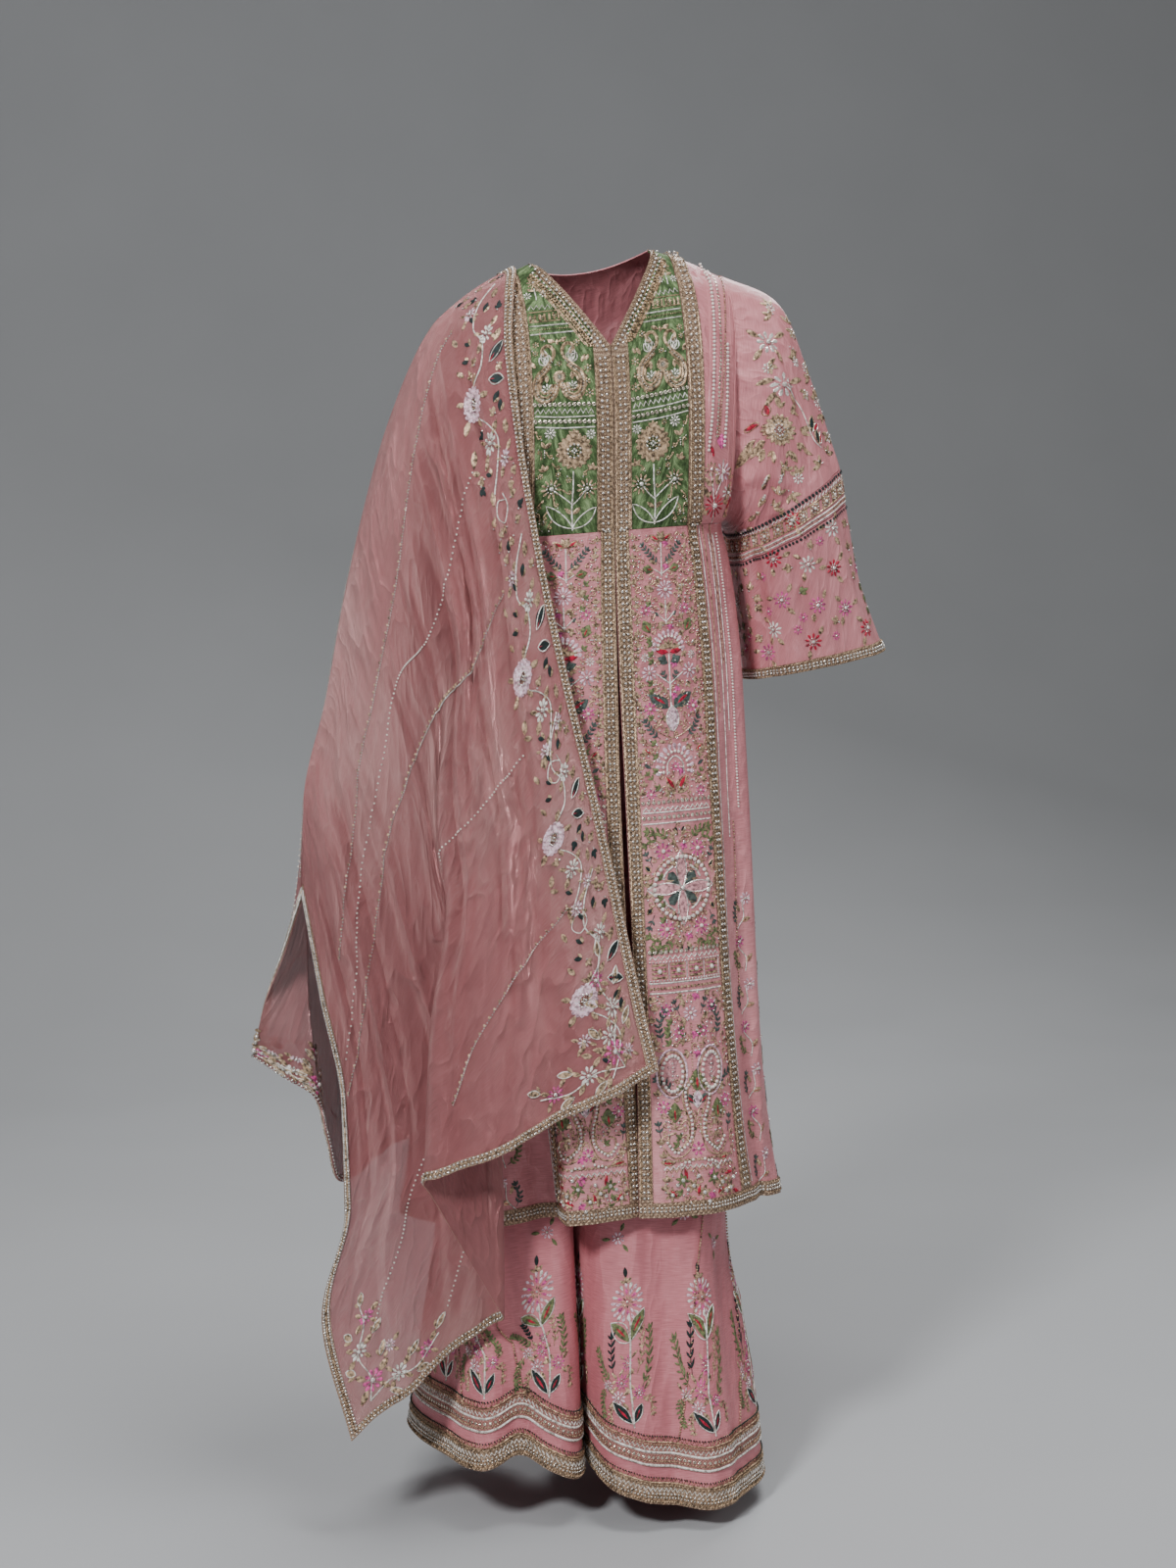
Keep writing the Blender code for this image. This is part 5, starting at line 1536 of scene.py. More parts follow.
@dataclass
class Dupatta:
    """The organza dupatta over the right shoulder, with gold tape along its edges."""

    wardrobe: Wardrobe
    width: float = 0.78
    drop: float = 1.05
    tape: float = 0.014
    turn_share: float = 0.035
    turn_radius: float = 0.009
    turn_start: float = 0.3
    turn_fade: float = 0.4
    crease_share: float = 1.7
    crease_fade: float = 0.12
    crease_aside: float = 0.35
    step: float = 0.0078
    sheets: dict[str, Sheet] = field(default_factory=dict)
    walls: list[Wall] = field(default_factory=list)

    def ribbed(self, stretch: Stretch, across: np.ndarray, down: float) -> np.ndarray:
        """Find a row of points on a smooth curve through the ribs.

        Args:
            stretch: the stretch.
            across: places from the inner border, from 0 to 1.
            down: the place down from the shoulder bend, from 0 to 1.

        Returns:
            The points.
        """
        ribs = [table.point(down, "x y z") for table in stretch.ribs.values()]
        shares, full = stretch.shares, min(down * 2.0, 1.0)
        grown = min(max((down - self.turn_start) / self.turn_fade, 0.0), 1.0)
        turn = np.array([0.0, self.turn_radius * grown, 0.0])
        last = len(ribs) - 1
        at, points = [], []
        for i, rib in enumerate(ribs):
            before, after = (ribs[max(i - 1, 0)] + rib) / 2, (ribs[min(i + 1, last)] + rib) / 2
            before_share = (shares[max(i - 1, 0)] + shares[i]) / 2
            after_share = (shares[min(i + 1, last)] + shares[i]) / 2
            if i:
                before[1] += stretch.bulge[i - 1] * full
            if i < last:
                after[1] += stretch.bulge[i] * full
            if stretch.turns[i]:
                reach = self.turn_share / (shares[i] - before_share)
                points.append(rib + (before - rib) * reach - turn)
                at.append(shares[i] - self.turn_share)
            points.append(rib)
            at.append(shares[i])
            if stretch.turns[i]:
                reach = self.turn_share / (after_share - shares[i])
                points.append(rib + (after - rib) * reach + turn)
                at.append(shares[i] + self.turn_share)
            if i < last:
                points.append(after)
                at.append(after_share)
        ends = np.array([2 * points[0] - points[1]] + points + [2 * points[-1] - points[-2]])
        at = np.array(at)
        i = np.clip(np.searchsorted(at, across, side="right") - 1, 0, len(at) - 2)
        t = ((across - at[i]) / (at[i + 1] - at[i]))[:, None]
        p0, p1, p2, p3 = (ends[i + k] for k in range(4))
        return 0.5 * (2 * p1 + (p2 - p0) * t + (2 * p0 - 5 * p1 + 4 * p2 - p3) * t * t
                      + (3 * p1 - p0 - 3 * p2 + p3) * t ** 3)

    def row(self, stretch: Stretch, across: np.ndarray, down: float) -> np.ndarray:
        """Find a row of points of the dupatta.

        Args:
            stretch: the stretch.
            across: places from the inner border, from 0 to 1.
            down: the place down from the shoulder bend, from 0 to 1.

        Returns:
            The points.
        """
        ridge = np.stack([RIDGE.at(name, across) for name in "xyz"], axis=-1)
        points = self.ribbed(stretch, across, down)
        points = points + (ridge - self.ribbed(stretch, across, 0.0)) * (1 - down) ** 3
        for place, half, depth in stretch.pleats:
            reach = np.clip((across - place) / half, -1, 1)
            points[:, 1] += stretch.out * depth * down * np.cos(reach * math.pi / 2) ** 2
        fade = min(down / self.crease_fade, 1.0)
        out = self.crease_share * relief(stretch.creases, across * self.width,
                                         np.full_like(across, down * self.drop))
        points[:, 1] += stretch.out * out * fade
        points[:, 0] -= self.crease_aside * out * fade
        return points

    def build_stretch(self, stretch: Stretch, half: tuple[int, float, float]) -> None:
        """Build one stretch and the gold tape on its three free edges.

        Args:
            stretch: the stretch.
            half: the bound that keeps it on its side of the shoulder bend.
        """
        tape = self.tape / self.width
        across, places = refine([0.0, tape, *stretch.marks, 1.0 - tape, 1.0], self.step)
        down, rows_at = refine([0.0, 0.02, 0.05, 1.0 - self.tape / self.drop, 1.0],
                               1.0 / stretch.rows)
        sheet = Sheet(np.array([self.row(stretch, across, float(value)) for value in down]))
        end, last, name = len(down) - 1, len(across) - 1, stretch.name
        pull = {"top": SEAM_GAP / 2}
        cloth = Wall(f"dupatta_{name}_organza", f"dupatta_{name}", sheet, (0, end), (0, last),
                     self.wardrobe["organza"], "organza", ORGANZA_THICK, limits=[half], pull=pull)
        gold = self.wardrobe["tape"]
        spans = {"inner": ((0, end), (0, places[1]), {**pull, "last": SEAM_GAP}),
                 "outer": ((0, end), (places[-2], last), {**pull, "first": SEAM_GAP}),
                 "end": ((rows_at[3], end), (places[1], places[-2]), {})}
        tapes = [Wall(f"tape_{name}_{edge}_work", f"tape_{name}_{edge}", sheet, rows, cols, gold,
                      "gold_work", TRIM_THICK, TRIM_LIFT, limits=[half], pull=pulls)
                 for edge, (rows, cols, pulls) in spans.items()]
        cloth.declare(Hold.DRAPED, ["sleeve_upper_right", "yoke_right"], tapes)
        self.sheets[name] = sheet
        self.walls += [cloth, *tapes]

    def build(self) -> None:
        """Build both stretches."""
        self.build_stretch(FRONT_STRETCH, FRONT_HALF)
        self.build_stretch(BACK_STRETCH, BACK_HALF)
        LOG.info("dupatta: %d pieces", len(self.walls))


FRONT_STRETCH = Stretch(
    "front", FRONT_RIBS, shares=(0.0, 0.37, 0.64, 1.0), bulge=(-0.022, 0.006, 0.014),
    turns=(False, True, True, False), out=-1.0, rows=150,
    pleats=((0.07, 0.05, 0.008), (0.16, 0.05, -0.012), (0.26, 0.06, 0.014), (0.76, 0.06, -0.008),
            (0.86, 0.06, 0.012), (0.95, 0.05, -0.006)),
    marks=(0.06, 0.12, 0.24, 0.335, 0.37, 0.405, 0.50, 0.605, 0.64, 0.675, 0.79, 0.91),
    creases=creased(
        (0.055, 0.02, 0.100, 0.70, 0.008, 0.0046), (0.085, 0.02, 0.060, 0.40, 0.006, -0.0036),
        (0.115, 0.03, 0.180, 0.86, 0.009, 0.0052), (0.140, 0.02, 0.215, 0.52, 0.007, -0.0044),
        (0.180, 0.04, 0.150, 0.66, 0.008, 0.0042), (0.215, 0.03, 0.255, 0.94, 0.009, 0.0050),
        (0.245, 0.10, 0.120, 1.05, 0.011, 0.0040), (0.205, 0.36, 0.030, 0.98, 0.010, -0.0034),
        (0.100, 0.50, 0.190, 1.08, 0.010, 0.0036), (0.330, 0.12, 0.360, 1.02, 0.008, 0.0036),
        (0.430, 0.14, 0.450, 0.98, 0.009, -0.0034), (0.560, 0.08, 0.590, 1.02, 0.008, 0.0048),
        (0.610, 0.04, 0.650, 0.74, 0.009, -0.0044), (0.650, 0.06, 0.690, 1.06, 0.008, 0.0046),
        (0.710, 0.04, 0.735, 0.90, 0.007, -0.0034)))
BACK_STRETCH = Stretch(
    "back", BACK_RIBS, shares=(0.0, 0.37, 0.70, 0.86, 1.0), bulge=(0.014, 0.006, 0.0, 0.0),
    turns=(False,) * 5, out=1.0, rows=110,
    pleats=((0.12, 0.07, 0.012), (0.26, 0.06, -0.010), (0.44, 0.07, 0.012), (0.60, 0.06, -0.010),
            (0.80, 0.06, 0.006)),
    marks=(0.07, 0.21, 0.35, 0.49, 0.63, 0.78, 0.93),
    creases=creased(
        (0.050, 0.03, 0.085, 0.96, 0.011, 0.0048), (0.120, 0.04, 0.160, 0.80, 0.009, -0.0040),
        (0.190, 0.02, 0.230, 1.06, 0.012, 0.0052), (0.270, 0.05, 0.300, 0.86, 0.009, -0.0044),
        (0.340, 0.03, 0.375, 1.05, 0.011, 0.0048), (0.430, 0.06, 0.440, 0.90, 0.010, -0.0040),
        (0.500, 0.04, 0.540, 1.04, 0.011, 0.0046), (0.620, 0.10, 0.650, 1.00, 0.009, 0.0036)))


# ---------------------------------------------------------------- needlework
class Bead(Enum):
    """Kinds of bead, with the number of segments and rings of each."""

    PEARL = (6, 4)
    SEED = (4, 3)
    SEQUIN = (6, 1)

    @property
    def flatness(self) -> float:
        """Height of the bead as a share of its width."""
        return 0.35 if self is Bead.SEQUIN else 0.8


class BeadTree:
    """A node tree that sets a bead on every point of a cloud, turned to the cloth's normal."""

    def __init__(self, kind: Bead) -> None:
        """Build the tree.

        Args:
            kind: the kind of bead that it sets.
        """
        self.tree = bpy.data.node_groups.new(f"set_{kind.name.lower()}", "GeometryNodeTree")
        face = self.tree.interface
        face.new_socket("Points", in_out="INPUT", socket_type="NodeSocketGeometry")
        self.flatten = face.new_socket("Flatness", in_out="INPUT", socket_type="NodeSocketFloat")
        self.finish = face.new_socket("Finish", in_out="INPUT", socket_type="NodeSocketMaterial")
        face.new_socket("Beads", in_out="OUTPUT", socket_type="NodeSocketGeometry")
        entry, leave = self.node("NodeGroupInput"), self.node("NodeGroupOutput")
        segments, rings = kind.value
        if kind is Bead.SEQUIN:
            shape = self.node("GeometryNodeMeshCone", Vertices=segments)
            shape.inputs["Radius Top"].default_value = 0.55
            shape.inputs["Radius Bottom"].default_value = 1.0
            shape.inputs["Depth"].default_value = 0.5
        else:
            shape = self.node("GeometryNodeMeshUVSphere", Segments=segments, Rings=rings)
        smooth = self.node("GeometryNodeSetShadeSmooth")
        smooth.inputs["Shade Smooth"].default_value = kind is not Bead.SEQUIN
        self.join(shape.outputs[0], smooth.inputs[0])
        size = self.attribute("bead_size", "FLOAT")
        normal = self.attribute("bead_up", "FLOAT_VECTOR")
        turn = self.node("FunctionNodeAlignEulerToVector")
        turn.axis = "Z"
        self.join(normal, turn.inputs["Vector"])
        scale = self.node("ShaderNodeCombineXYZ")
        squash = self.node("ShaderNodeMath")
        squash.operation = "MULTIPLY"
        self.join(size, squash.inputs[0])
        self.join(entry.outputs["Flatness"], squash.inputs[1])
        for i, source in enumerate((size, size, squash.outputs[0])):
            self.join(source, scale.inputs[i])
        setter = self.node("GeometryNodeInstanceOnPoints")
        self.join(entry.outputs["Points"], setter.inputs["Points"])
        self.join(smooth.outputs[0], setter.inputs["Instance"])
        self.join(turn.outputs[0], setter.inputs["Rotation"])
        self.join(scale.outputs[0], setter.inputs["Scale"])
        real = self.node("GeometryNodeRealizeInstances")
        paint = self.node("GeometryNodeSetMaterial")
        self.join(setter.outputs[0], real.inputs[0])
        self.join(real.outputs[0], paint.inputs["Geometry"])
        self.join(entry.outputs["Finish"], paint.inputs["Material"])
        self.join(paint.outputs[0], leave.inputs[0])

    def node(self, kind: str, **sockets: object) -> bpy.types.Node:
        """Add a node and set its inputs.

        Args:
            kind: the node's type.
            **sockets: a value for each input, by its name.

        Returns:
            The node.
        """
        node = self.tree.nodes.new(kind)
        for key, value in sockets.items():
            node.inputs[key].default_value = value
        return node

    def join(self, source: bpy.types.NodeSocket, target: bpy.types.NodeSocket) -> None:
        """Join two sockets."""
        self.tree.links.new(source, target)

    def attribute(self, name: str, kind: str) -> bpy.types.NodeSocket:
        """Read a named attribute of the points.

        Args:
            name: the attribute's name.
            kind: the attribute's data type.

        Returns:
            The output that carries it.
        """
        node = self.node("GeometryNodeInputNamedAttribute", Name=name)
        node.data_type = kind
        return next(output for output in node.outputs if output.enabled)

    def set_on(self, name: str, points: np.ndarray, normals: np.ndarray, sizes: np.ndarray,
               flatness: float, material: bpy.types.Material) -> bpy.types.Object:
        """Set beads on points and keep them as a plain mesh.

        Args:
            name: the piece's name.
            points: where the beads lie.
            normals: the cloth's normal at each.
            sizes: the beads' radii.
            flatness: their height as a share of their width.
            material: their material.

        Returns:
            The piece.
        """
        cloud = bpy.data.meshes.new(f"{name}_points")
        cloud.from_pydata(points.tolist(), [], [])
        cloud.attributes.new("bead_size", "FLOAT", "POINT").data.foreach_set("value", sizes)
        cloud.attributes.new("bead_up", "FLOAT_VECTOR", "POINT").data.foreach_set(
            "vector", normals.ravel())
        holder = bpy.data.objects.new(f"{name}_holder", cloud)
        bpy.context.scene.collection.objects.link(holder)
        modifier = holder.modifiers.new("beads", "NODES")
        modifier.node_group = self.tree
        modifier[self.flatten.identifier] = flatness
        modifier[self.finish.identifier] = material
        seen = holder.evaluated_get(bpy.context.evaluated_depsgraph_get())
        mesh = bpy.data.meshes.new_from_object(seen)
        mesh.name = name
        holder.modifiers.remove(modifier)
        bpy.data.objects.remove(holder, do_unlink=True)
        if not mesh.materials:
            mesh.materials.append(material)
        piece = bpy.data.objects.new(name, mesh)
        bpy.context.scene.collection.objects.link(piece)
        return piece


CORD_HEIGHT = 0.45


@dataclass
class Stroke:
    """A run of laid thread on a sheet: flat points, their widths and heights, in metres."""

    sheet: Sheet
    flat: np.ndarray
    width: np.ndarray
    height: np.ndarray
    lift: float
    closed: bool


@dataclass
class Needlework:
    """The threads and beads gathered on one group of cloths, made into one piece a finish."""

    name: str
    wardrobe: Wardrobe
    trees: dict[Bead, BeadTree]
    slot: str = "gold_work"
    seat: float = 0.45
    cell: float = 0.002
    golden_angle: float = 137.5
    strokes: dict[str, list[Stroke]] = field(default_factory=dict)
    beads: dict[tuple[Bead, str], list[tuple[Sheet, np.ndarray, float, float]]] = field(
        default_factory=dict)

    def fill(self, pen: "Pen", places: Iterable[Flat], clear: float,
             stitch: Callable[["Pen", int], None]) -> None:
        """Stitch a small figure wherever the ground is still bare.

        Args:
            pen: the pen whose drawing holds the places.
            places: the places tried.
            clear: how far the nearest stitch has to be, in millimetres.
            stitch: draws the figure with a pen and its count.
        """
        cell = self.cell
        reach = range(-int(clear / 2), int(clear / 2) + 1)
        near = np.array([(a, b, c) for a in reach for b in reach for c in reach])

        def taken(strokes: Iterable[Stroke], beads: Iterable[tuple]) -> set[tuple[int, ...]]:
            """Cells of space under the stitches of the pen's sheet.

            Args:
                strokes: strokes that are drawn.
                beads: runs of beads that are set.

            Returns:
                The cells that hold a point of them.
            """
            flats = [s.flat for s in strokes if s.sheet is pen.sheet]
            flats += [run[1] for run in beads if run[0] is pen.sheet]
            if not flats:
                return set()
            points = pen.sheet.place(np.concatenate(flats), 0.0)[0] // cell
            return set(map(tuple, points.astype(int).tolist()))

        full = taken((s for run in self.strokes.values() for s in run),
                     (b for run in self.beads.values() for b in run))
        for i, (x, y) in enumerate(places):
            spot = pen.at(x, y, self.golden_angle * i)
            at = pen.sheet.place(np.array([[spot.x, -spot.y]]) * MM, 0.0)[0][0] // cell
            if not full.isdisjoint(map(tuple, (at.astype(int) + near).tolist())):
                continue
            stitch(spot, i)
            full |= taken((run[-1] for run in self.strokes.values()),
                          (run[-1] for run in self.beads.values()))

    def build(self) -> None:
        """Make every gathered thread and bead."""
        for finish, strokes in self.strokes.items():
            piece = self.lay(f"{self.name}_{finish}_threads", strokes, self.wardrobe[finish])
            self.keep(piece)
        for (kind, finish), runs in self.beads.items():
            places, normals, sizes = [], [], []
            for sheet, flat, size, lift in runs:
                at, up = sheet.place(flat, lift + math.copysign(self.seat * size, lift))
                places.append(at)
                normals.append(math.copysign(1.0, lift) * up)
                sizes.append(np.full(len(flat), size))
            piece = self.trees[kind].set_on(
                f"{self.name}_{finish}_{kind.name.lower()}s", np.concatenate(places),
                np.concatenate(normals), np.concatenate(sizes).astype(np.float32),
                kind.flatness, self.wardrobe[finish])
            self.keep(piece)

    def keep(self, piece: bpy.types.Object) -> None:
        """Set a piece in the frame and report it.

        Args:
            piece: a finished object.
        """
        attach(piece, "root")
        LOG.info("%s: %d faces", piece.name, len(piece.data.polygons))

    @staticmethod
    def lay(name: str, strokes: Sequence[Stroke], material: bpy.types.Material) -> bpy.types.Object:
        """Make closed, ridged runs of thread.

        Args:
            name: the piece's name.
            strokes: the runs.
            material: the thread's material.

        Returns:
            The piece.
        """
        vertices, faces, base = [], [], 0
        groups: dict[tuple[int, float], list[Stroke]] = {}
        for stroke in strokes:
            groups.setdefault((id(stroke.sheet), stroke.lift), []).append(stroke)
        for group in groups.values():
            counts = np.array([len(stroke.flat) for stroke in group])
            closed = np.repeat([stroke.closed for stroke in group], counts)
            starts = np.repeat(np.cumsum(counts) - counts, counts)
            ends = starts + np.repeat(counts, counts) - 1
            n = np.arange(counts.sum())
            after = np.where(n < ends, n + 1, np.where(closed, starts, n))
            before = np.where(n > starts, n - 1, np.where(closed, ends, n))
            lift = group[0].lift
            points, normals = group[0].sheet.place(
                np.concatenate([stroke.flat for stroke in group]), lift)
            up = normals * math.copysign(1.0, lift)
            aside = unit(np.cross(up, unit(points[after] - points[before])))
            width = np.concatenate([stroke.width for stroke in group])[:, None] / 2
            height = np.concatenate([stroke.height for stroke in group])[:, None]
            vertices.append(np.stack([points + aside * width, points + up * height,
                                      points - aside * width], axis=1).reshape(-1, 3))
            i = n[after != n] * 3 + base
            j = after[after != n] * 3 + base
            for a, b, c in ((i, j + 1, j), (i, i + 1, j + 1), (i + 1, j + 2, j + 1),
                            (i + 1, i + 2, j + 2), (i + 2, i, j), (i + 2, j, j + 2)):
                faces.append(np.stack([a, b, c], axis=1))
            first = n[(n == starts) & ~closed] * 3 + base
            final = n[(n == ends) & ~closed] * 3 + base
            faces += [np.stack([first, first + 2, first + 1], axis=1),
                      np.stack([final, final + 1, final + 2], axis=1)]
            base += 3 * len(n)
        return mesh_piece(name, np.concatenate(vertices), np.concatenate(faces), material)


def smooth(points: Sequence[Flat], step: float, closed: bool = False) -> np.ndarray:
    """Draw an even, smooth curve through points.

    Args:
        points: the points, in millimetres.
        step: the space between the curve's points.
        closed: whether the curve runs back to its start.

    Returns:
        The curve's points.
    """
    p = np.array(points, dtype=float)
    ends = [p[-1], *p, p[0], p[1]] if closed else [2 * p[0] - p[1], *p, 2 * p[-1] - p[-2]]
    p = np.array(ends)
    t = np.linspace(0, 1, 9)[:-1, None]
    runs = [0.5 * (2 * b + (c - a) * t + (2 * a - 5 * b + 4 * c - d) * t * t
                   + (3 * b - a - 3 * c + d) * t ** 3)
            for a, b, c, d in zip(p, p[1:], p[2:], p[3:])]
    return even(np.concatenate([*runs, p[-2:-1]]), step, closed)


def even(points: np.ndarray, step: float, closed: bool = False) -> np.ndarray:
    """Space points evenly along a run of lines.

    Args:
        points: the corners of the run.
        step: about how far apart the points lie.
        closed: whether the last point is left out, as the first one again.

    Returns:
        The points.
    """
    run = np.insert(np.cumsum(np.linalg.norm(np.diff(points, axis=0), axis=1)), 0, 0.0)
    count = max(int(round(run[-1] / step)), 1)
    at = np.linspace(0, run[-1], count + 1)[:-1 if closed else None]
    return np.stack([np.interp(at, run, points[:, k]) for k in (0, 1)], axis=1)


@dataclass
class Pen:
    """Draws on a sheet in millimetres, x across and y up the cloth, from its own corner."""

    work: Needlework
    sheet: Sheet
    x: float = 0.0
    y: float = 0.0
    turn: float = 0.0
    size: float = 1.0
    mirror: float = 1.0
    lift: float = 0.0004
    frame: np.ndarray | None = None

    def at(self, x: float, y: float, turn: float = 0.0, size: float = 1.0,
           mirror: bool = False) -> "Pen":
        """Take a pen at another place of this one's drawing.

        Args:
            x: its corner across.
            y: its corner up.
            turn: degrees against the clock.
            size: how much larger it draws.
            mirror: whether it draws mirrored.

        Returns:
            The new pen.
        """
        corner = self.map(np.array([[x, y]]))[0]
        return Pen(self.work, self.sheet, corner[0], corner[1], self.turn + self.mirror * turn,
                   self.size * size, self.mirror * (-1.0 if mirror else 1.0), self.lift, self.frame)

    def pair(self, x: float, y: float) -> tuple["Pen", "Pen"]:
        """Take two mirrored pens at equal distances from this one's middle line."""
        return self.at(x, y), self.at(-x, y, mirror=True)

    def upright(self) -> "Pen":
        """Take a pen here that draws level and true to size, where a sheet's flat form is skewed.

        Returns:
            The new pen, or this one where no true measure can be taken.
        """
        step, least_area = 0.002, 0.3
        spot = np.array([self.x, -self.y]) * MM
        points, normals = self.sheet.place(
            np.array([spot, spot + (step, 0.0), spot + (0.0, step)]), 0.0)
        level = unit(np.cross((0.0, 0.0, 1.0), normals[0]))
        rise = np.cross(normals[0], level)
        spread = np.array([[axis @ (points[k] - points[0]) / step for k in (1, 2)]
                           for axis in (level, rise)])
        if abs(np.linalg.det(spread)) < least_area:
            return self
        frame = np.diag([1.0, -1.0]) @ np.linalg.inv(spread)
        return Pen(self.work, self.sheet, self.x, self.y, 0.0, self.size, 1.0, self.lift, frame)

    def map(self, points: np.ndarray) -> np.ndarray:
        """Turn local millimetres into the sheet's millimetres, x across and y up.

        Args:
            points: points in local millimetres.

        Returns:
            The points in the sheet's millimetres.
        """
        c, s = math.cos(math.radians(self.turn)), math.sin(math.radians(self.turn))
        x, y = points[:, 0] * self.mirror * self.size, points[:, 1] * self.size
        turned = np.stack([x * c - y * s, x * s + y * c], axis=1)
        if self.frame is not None:
            turned = turned @ self.frame.T
        return turned + (self.x, self.y)

    def flat(self, points: np.ndarray) -> np.ndarray:
        """Turn local millimetres into the sheet's flat metres, across and down."""
        return self.map(np.asarray(points, dtype=float)) * np.array([MM, -MM])

    def stroke(self, finish: str, points: np.ndarray, width: np.ndarray | float,
               height: np.ndarray | float, closed: bool = False) -> None:
        """Lay a run of thread.

        Args:
            finish: the thread's finish.
            points: its points.
            width: its width at each, in millimetres.
            height: its height at each.
            closed: whether it runs back to its start.
        """
        grow = MM * self.size
        every = np.ones(len(points))
        self.work.strokes.setdefault(finish, []).append(Stroke(
            self.sheet, self.flat(points), width * every * grow, height * every * MM,
            self.lift, closed))

    def cord(self, finish: str, points: Sequence[Flat], width: float = 1.5, closed: bool = False,
             step: float = 2.6) -> None:
        """Lay a smooth cord of even width through points."""
        self.stroke(finish, smooth(points, step / max(self.size, 0.4), closed), width,
                    CORD_HEIGHT * width, closed)

    def bar(self, finish: str, ends: Sequence[Flat], width: float, height: float,
            step: float = 4.0) -> None:
        """Lay a straight run of thread."""
        self.stroke(finish, even(np.array(ends, dtype=float), step), width, height)

    def bars(self, offsets: Iterable[float], half: float, upright: bool, width: float,
             height: float, step: float = 4.0) -> None:
        """Lay gold bars side by side across the pen's corner, upright or level.

        Args:
            offsets: how far each bar lies from the corner.
            half: half a bar's length.
            upright: whether the bars stand upright.
            width: a bar's width.
            height: a bar's height above the cloth.
            step: the space between points along it.
        """
        for offset in offsets:
            ends = ([(offset, -half), (offset, half)] if upright
                    else [(-half, offset), (half, offset)])
            self.bar("gold", ends, width, height, step)

    def line(self, finish: str, points: Sequence[Flat], width: float = 1.5) -> None:
        """Lay a cord with sharp corners, filled in evenly between them.

        Args:
            finish: the finish's name.
            points: the corners, in local millimetres.
            width: the cord's width in millimetres.
        """
        corners = np.array(points, dtype=float)
        runs = [even(corners[i:i + 2], 4.0)[:-1] for i in range(len(corners) - 1)]
        self.stroke(finish, np.concatenate([*runs, corners[-1:]]), width, CORD_HEIGHT * width)

    def leaf(self, x: float, y: float, turn: float, length: float, width: float, finish: str,
             edge: str | None = None, bend: float = 0.0, rounded: bool = False) -> None:
        """Fill a leaf or a petal that grows from a point.

        Args:
            x: its root across.
            y: its root up.
            turn: the way it grows, in degrees against the clock from straight up.
            length: its length.
            width: its greatest width.
            finish: its finish.
            edge: the finish of a cord round it, or None.
            bend: how far its middle bows aside, as a share of its length.
            rounded: whether its tip is round, as a petal's is.
        """
        count = 4 if length < 9 else 6 if length < 20 else 10
        t = np.linspace(0, 1, count + 1)
        c, s = math.cos(math.radians(turn)), math.sin(math.radians(turn))
        side, up = bend * length * np.sin(math.pi * t), length * t
        spine = np.stack([x + side * c - up * s, y + side * s + up * c], axis=1)
        shape = t ** 0.8 * (1 - t) ** 0.28 * 1.45 if rounded else np.sin(math.pi * t) ** 0.8
        breadth = np.maximum(width * shape, 0.25)
        if finish:
            proud = 0.5 if finish == "crimson" else 0.0
            self.stroke(finish, spine, breadth, 0.25 + 0.6 * np.minimum(breadth / 5, 1) + proud)
        if edge:
            t = np.linspace(0, 1, max(count, 7))
            shape = width * np.sin(math.pi * t) ** 0.8 / 2
            side, up = bend * length * np.sin(math.pi * t), length * t
            ring = np.concatenate([np.stack([side + shape, up], 1),
                                   np.stack([side - shape, up], 1)[-2:0:-1]])
            turned = np.stack([x + ring[:, 0] * c - ring[:, 1] * s,
                               y + ring[:, 0] * s + ring[:, 1] * c], 1)
            self.stroke(edge, turned, 1.5, 0.9, True)

    def leaves(self, *rows: tuple) -> None:
        """Fill several leaves, each row what leaf takes."""
        for row in rows:
            self.leaf(*row)

    def petals(self, turns: Iterable[float], reach: float, length: float, width: float, finish: str,
               lean: float = 0.0, rounded: bool = False) -> None:
        """Fill like leaves or petals that grow outwards from a circle round the pen's corner.

        Args:
            turns: the place of each, in degrees against the clock from straight up.
            reach: the circle's radius.
            length: their length.
            width: their greatest width.
            finish: their finish.
            lean: how far each leans from the way out, in degrees.
            rounded: whether their tips are round.
        """
        for turn in turns:
            a = math.radians(turn)
            self.leaf(-reach * math.sin(a), reach * math.cos(a), turn + lean, length, width, finish,
                      rounded=rounded)

    def beads(self, kind: Bead, finish: str, points: np.ndarray, radius: float) -> None:
        """Set beads on points.

        Args:
            kind: the kind of bead.
            finish: the finish's name.
            points: points in local millimetres.
            radius: a bead's radius in millimetres.
        """
        flat = self.flat(np.atleast_2d(np.asarray(points, dtype=float)))
        self.work.beads.setdefault((kind, finish), []).append(
            (self.sheet, flat, radius * self.size * MM, self.lift))

    def row(self, kind: Bead, finish: str, points: Sequence[Flat], pitch: float, radius: float,
            curved: bool = False) -> None:
        """Set a row of beads along a run of points."""
        run = smooth(points, pitch) if curved else even(np.array(points, dtype=float), pitch)
        self.beads(kind, finish, run, radius)

    def ring(self, kind: Bead, finish: str, radius: float, count: int, size: float) -> None:
        """Set beads on a circle round the pen's corner."""
        turn = np.arange(count) * 2 * math.pi / count
        self.beads(kind, finish, np.stack([radius * np.sin(turn), radius * np.cos(turn)], 1), size)

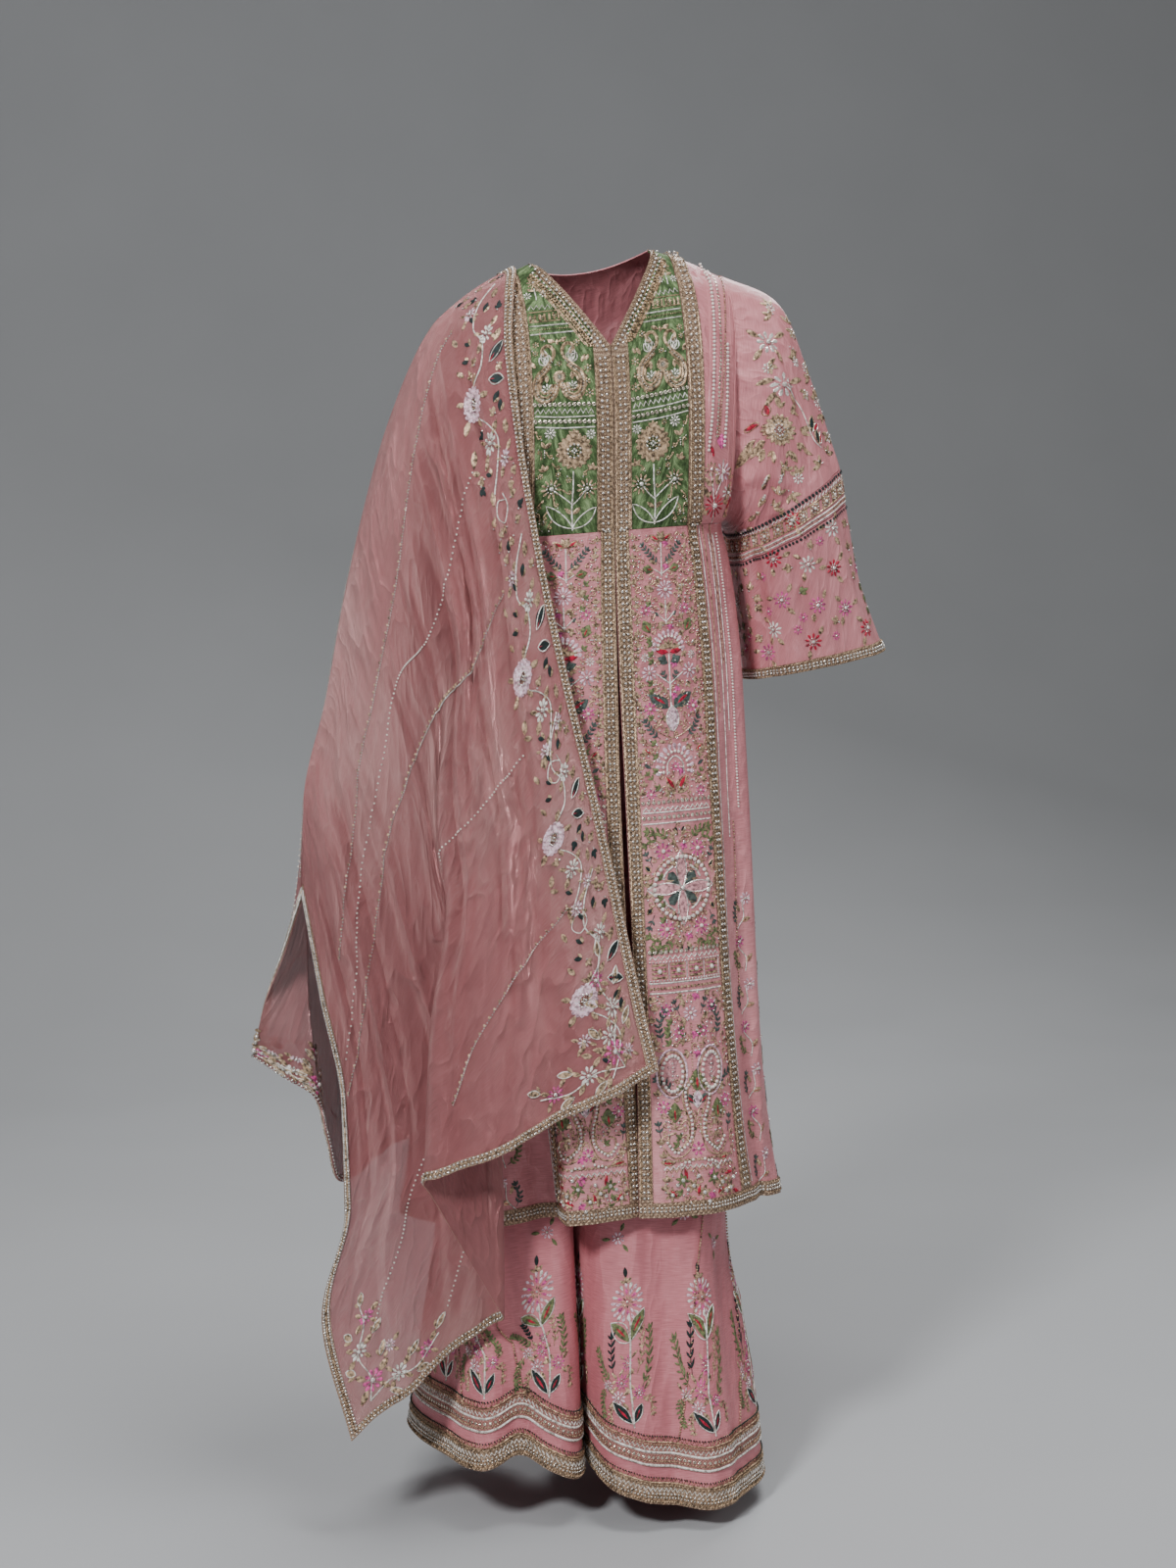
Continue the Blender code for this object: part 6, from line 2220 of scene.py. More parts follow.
    def zigzag(self, finish: str, start: Flat, end: Flat, pitch: float, height: float,
               width: float = 1.3) -> None:
        """Lay a zigzag cord between two points.

        Args:
            finish: the finish's name.
            start: where it begins.
            end: where it ends.
            pitch: the length of one zigzag.
            height: the height of one zigzag.
            width: the cord's width in millimetres.
        """
        a, b = np.array(start, dtype=float), np.array(end, dtype=float)
        count = max(int(np.linalg.norm(b - a) / pitch), 2) * 2
        run = a + (b - a) * (np.arange(count + 1) / count)[:, None]
        aside = np.array([-(b - a)[1], (b - a)[0]]) / np.linalg.norm(b - a)
        run += aside * (np.where(np.arange(count + 1) % 2, 0.5, -0.5) * height)[:, None]
        self.stroke(finish, run, width, CORD_HEIGHT * width)

    def daisy(self, radius: float, petals: int, finish: str, centre: str = "pearl",
              width: float = 0.8) -> None:
        """Stitch a round flower of narrow petals with a bead at its centre.

        Args:
            radius: the flower's radius in millimetres.
            petals: how many petals it has.
            finish: the petals' finish.
            centre: the bead's finish.
            width: a petal's width, as a share of the space for it.
        """
        inside, girth = 0.3, 2 * math.pi * 0.7 * radius
        self.petals((360.0 * i / petals for i in range(petals)), inside * radius,
                    (1 - inside) * radius, width * girth / petals, finish, rounded=True)
        self.beads(Bead.PEARL, centre, [(0, 0)], 0.24 * radius)

    def bloom(self, x: float, y: float, radius: float) -> None:
        """Stitch a small pink flower with a pearl and silver beads round it.

        Args:
            x: how far across it lies.
            y: how far up it lies.
            radius: the flower's radius in millimetres.
        """
        spot = self.at(x, y)
        spot.daisy(radius, 7, "magenta", "pearl", width=0.75)
        spot.ring(Bead.SEED, "silver", radius * 0.98, 7, 1.1)

    def sunflower(self, radius: float, outer: str, inner: str, count: int = 16) -> None:
        """Stitch a large flower: scalloped edge, a ring of petals and a beaded heart.

        Args:
            radius: the flower's radius in millimetres.
            outer: the edge's finish.
            inner: the petals' finish.
            count: how many petals a ring has.
        """
        circle = np.linspace(0, 2 * math.pi, 25)[:-1]
        self.stroke(outer, 0.62 * radius * np.stack([np.sin(circle), np.cos(circle)], axis=1),
                    0.5 * radius, 0.5, True)
        for reach, length, girth, lean in ((0.5, 0.5, 0.82, 0), (0.3, 0.32, 0.5, 11)):
            self.petals((360.0 * i / count for i in range(count)), reach * radius, length * radius,
                        2 * math.pi * radius * girth / count, outer, lean, rounded=True)
        for kind, finish, reach, beads, size in (
                (Bead.SEED, inner, 0.58, count, 0.05), (Bead.PEARL, "silver", 0.36, 10, 0.075),
                (Bead.SEED, "gold", 0.23, 8, 0.06), (Bead.PEARL, "silver", 0.11, 4, 0.08)):
            self.ring(kind, finish, reach * radius, beads, size * radius)

    def fern(self, points: Sequence[Flat], leaf: float, finish: str, pitch: float = 5.2) -> None:
        """Stitch small leaves in pairs along a curve.

        Args:
            points: the curve's points.
            leaf: a leaf's length.
            finish: the leaves' finish.
            pitch: the space between two pairs.
        """
        run, leaf = smooth(points, pitch), 1.35 * leaf
        self.cord(finish, points, 0.8)
        for a, b in zip(run[:-1], run[1:]):
            turn = math.degrees(math.atan2(-(b - a)[0], (b - a)[1]))
            for side in (-1, 1):
                self.leaf(b[0], b[1], turn + side * 42, leaf, leaf * 0.45, finish)
        last = run[-1] - run[-2]
        self.leaf(run[-1][0], run[-1][1], math.degrees(math.atan2(-last[0], last[1])), leaf,
                  leaf * 0.5, finish)

    def ferns(self, *rows: tuple) -> None:
        """Stitch several ferns, each row what fern takes."""
        for row in rows:
            self.fern(*row)

    def bud(self, size: float, outer: str = "olive", heart: str = "crimson") -> None:
        """Stitch a pointed bud: a ragged leaf with a small filled heart.

        Args:
            size: the bud's length in millimetres.
            outer: the leaf's finish.
            heart: the heart's finish.
        """
        self.leaf(0, 0, 0, size, size * 0.62, outer)
        for side in (-1, 1):
            self.leaf(0, size * 0.15, side * 38, size * 0.62, size * 0.24, outer)
            self.leaf(0, size * 0.42, side * 30, size * 0.42, size * 0.18, outer)
        self.stroke(heart, np.array([(0, 0.16), (0, 0.34), (0, 0.52), (0, 0.62)]) * size,
                    np.array([0.08, 0.24, 0.2, 0.05]) * size, 1.3)


# ---------------------------------------------------------------- dressing of the kurta
STRIP_LIFT = 0.0015

SCROLL = [(-3, -2), (0, 2.5), (3, 1), (2, -1.5), (0, -0.5)]


def strip(pen: Pen, near: np.ndarray, far: np.ndarray, pitch: float = 7.2) -> None:
    """Dress a gold strip: cords on its edges, gold seeds, and pairs of silver beads.

    Args:
        pen: a pen at the height of the strip's face.
        near: points of one edge, in millimetres.
        far: points of the other edge.
        pitch: the space between two pairs.
    """
    def between(share: float) -> np.ndarray:
        """Points at a share of the strip's width."""
        return near * (1 - share) + far * share

    for share in (0.06, 0.94):
        pen.stroke("gold", even(between(share), 4.0), 1.6, 0.8)
    for share in (0.17, 0.50, 0.83):
        pen.row(Bead.SEED, "gold", between(share), 3.2, 1.0)
    for share in (0.33, 0.67):
        pen.row(Bead.PEARL, "silver", between(share), pitch, 1.75)


@dataclass
class YokeWork:
    """The needlework of a yoke half and its side front, mirrored from side to side."""

    strip_width: float = 20.0
    neck_half: float = 75.0
    neck_drop: float = 118.0

    def neck(self, pen: Pen, raised: Pen) -> None:
        """Dress the strip along the V of the neck, over the trim and the velvet beside it.

        Args:
            pen: the pen of the sheet to stitch on.
            raised: the pen that draws on top of the trims.
        """
        low, high = np.array([1.5, -self.neck_drop - 2]), np.array([self.neck_half - 1, -5.0])
        run = high - low
        aside = np.array([run[1], -run[0]]) / np.linalg.norm(run)
        for offset, kind, finish, pitch, radius in (
                (1.6, Bead.SEED, "gold", 3.2, 1.2), (5.0, Bead.PEARL, "silver", 6.0, 1.9)):
            raised.row(kind, finish, [low + aside * offset, high + aside * offset], pitch, radius)
        for offset, kind, finish, pitch, radius in (
                (10.0, Bead.PEARL, "silver", 6.0, 1.9), (13.5, Bead.PEARL, "gold", 4.0, 1.7),
                (16.5, Bead.SEED, "gold", 3.2, 1.2)):
            first = low + aside * offset + run * (0.02 + 0.006 * offset)
            pen.row(kind, finish, [first, high + aside * offset - run * 0.05], pitch, radius)
        for offset in (7.6, 11.8, 15.2, 18.2):
            first = low + aside * offset + run * (0.02 + 0.006 * offset)
            pen.cord("gold", [first, high + aside * offset - run * 0.05], 1.7)
        pen.cord("gold", [low + aside * self.strip_width + run * 0.16,
                          high + aside * self.strip_width - run * 0.08], 1.7)

    def bands(self, pen: Pen) -> None:
        """Stitch the rows of cords, bars, zigzags and sequins across the velvet.

        Args:
            pen: the pen of the sheet to stitch on.
        """
        pen.zigzag("white", (60, -61), (92, -58), 6.0, 5.0, 1.5)
        for y in (-66, -78):
            pen.cord("gold", [(56, y), (93, y + 2)], 1.4)
        pen.at(58, -72).bars((5.5 * i for i in range(7)), 4, True, 2.4, 0.8)
        for x in (63, 79, 90):
            pen.at(x, -72).daisy(3.4, 6, "gold", "silver")
        for y in (-84, -94):
            pen.cord("white", [(46 + y / 3 + 28, y), (93, y + 3)], 1.5)
        pen.row(Bead.SEED, "gold", [(47, -89), (93, -86)], 2.8, 1.0)
        fall = 8.0
        pen.row(Bead.SEQUIN, "sequin", [(24, -176 - fall), (93, -176)], 5.6, 2.6)
        pen.zigzag("white", (24, -184 - fall), (93, -184), 6.0, 5.2, 1.6)
        pen.cord("white", [(23, -190 - fall), (60, -191 - fall / 2), (93, -190)], 1.5)
        pen.row(Bead.SEQUIN, "sequin", [(24, -196.5 - fall), (93, -196.5)], 5.6, 2.6)
        pen.cord("white", [(23, -203 - fall), (60, -204 - fall / 2), (93, -203)], 1.5)

    def plants(self, pen: Pen) -> None:
        """Stitch the small sprig, the facing paisleys and the flowering plant.

        Args:
            pen: the pen of the sheet to stitch on.
        """
        top = pen.at(81, -50)
        top.cord("white", [(0, 0), (0, 15)], 1.3)
        top.at(0, 22).daisy(7.5, 9, "gold", "silver")
        lobe = [(1, 22), (6, 8), (16, 1), (26, 6), (30, 20), (26, 34), (15, 44), (7, 53), (5, 62),
                (10, 69), (17, 67), (18, 60), (13, 58)]
        for side in (-1, 1):
            top.at(side * 9, 7).daisy(4.6, 7, "white", "silver")
            top.leaf(0, 12, side * 70, 9, 4, "gold")
            heart = pen.at(63, -176, mirror=side < 0)
            heart.cord("gold", lobe, 4.2)
            heart.cord("gold", [(16 + (x - 16) * 0.72, 22 + (y - 22) * 0.72) for x, y in lobe[:8]],
                       3.2)
            heart.cord("gold", [(16 + (x - 16) * 0.48, 22 + (y - 22) * 0.48) for x, y in lobe[:7]],
                       3.2)
            heart.row(Bead.SEED, "silver", [(16 + (x - 16) * 0.86, 22 + (y - 22) * 0.86)
                                            for x, y in lobe[:8]], 3.4, 1.1, True)
            heart.at(15, 17).daisy(7, 8, "white", "silver")
            heart.leaf(15, 25, 0, 10, 5, "gold")
            for turn in (-34, -6, 22):
                heart.leaf(15, 46, turn, 19 - abs(turn + 6) / 4, 8, "", edge="white")
            heart.row(Bead.SEED, "silver", [(15, 50), (17, 58)], 3.2, 1.2)
            heart.leaves((27, 44, -30, 10, 5, "gold"), (2, 72, -60, 9, 4, "gold"))
        pen.at(63, -146).sunflower(8.0, "gold", "silver", 12)
        for x, y, size in ((29, -140, 5), (31, -156, 5), (28, -170, 5.5), (41, -174, 4.5),
                           (84, -171, 4), (40, -108, 4.5), (88, -104, 4)):
            pen.at(x, y).daisy(size, 6, "gold", "silver")
        for x, y, turn in ((36, -146, 120), (37, -163, 60), (30, -131, 20), (50, -172, 80),
                           (75, -174, -80), (63, -108, 0), (57, -105, 40), (69, -105, -40)):
            pen.leaf(x, y, turn, 8, 3.6, "gold")
        plant = pen.at(50, -331)
        plant.cord("white", [(0, 0), (1, 24), (-0.5, 46), (-1, 70)], 1.8)
        plant.at(-2, 94).sunflower(22, "gold", "gold", 18)
        for turn in (-42, 0, 42):
            plant.leaf(-2, 112, turn, 9, 4.4, "gold")
        for x, y, side in ((-17, 48, -1), (25, 51, 1)):
            plant.cord("white", [(0, 30), (x * 0.4, y - 12), (x, y)], 1.3)
            plant.at(x, y).daisy(12.5, 11, "gold", "silver", width=0.65)
            plant.at(x, y).ring(Bead.PEARL, "silver", 5.4, 8, 1.3)
            plant.leaves(
                (0, 19, side * -52, 12, 5, "gold"), (x * 1.3, y + 22, side * -20, 9, 4.5, "gold"),
                (x * 1.3, y + 22, side * -70, 8, 4, "gold"),
                (x * 1.3, y + 22, side * 30, 8, 4, "gold"))
        for turn, length in ((50, 36), (-47, 42)):
            plant.leaf(0, 2, turn, length, 12, "", edge="white", bend=-0.04 if turn > 0 else 0.04)
        for x, y, size in ((26, 118, 7), (-22, 112, 6)):
            plant.at(x, y).daisy(size, 9, "white", "silver")
        plant.leaves((33, 101, 55, 10, 5, "gold"), (33, 101, -20, 9, 4.5, "gold"))
        plant.row(Bead.SEED, "silver", [(33, 98), (33, 90)], 3.0, 1.2)

    def ground(self, pen: Pen) -> None:
        """Fill the bare velvet with gold scrolls and seed flowers.

        Args:
            pen: the pen of the sheet to stitch on.
        """
        def scroll(spot: Pen, i: int) -> None:
            """Stitch one filling figure.

            Args:
                spot: a pen at the figure's place.
                i: the figure's number.
            """
            if i % 3:
                spot.cord("gold", SCROLL, 1.7)
                spot.leaf(-3, -2, 150, 5, 2.6, "gold")
            else:
                spot.daisy(3.6, 6, "gold", "silver")
            spot.beads(Bead.SEED, "silver", [(4, 3)], 1.2)

        chance = np.random.default_rng(5)
        places = [(x + chance.uniform(-2, 2), y + chance.uniform(-2, 2))
                  for y in np.arange(-326.0, -26.0, 7.0) for x in np.arange(26.0, 93.0, 7.0)
                  if x > 20 + (self.neck_half - 2) * (1 + (y + 4) / self.neck_drop)]
        pen.work.fill(pen, places, 4.0, scroll)

    def flank(self, pen: Pen) -> None:
        """Stitch the pearl lines and the corner flowers of the side front.

        Args:
            pen: the pen of the sheet to stitch on.
        """
        pen.row(Bead.PEARL, "pearl", [(142, -24), (121, -250)], 4.6, 2.1)
        pen.row(Bead.SEQUIN, "sequin", [(150, -34), (131, -235)], 4.6, 1.9)
        pen.row(Bead.SEED, "gold", [(159, -44), (142, -170), (134, -235)], 3.4, 1.4)
        pen.row(Bead.PEARL, "pearl", [(151, -130), (142, -246)], 4.6, 2.1)
        for x in (121, 127, 150, 158):
            pen.cord("silk", [(x + 12, -60), (x, -200), (x - 2, -300)], 1.0)
        pen.cord("white", [(133, -334), (130, -300), (124, -275)], 1.3)
        pen.cord("white", [(131, -306), (140, -285), (142, -262)], 1.3)
        pen.at(132, -314).daisy(14, 13, "crimson", "silver", width=0.6)
        pen.at(125, -272).daisy(9, 9, "gold", "silver")
        pen.at(142, -276).daisy(12, 10, "blush", "silver")
        pen.at(139, -250).bud(18, "magenta", "magenta")
        pen.at(152, -300).daisy(9, 9, "white", "silver")
        for x, y, turn in ((126, -292, 40), (122, -305, 20), (150, -300, -30), (152, -285, -10),
                           (146, -312, -40), (120, -325, 30), (150, -328, -25), (134, -290, 0)):
            pen.leaves((x, y, turn, 15, 7, "gold"), (x, y, turn - 50, 10, 4.5, "gold"))
        pen.leaves((128, -258, 15, 14, 4.5, "crimson"), (152, -318, -30, 14, 5, "crimson"))

    def dress(self, pen: Pen, raised: Pen) -> None:
        """Dress one half of the front.

        Args:
            pen: a pen on the velvet, x from the centre and y down from the shoulder.
            raised: the same pen on the trims' face.
        """
        self.neck(pen, raised)
        self.bands(pen)
        self.plants(pen)
        self.flank(pen)
        self.ground(pen)
        for near, far, top in ((2.0, 20.0, -132.0), (96.0, 114.5, -6.0)):
            ends = np.array([(0.0, top), (0.0, -333.0)])
            strip(raised, ends + np.array([near, 0]), ends + np.array([far, 0]))


@dataclass
class PanelWork:
    """The needlework of a centre panel of the skirt, drawn about its middle line."""

    kurta: Kurta
    side: Side

    def edge(self, column: int, inset: float = 0.0) -> np.ndarray:
        """Flat places of a column of the skirt sheet, in millimetres, x across and y up."""
        flat = self.kurta.skirts[self.side].flat
        return np.stack([flat[:, column, 0] * 1000.0 + inset, flat[:, 0, 1] * -1000.0], axis=1)

    def middle(self, pen: Pen, down: float) -> Pen:
        """Take a pen on the middle line, at a distance below the empire seam.

        Args:
            pen: the pen of the sheet to stitch on.
            down: the distance in millimetres.

        Returns:
            The pen there.
        """
        marks = self.kurta.marks[self.side]
        line = (self.edge(marks[1]) + self.edge(marks[5])) / 2
        width = (self.edge(marks[5]) - self.edge(marks[1]))[:, 0]
        x = float(np.interp(down, -line[:, 1], line[:, 0]))
        wide = float(np.interp(down, -line[:, 1], width))
        return pen.at(x, -down, size=min(max(wide / 84.0, 0.9), 1.25))

    def upper(self, pen: Pen) -> None:
        """Stitch the tulip, the buds, the dome flower and the arch flower.

        Args:
            pen: the pen of the sheet to stitch on.
        """
        p = self.middle(pen, 11)
        for half in p.pair(0, -5):
            half.leaves(
                (1, 0, -62, 17, 7, "gold"), (3, 1, -60, 12, 5, "crimson"),
                (0, 0, -18, 13, 6, "gold"))
        p.cord("white", [(0, -6), (0, -47)], 1.6)
        for half in p.pair(0, -30):
            half.fern([(2, -2), (12, 6), (24, 20)], 4.6, "teal")
            half.leaf(6, -2, -62, 13, 5, "gold")
            half.cord("white", [(0, -14), (10, -8)], 1.4)
            half.at(11, -9, -78).bud(15)
        p.beads(Bead.PEARL, "pearl", [(-6, -48), (6, -48)], 1.6)
        p = self.middle(pen, 73)
        p.daisy(11, 12, "blush", "silver")
        for half in p.pair(14, 2):
            half.leaves((0, -3, -65, 14, 8, "gold"), (3, -2, -65, 7, 3, "dark"))
            half.beads(Bead.PEARL, "silver", [(13, -8), (12, -12)], 1.3)
        p.cord("white", [(0, -12), (0, -39)], 1.6)
        for half in p.pair(0, -22):
            half.leaf(1, 2, -55, 10, 5, "gold")
            half.cord("white", [(0, -14), (8, -7), (11, -3)], 1.3)
            half.leaves((10, -8, -30, 7, 3, "teal"), (0, -17, -75, 10, 4.5, "gold"))
            half.bloom(25, 0, 6.5)
        p = self.middle(pen, 134)
        for half in p.pair(0, 0):
            half.at(22, 10, -28).bud(16)
            half.leaves((1, -12, -80, 15, 6.5, "crimson"), (3, -9, -70, 14, 5, "gold"))
            half.at(29, -16).daisy(5, 8, "white", "silver")
        dome = np.radians(range(-90, 91, 18))
        p.at(0, -8).petals(range(-90, 91, 18), 13, 8, 5.2, "blush", rounded=True)
        p.beads(Bead.PEARL, "pearl", np.stack([-13.5 * np.sin(dome), 13.5 * np.cos(dome) - 8], 1),
                1.7)
        for i in range(5):
            p.leaf(0, -8, -60 + 30 * i, 11, 3.5, "gold")
        p.cord("white", [(0, -14), (0, -74)], 1.7)
        for half in p.pair(0, -24):
            half.leaves((2, 0, -60, 14, 9, "teal"), (4, 3, -25, 8, 4, "teal"))
            half.cord("white", [(0, -22), (14, -12), (17, -10)], 1.4)
            half.fern([(3, -20), (7, -12)], 4, "teal")
            half.at(25, -9).daisy(9, 9, "blush", "silver")
            half.leaves(
                (3, -48, -56, 28, 14, "teal"), (5, -47, -20, 12, 7, "teal"),
                (7, -44, -57, 18, 6.5, "crimson"))
        p = self.middle(pen, 226)
        p.leaves((0, -13, 0, 27, 15, "blush", "white"), (0, -7, 0, 14, 5, "silk", "white"))
        for half in p.pair(0, 0):
            half.bloom(26, 12, 7.5)
            half.cord("gold", [(0, -20), (12, -16), (24, -8)], 1.2)
            half.fern([(16, -20), (24, -13), (31, -2)], 4.4, "teal")
            half.leaves(
                (27, -36, -50, 12, 5.5, "gold"), (28, -35, -50, 9, 4, "crimson"),
                (9, -24, -80, 10, 3.6, "gold"))
        p = self.middle(pen, 287)
        for i in range(13):
            a = math.radians(-100 + 200 * i / 12)
            p.leaf(-16 * math.sin(a), 2 + 19 * math.cos(a), math.degrees(a), 8, 6, "blush",
                   rounded=True)
            p.beads(Bead.PEARL, "pearl", [(-15 * math.sin(a), 2 + 18 * math.cos(a))], 1.8)
        p.cord("white", [(-10, -4), (-9, 8), (0, 15), (9, 8), (10, -4)], 1.5)
        p.bloom(0, 4, 5.5)
        for half in p.pair(0, -16):
            half.leaves(
                (1, -6, -34, 20, 9, "gold"), (2, -4, -35, 17, 6.5, "crimson"),
                (0, -8, -75, 16, 4, "gold"))
            half.bloom(30, -7, 6)
            half.fern([(24, 4), (31, 13)], 4, "olive")
            half.leaf(28, 20, -60, 9, 4, "teal")
            half.beads(Bead.PEARL, "silver", [(25, 27), (18, -2), (21, 36)], 1.2)

    def rows(self, pen: Pen, names: Sequence[tuple[str, float]]) -> None:
        """Stitch rows across the panel, each a kind and a distance below the empire seam.

        Args:
            pen: the pen of the sheet to stitch on.
            names: each row's kind and its distance in millimetres.
        """
        for kind, down in names:
            p = self.middle(pen, down)
            if kind == "sequins":
                p.row(Bead.SEQUIN, "sequin", [(-39, 0), (39, 0)], 5.4, 2.3)
            elif kind == "bugles":
                p.row(Bead.SEQUIN, "gold", [(-39, 0), (39, 0)], 3.6, 1.6)
            elif kind == "zigzag":
                p.zigzag("white", (-39, 0), (39, 0), 6.0, 3.4, 1.6)
            else:
                p.cord("white", [(-40, 0), (40, 0)], 1.6)

    def medallion(self, pen: Pen) -> None:
        """Stitch the four-petal medallion in its ring of pearls, and the flowers about it.

        Args:
            pen: the pen of the sheet to stitch on.
        """
        p = self.middle(pen, 426)
        p.ring(Bead.PEARL, "pearl", 31, 36, 2.3)
        p.cord("gold", [(34 * math.sin(a), 34 * math.cos(a)) for a in np.linspace(0, 6.0, 21)], 1.2)
        for i in range(4):
            turn = 90.0 * i
            p.leaves((0, 0, turn, 38, 11.5, "rose", "silver"), (0, 8, turn, 20, 3.0, "gold"))
            arc = [(24 * math.sin(math.radians(a)), 24 * math.cos(math.radians(a)))
                   for a in (turn + 24, turn + 45, turn + 66)]
            p.cord("white", arc, 2.2)
            a = math.radians(turn + 45)
            p.leaf(5 * math.sin(a), 5 * math.cos(a), -turn - 45, 17, 13, "teal", rounded=True)
        p.beads(Bead.PEARL, "silver", [(0, 0)], 2.6)
        for half in p.pair(0, 0):
            half.line("white", [(31, 6), (38, 0), (31, -6)], 1.5)
            for y, flip in ((38, 1), (-40, -1)):
                half.at(20, y).daisy(9, 8, "magenta", "pearl", width=0.7)
                half.at(20, y).ring(Bead.SEED, "silver", 9, 8, 1.2)
                half.ferns(
                    ([(12, y + 9 * flip), (20, y + 17 * flip), (33, y + 20 * flip)], 5.5, "olive"),
                    ([(22, y + 8 * flip), (30, y + 12 * flip), (37, y + 8 * flip)], 5.0, "olive"))
                half.leaves(
                    (2, y + 14 * flip, 90 - 90 * flip - flip * 35, 10, 5, "gold"),
                    (2.5, y + 18 * flip, 90 - 90 * flip - flip * 30, 6, 3, "dark"))
                half.fern([(32, y * 0.62), (37, y * 0.9)], 4, "teal")
            half.leaves((34, 18, -40, 8, 4, "dark", "gold"), (34, -18, -140, 8, 4, "dark", "gold"))

    def squares(self, pen: Pen) -> None:
        """Stitch the band of gold squares, each with a pearl.

        Args:
            pen: the pen of the sheet to stitch on.
        """
        p = self.middle(pen, 523)
        for y in (9, -9):
            p.row(Bead.SEED, "silver", [(-39, y), (39, y)], 3.4, 1.2)
        for i in range(4):
            square = p.at(-29.5 + 19.6 * i, 0)
            square.bars((-6, -2, 2, 6), 7.5, False, 2.4, 0.8)
            square.beads(Bead.PEARL, "pearl", [(0, 0)], 2.4)
            square.ring(Bead.SEED, "magenta", 4.4, 8, 0.9)
            square.line("silver", [(9.8, -8), (9.8, 8)], 1.2)

    def lower(self, pen: Pen) -> None:
        """Stitch the flowers, the pearl paisleys, the long curls and the dense foot band.

        Args:
            pen: the pen of the sheet to stitch on.
        """
        p = self.middle(pen, 580)
        p.at(0, 4).daisy(7.5, 9, "blush", "pearl")
        p.row(Bead.SEED, "gold", [(0, -6), (0, -76)], 3.0, 0.9)
        for half in p.pair(0, 0):
            half.bloom(25, 9, 6.5)
            half.bloom(13, -14, 6)
            half.ferns(
                ([(30, -22), (33, -6), (28, 6)], 4.4, "teal"), ([(6, -24), (9, -12)], 3.8, "olive"),
                ([(11, 2), (16, 14)], 3.8, "teal"))
            drop = half.at(17, -70)
            turn = np.linspace(0, 2 * math.pi, 22)[:-1]
            ring = np.stack([4 + 10.5 * np.sin(turn), 18 + 17 * np.cos(turn)], 1)
            drop.beads(Bead.PEARL, "pearl", ring, 1.9)
            for finish, wide, tall, width in (("gold", 13.5, 20.5, 1.3), ("blush", 15.5, 23, 2.2)):
                oval = np.stack([4 + wide * np.sin(turn), 18 + tall * np.cos(turn)], 1)
                drop.cord(finish, oval, width, True)
            drop.fern([(4, 6), (5, 18), (3, 30)], 5.5, "rose")
            drop.row(Bead.SEED, "silver", [(4, 8), (4, 28)], 4.0, 1.3)
            half.leaf(7, -70, -60, 12, 5, "olive")
        p = self.middle(pen, 694)
        p.at(0, 20).bud(22)
        p.leaf(0, 5, 0, 16, 9, "blush", edge="white")
        p.at(0, -34).daisy(7, 7, "magenta", "pearl")
        for half in p.pair(0, 0):
            half.leaves((1, 9, -50, 15, 7, "teal"), (3, 10, -50, 10, 4, "crimson"))
            long = [(9, 30), (15, 22), (14, 8), (9, -8), (10, -24), (20, -34), (29, -30), (30, -20),
                    (23, -17)]
            half.cord("gold", long, 2.0)
            inner = [(x - 5.5, y + 1) for x, y in long[:5]]
            half.cord("gold", inner + [(12, -38), (26, -41), (36, -30)], 1.6)
            half.row(Bead.PEARL, "pearl",
                     [(x - 2.6, y) for x, y in long[:6]] + [(24, -36), (32, -26)], 4.0, 1.6, True)
            half.at(24, -8).bud(20)
            half.leaf(24, -8, 180, 6, 3, "gold")
            half.bloom(35, 8, 7)
            half.ferns(([(38, -22), (40, -10)], 4.2, "teal"),
                       ([(26, 22), (32, 30), (40, 34)], 4.4, "teal"))
            half.leaves((24, -46, -82, 15, 7, "gold"), (26, -46, -82, 12, 4.5, "crimson"))
            half.beads(Bead.PEARL, "pearl", [(6, -44), (10, -46), (14, -46), (18, -48)], 1.6)
        p = self.middle(pen, 780)
        for i in range(7):
            x, y = -33 + 11 * i, (-7, 6, 0)[i % 3]
            for turn in range(0, 360, 60):
                p.leaf(x, y, turn + 15 * i, 8, 3.4, ("gold", "olive", "gold")[i % 3])
            p.beads(Bead.PEARL, "silver", [(x, y), (x + 5, y + 9 - 18 * (i % 2))], 2.3)
            p.leaf(x + 5, 7 if i % 2 else -10, 40 - 25 * i, 10, 3.6,
                   "magenta" if i == 3 else "crimson")
        for y in (16, -17):
            p.zigzag("gold", (-39, y), (39, y), 5.0, 4.0, 1.6)

    def filler(self, pen: Pen) -> None:
        """Fill the panel's bare ground with gold scrolls, twigs and seeds.

        Args:
            pen: the pen of the sheet to stitch on.
        """
        def figure(spot: Pen, i: int) -> None:
            """Stitch one filling figure.

            Args:
                spot: a pen at the figure's place.
                i: the figure's number.
            """
            if i % 3 == 0:
                finish = ("gold", "olive", "gold", "magenta", "gold", "gold", "gold")[i // 3 % 7]
                for turn in (0, -48, 48):
                    spot.leaf(0, -3, turn, 7.5 - abs(turn) / 30, 3.2, finish)
            else:
                spot.cord("gold", SCROLL, 1.5, step=3.0)
            spot.beads(Bead.SEED, "silver", [(0, -4.5)], 1.3)

        chance = np.random.default_rng(7)
        for down in np.arange(10.0, 800.0, 4.4):
            if 318 < down < 350 or 496 < down < 554 or 742 < down < 760:
                continue
            places = [(x + chance.uniform(-2.4, 2.4), chance.uniform(-2, 2))
                      for x in np.arange(-38.0, 39.0, 4.8)]
            pen.work.fill(self.middle(pen, down), places, 3.0, figure)

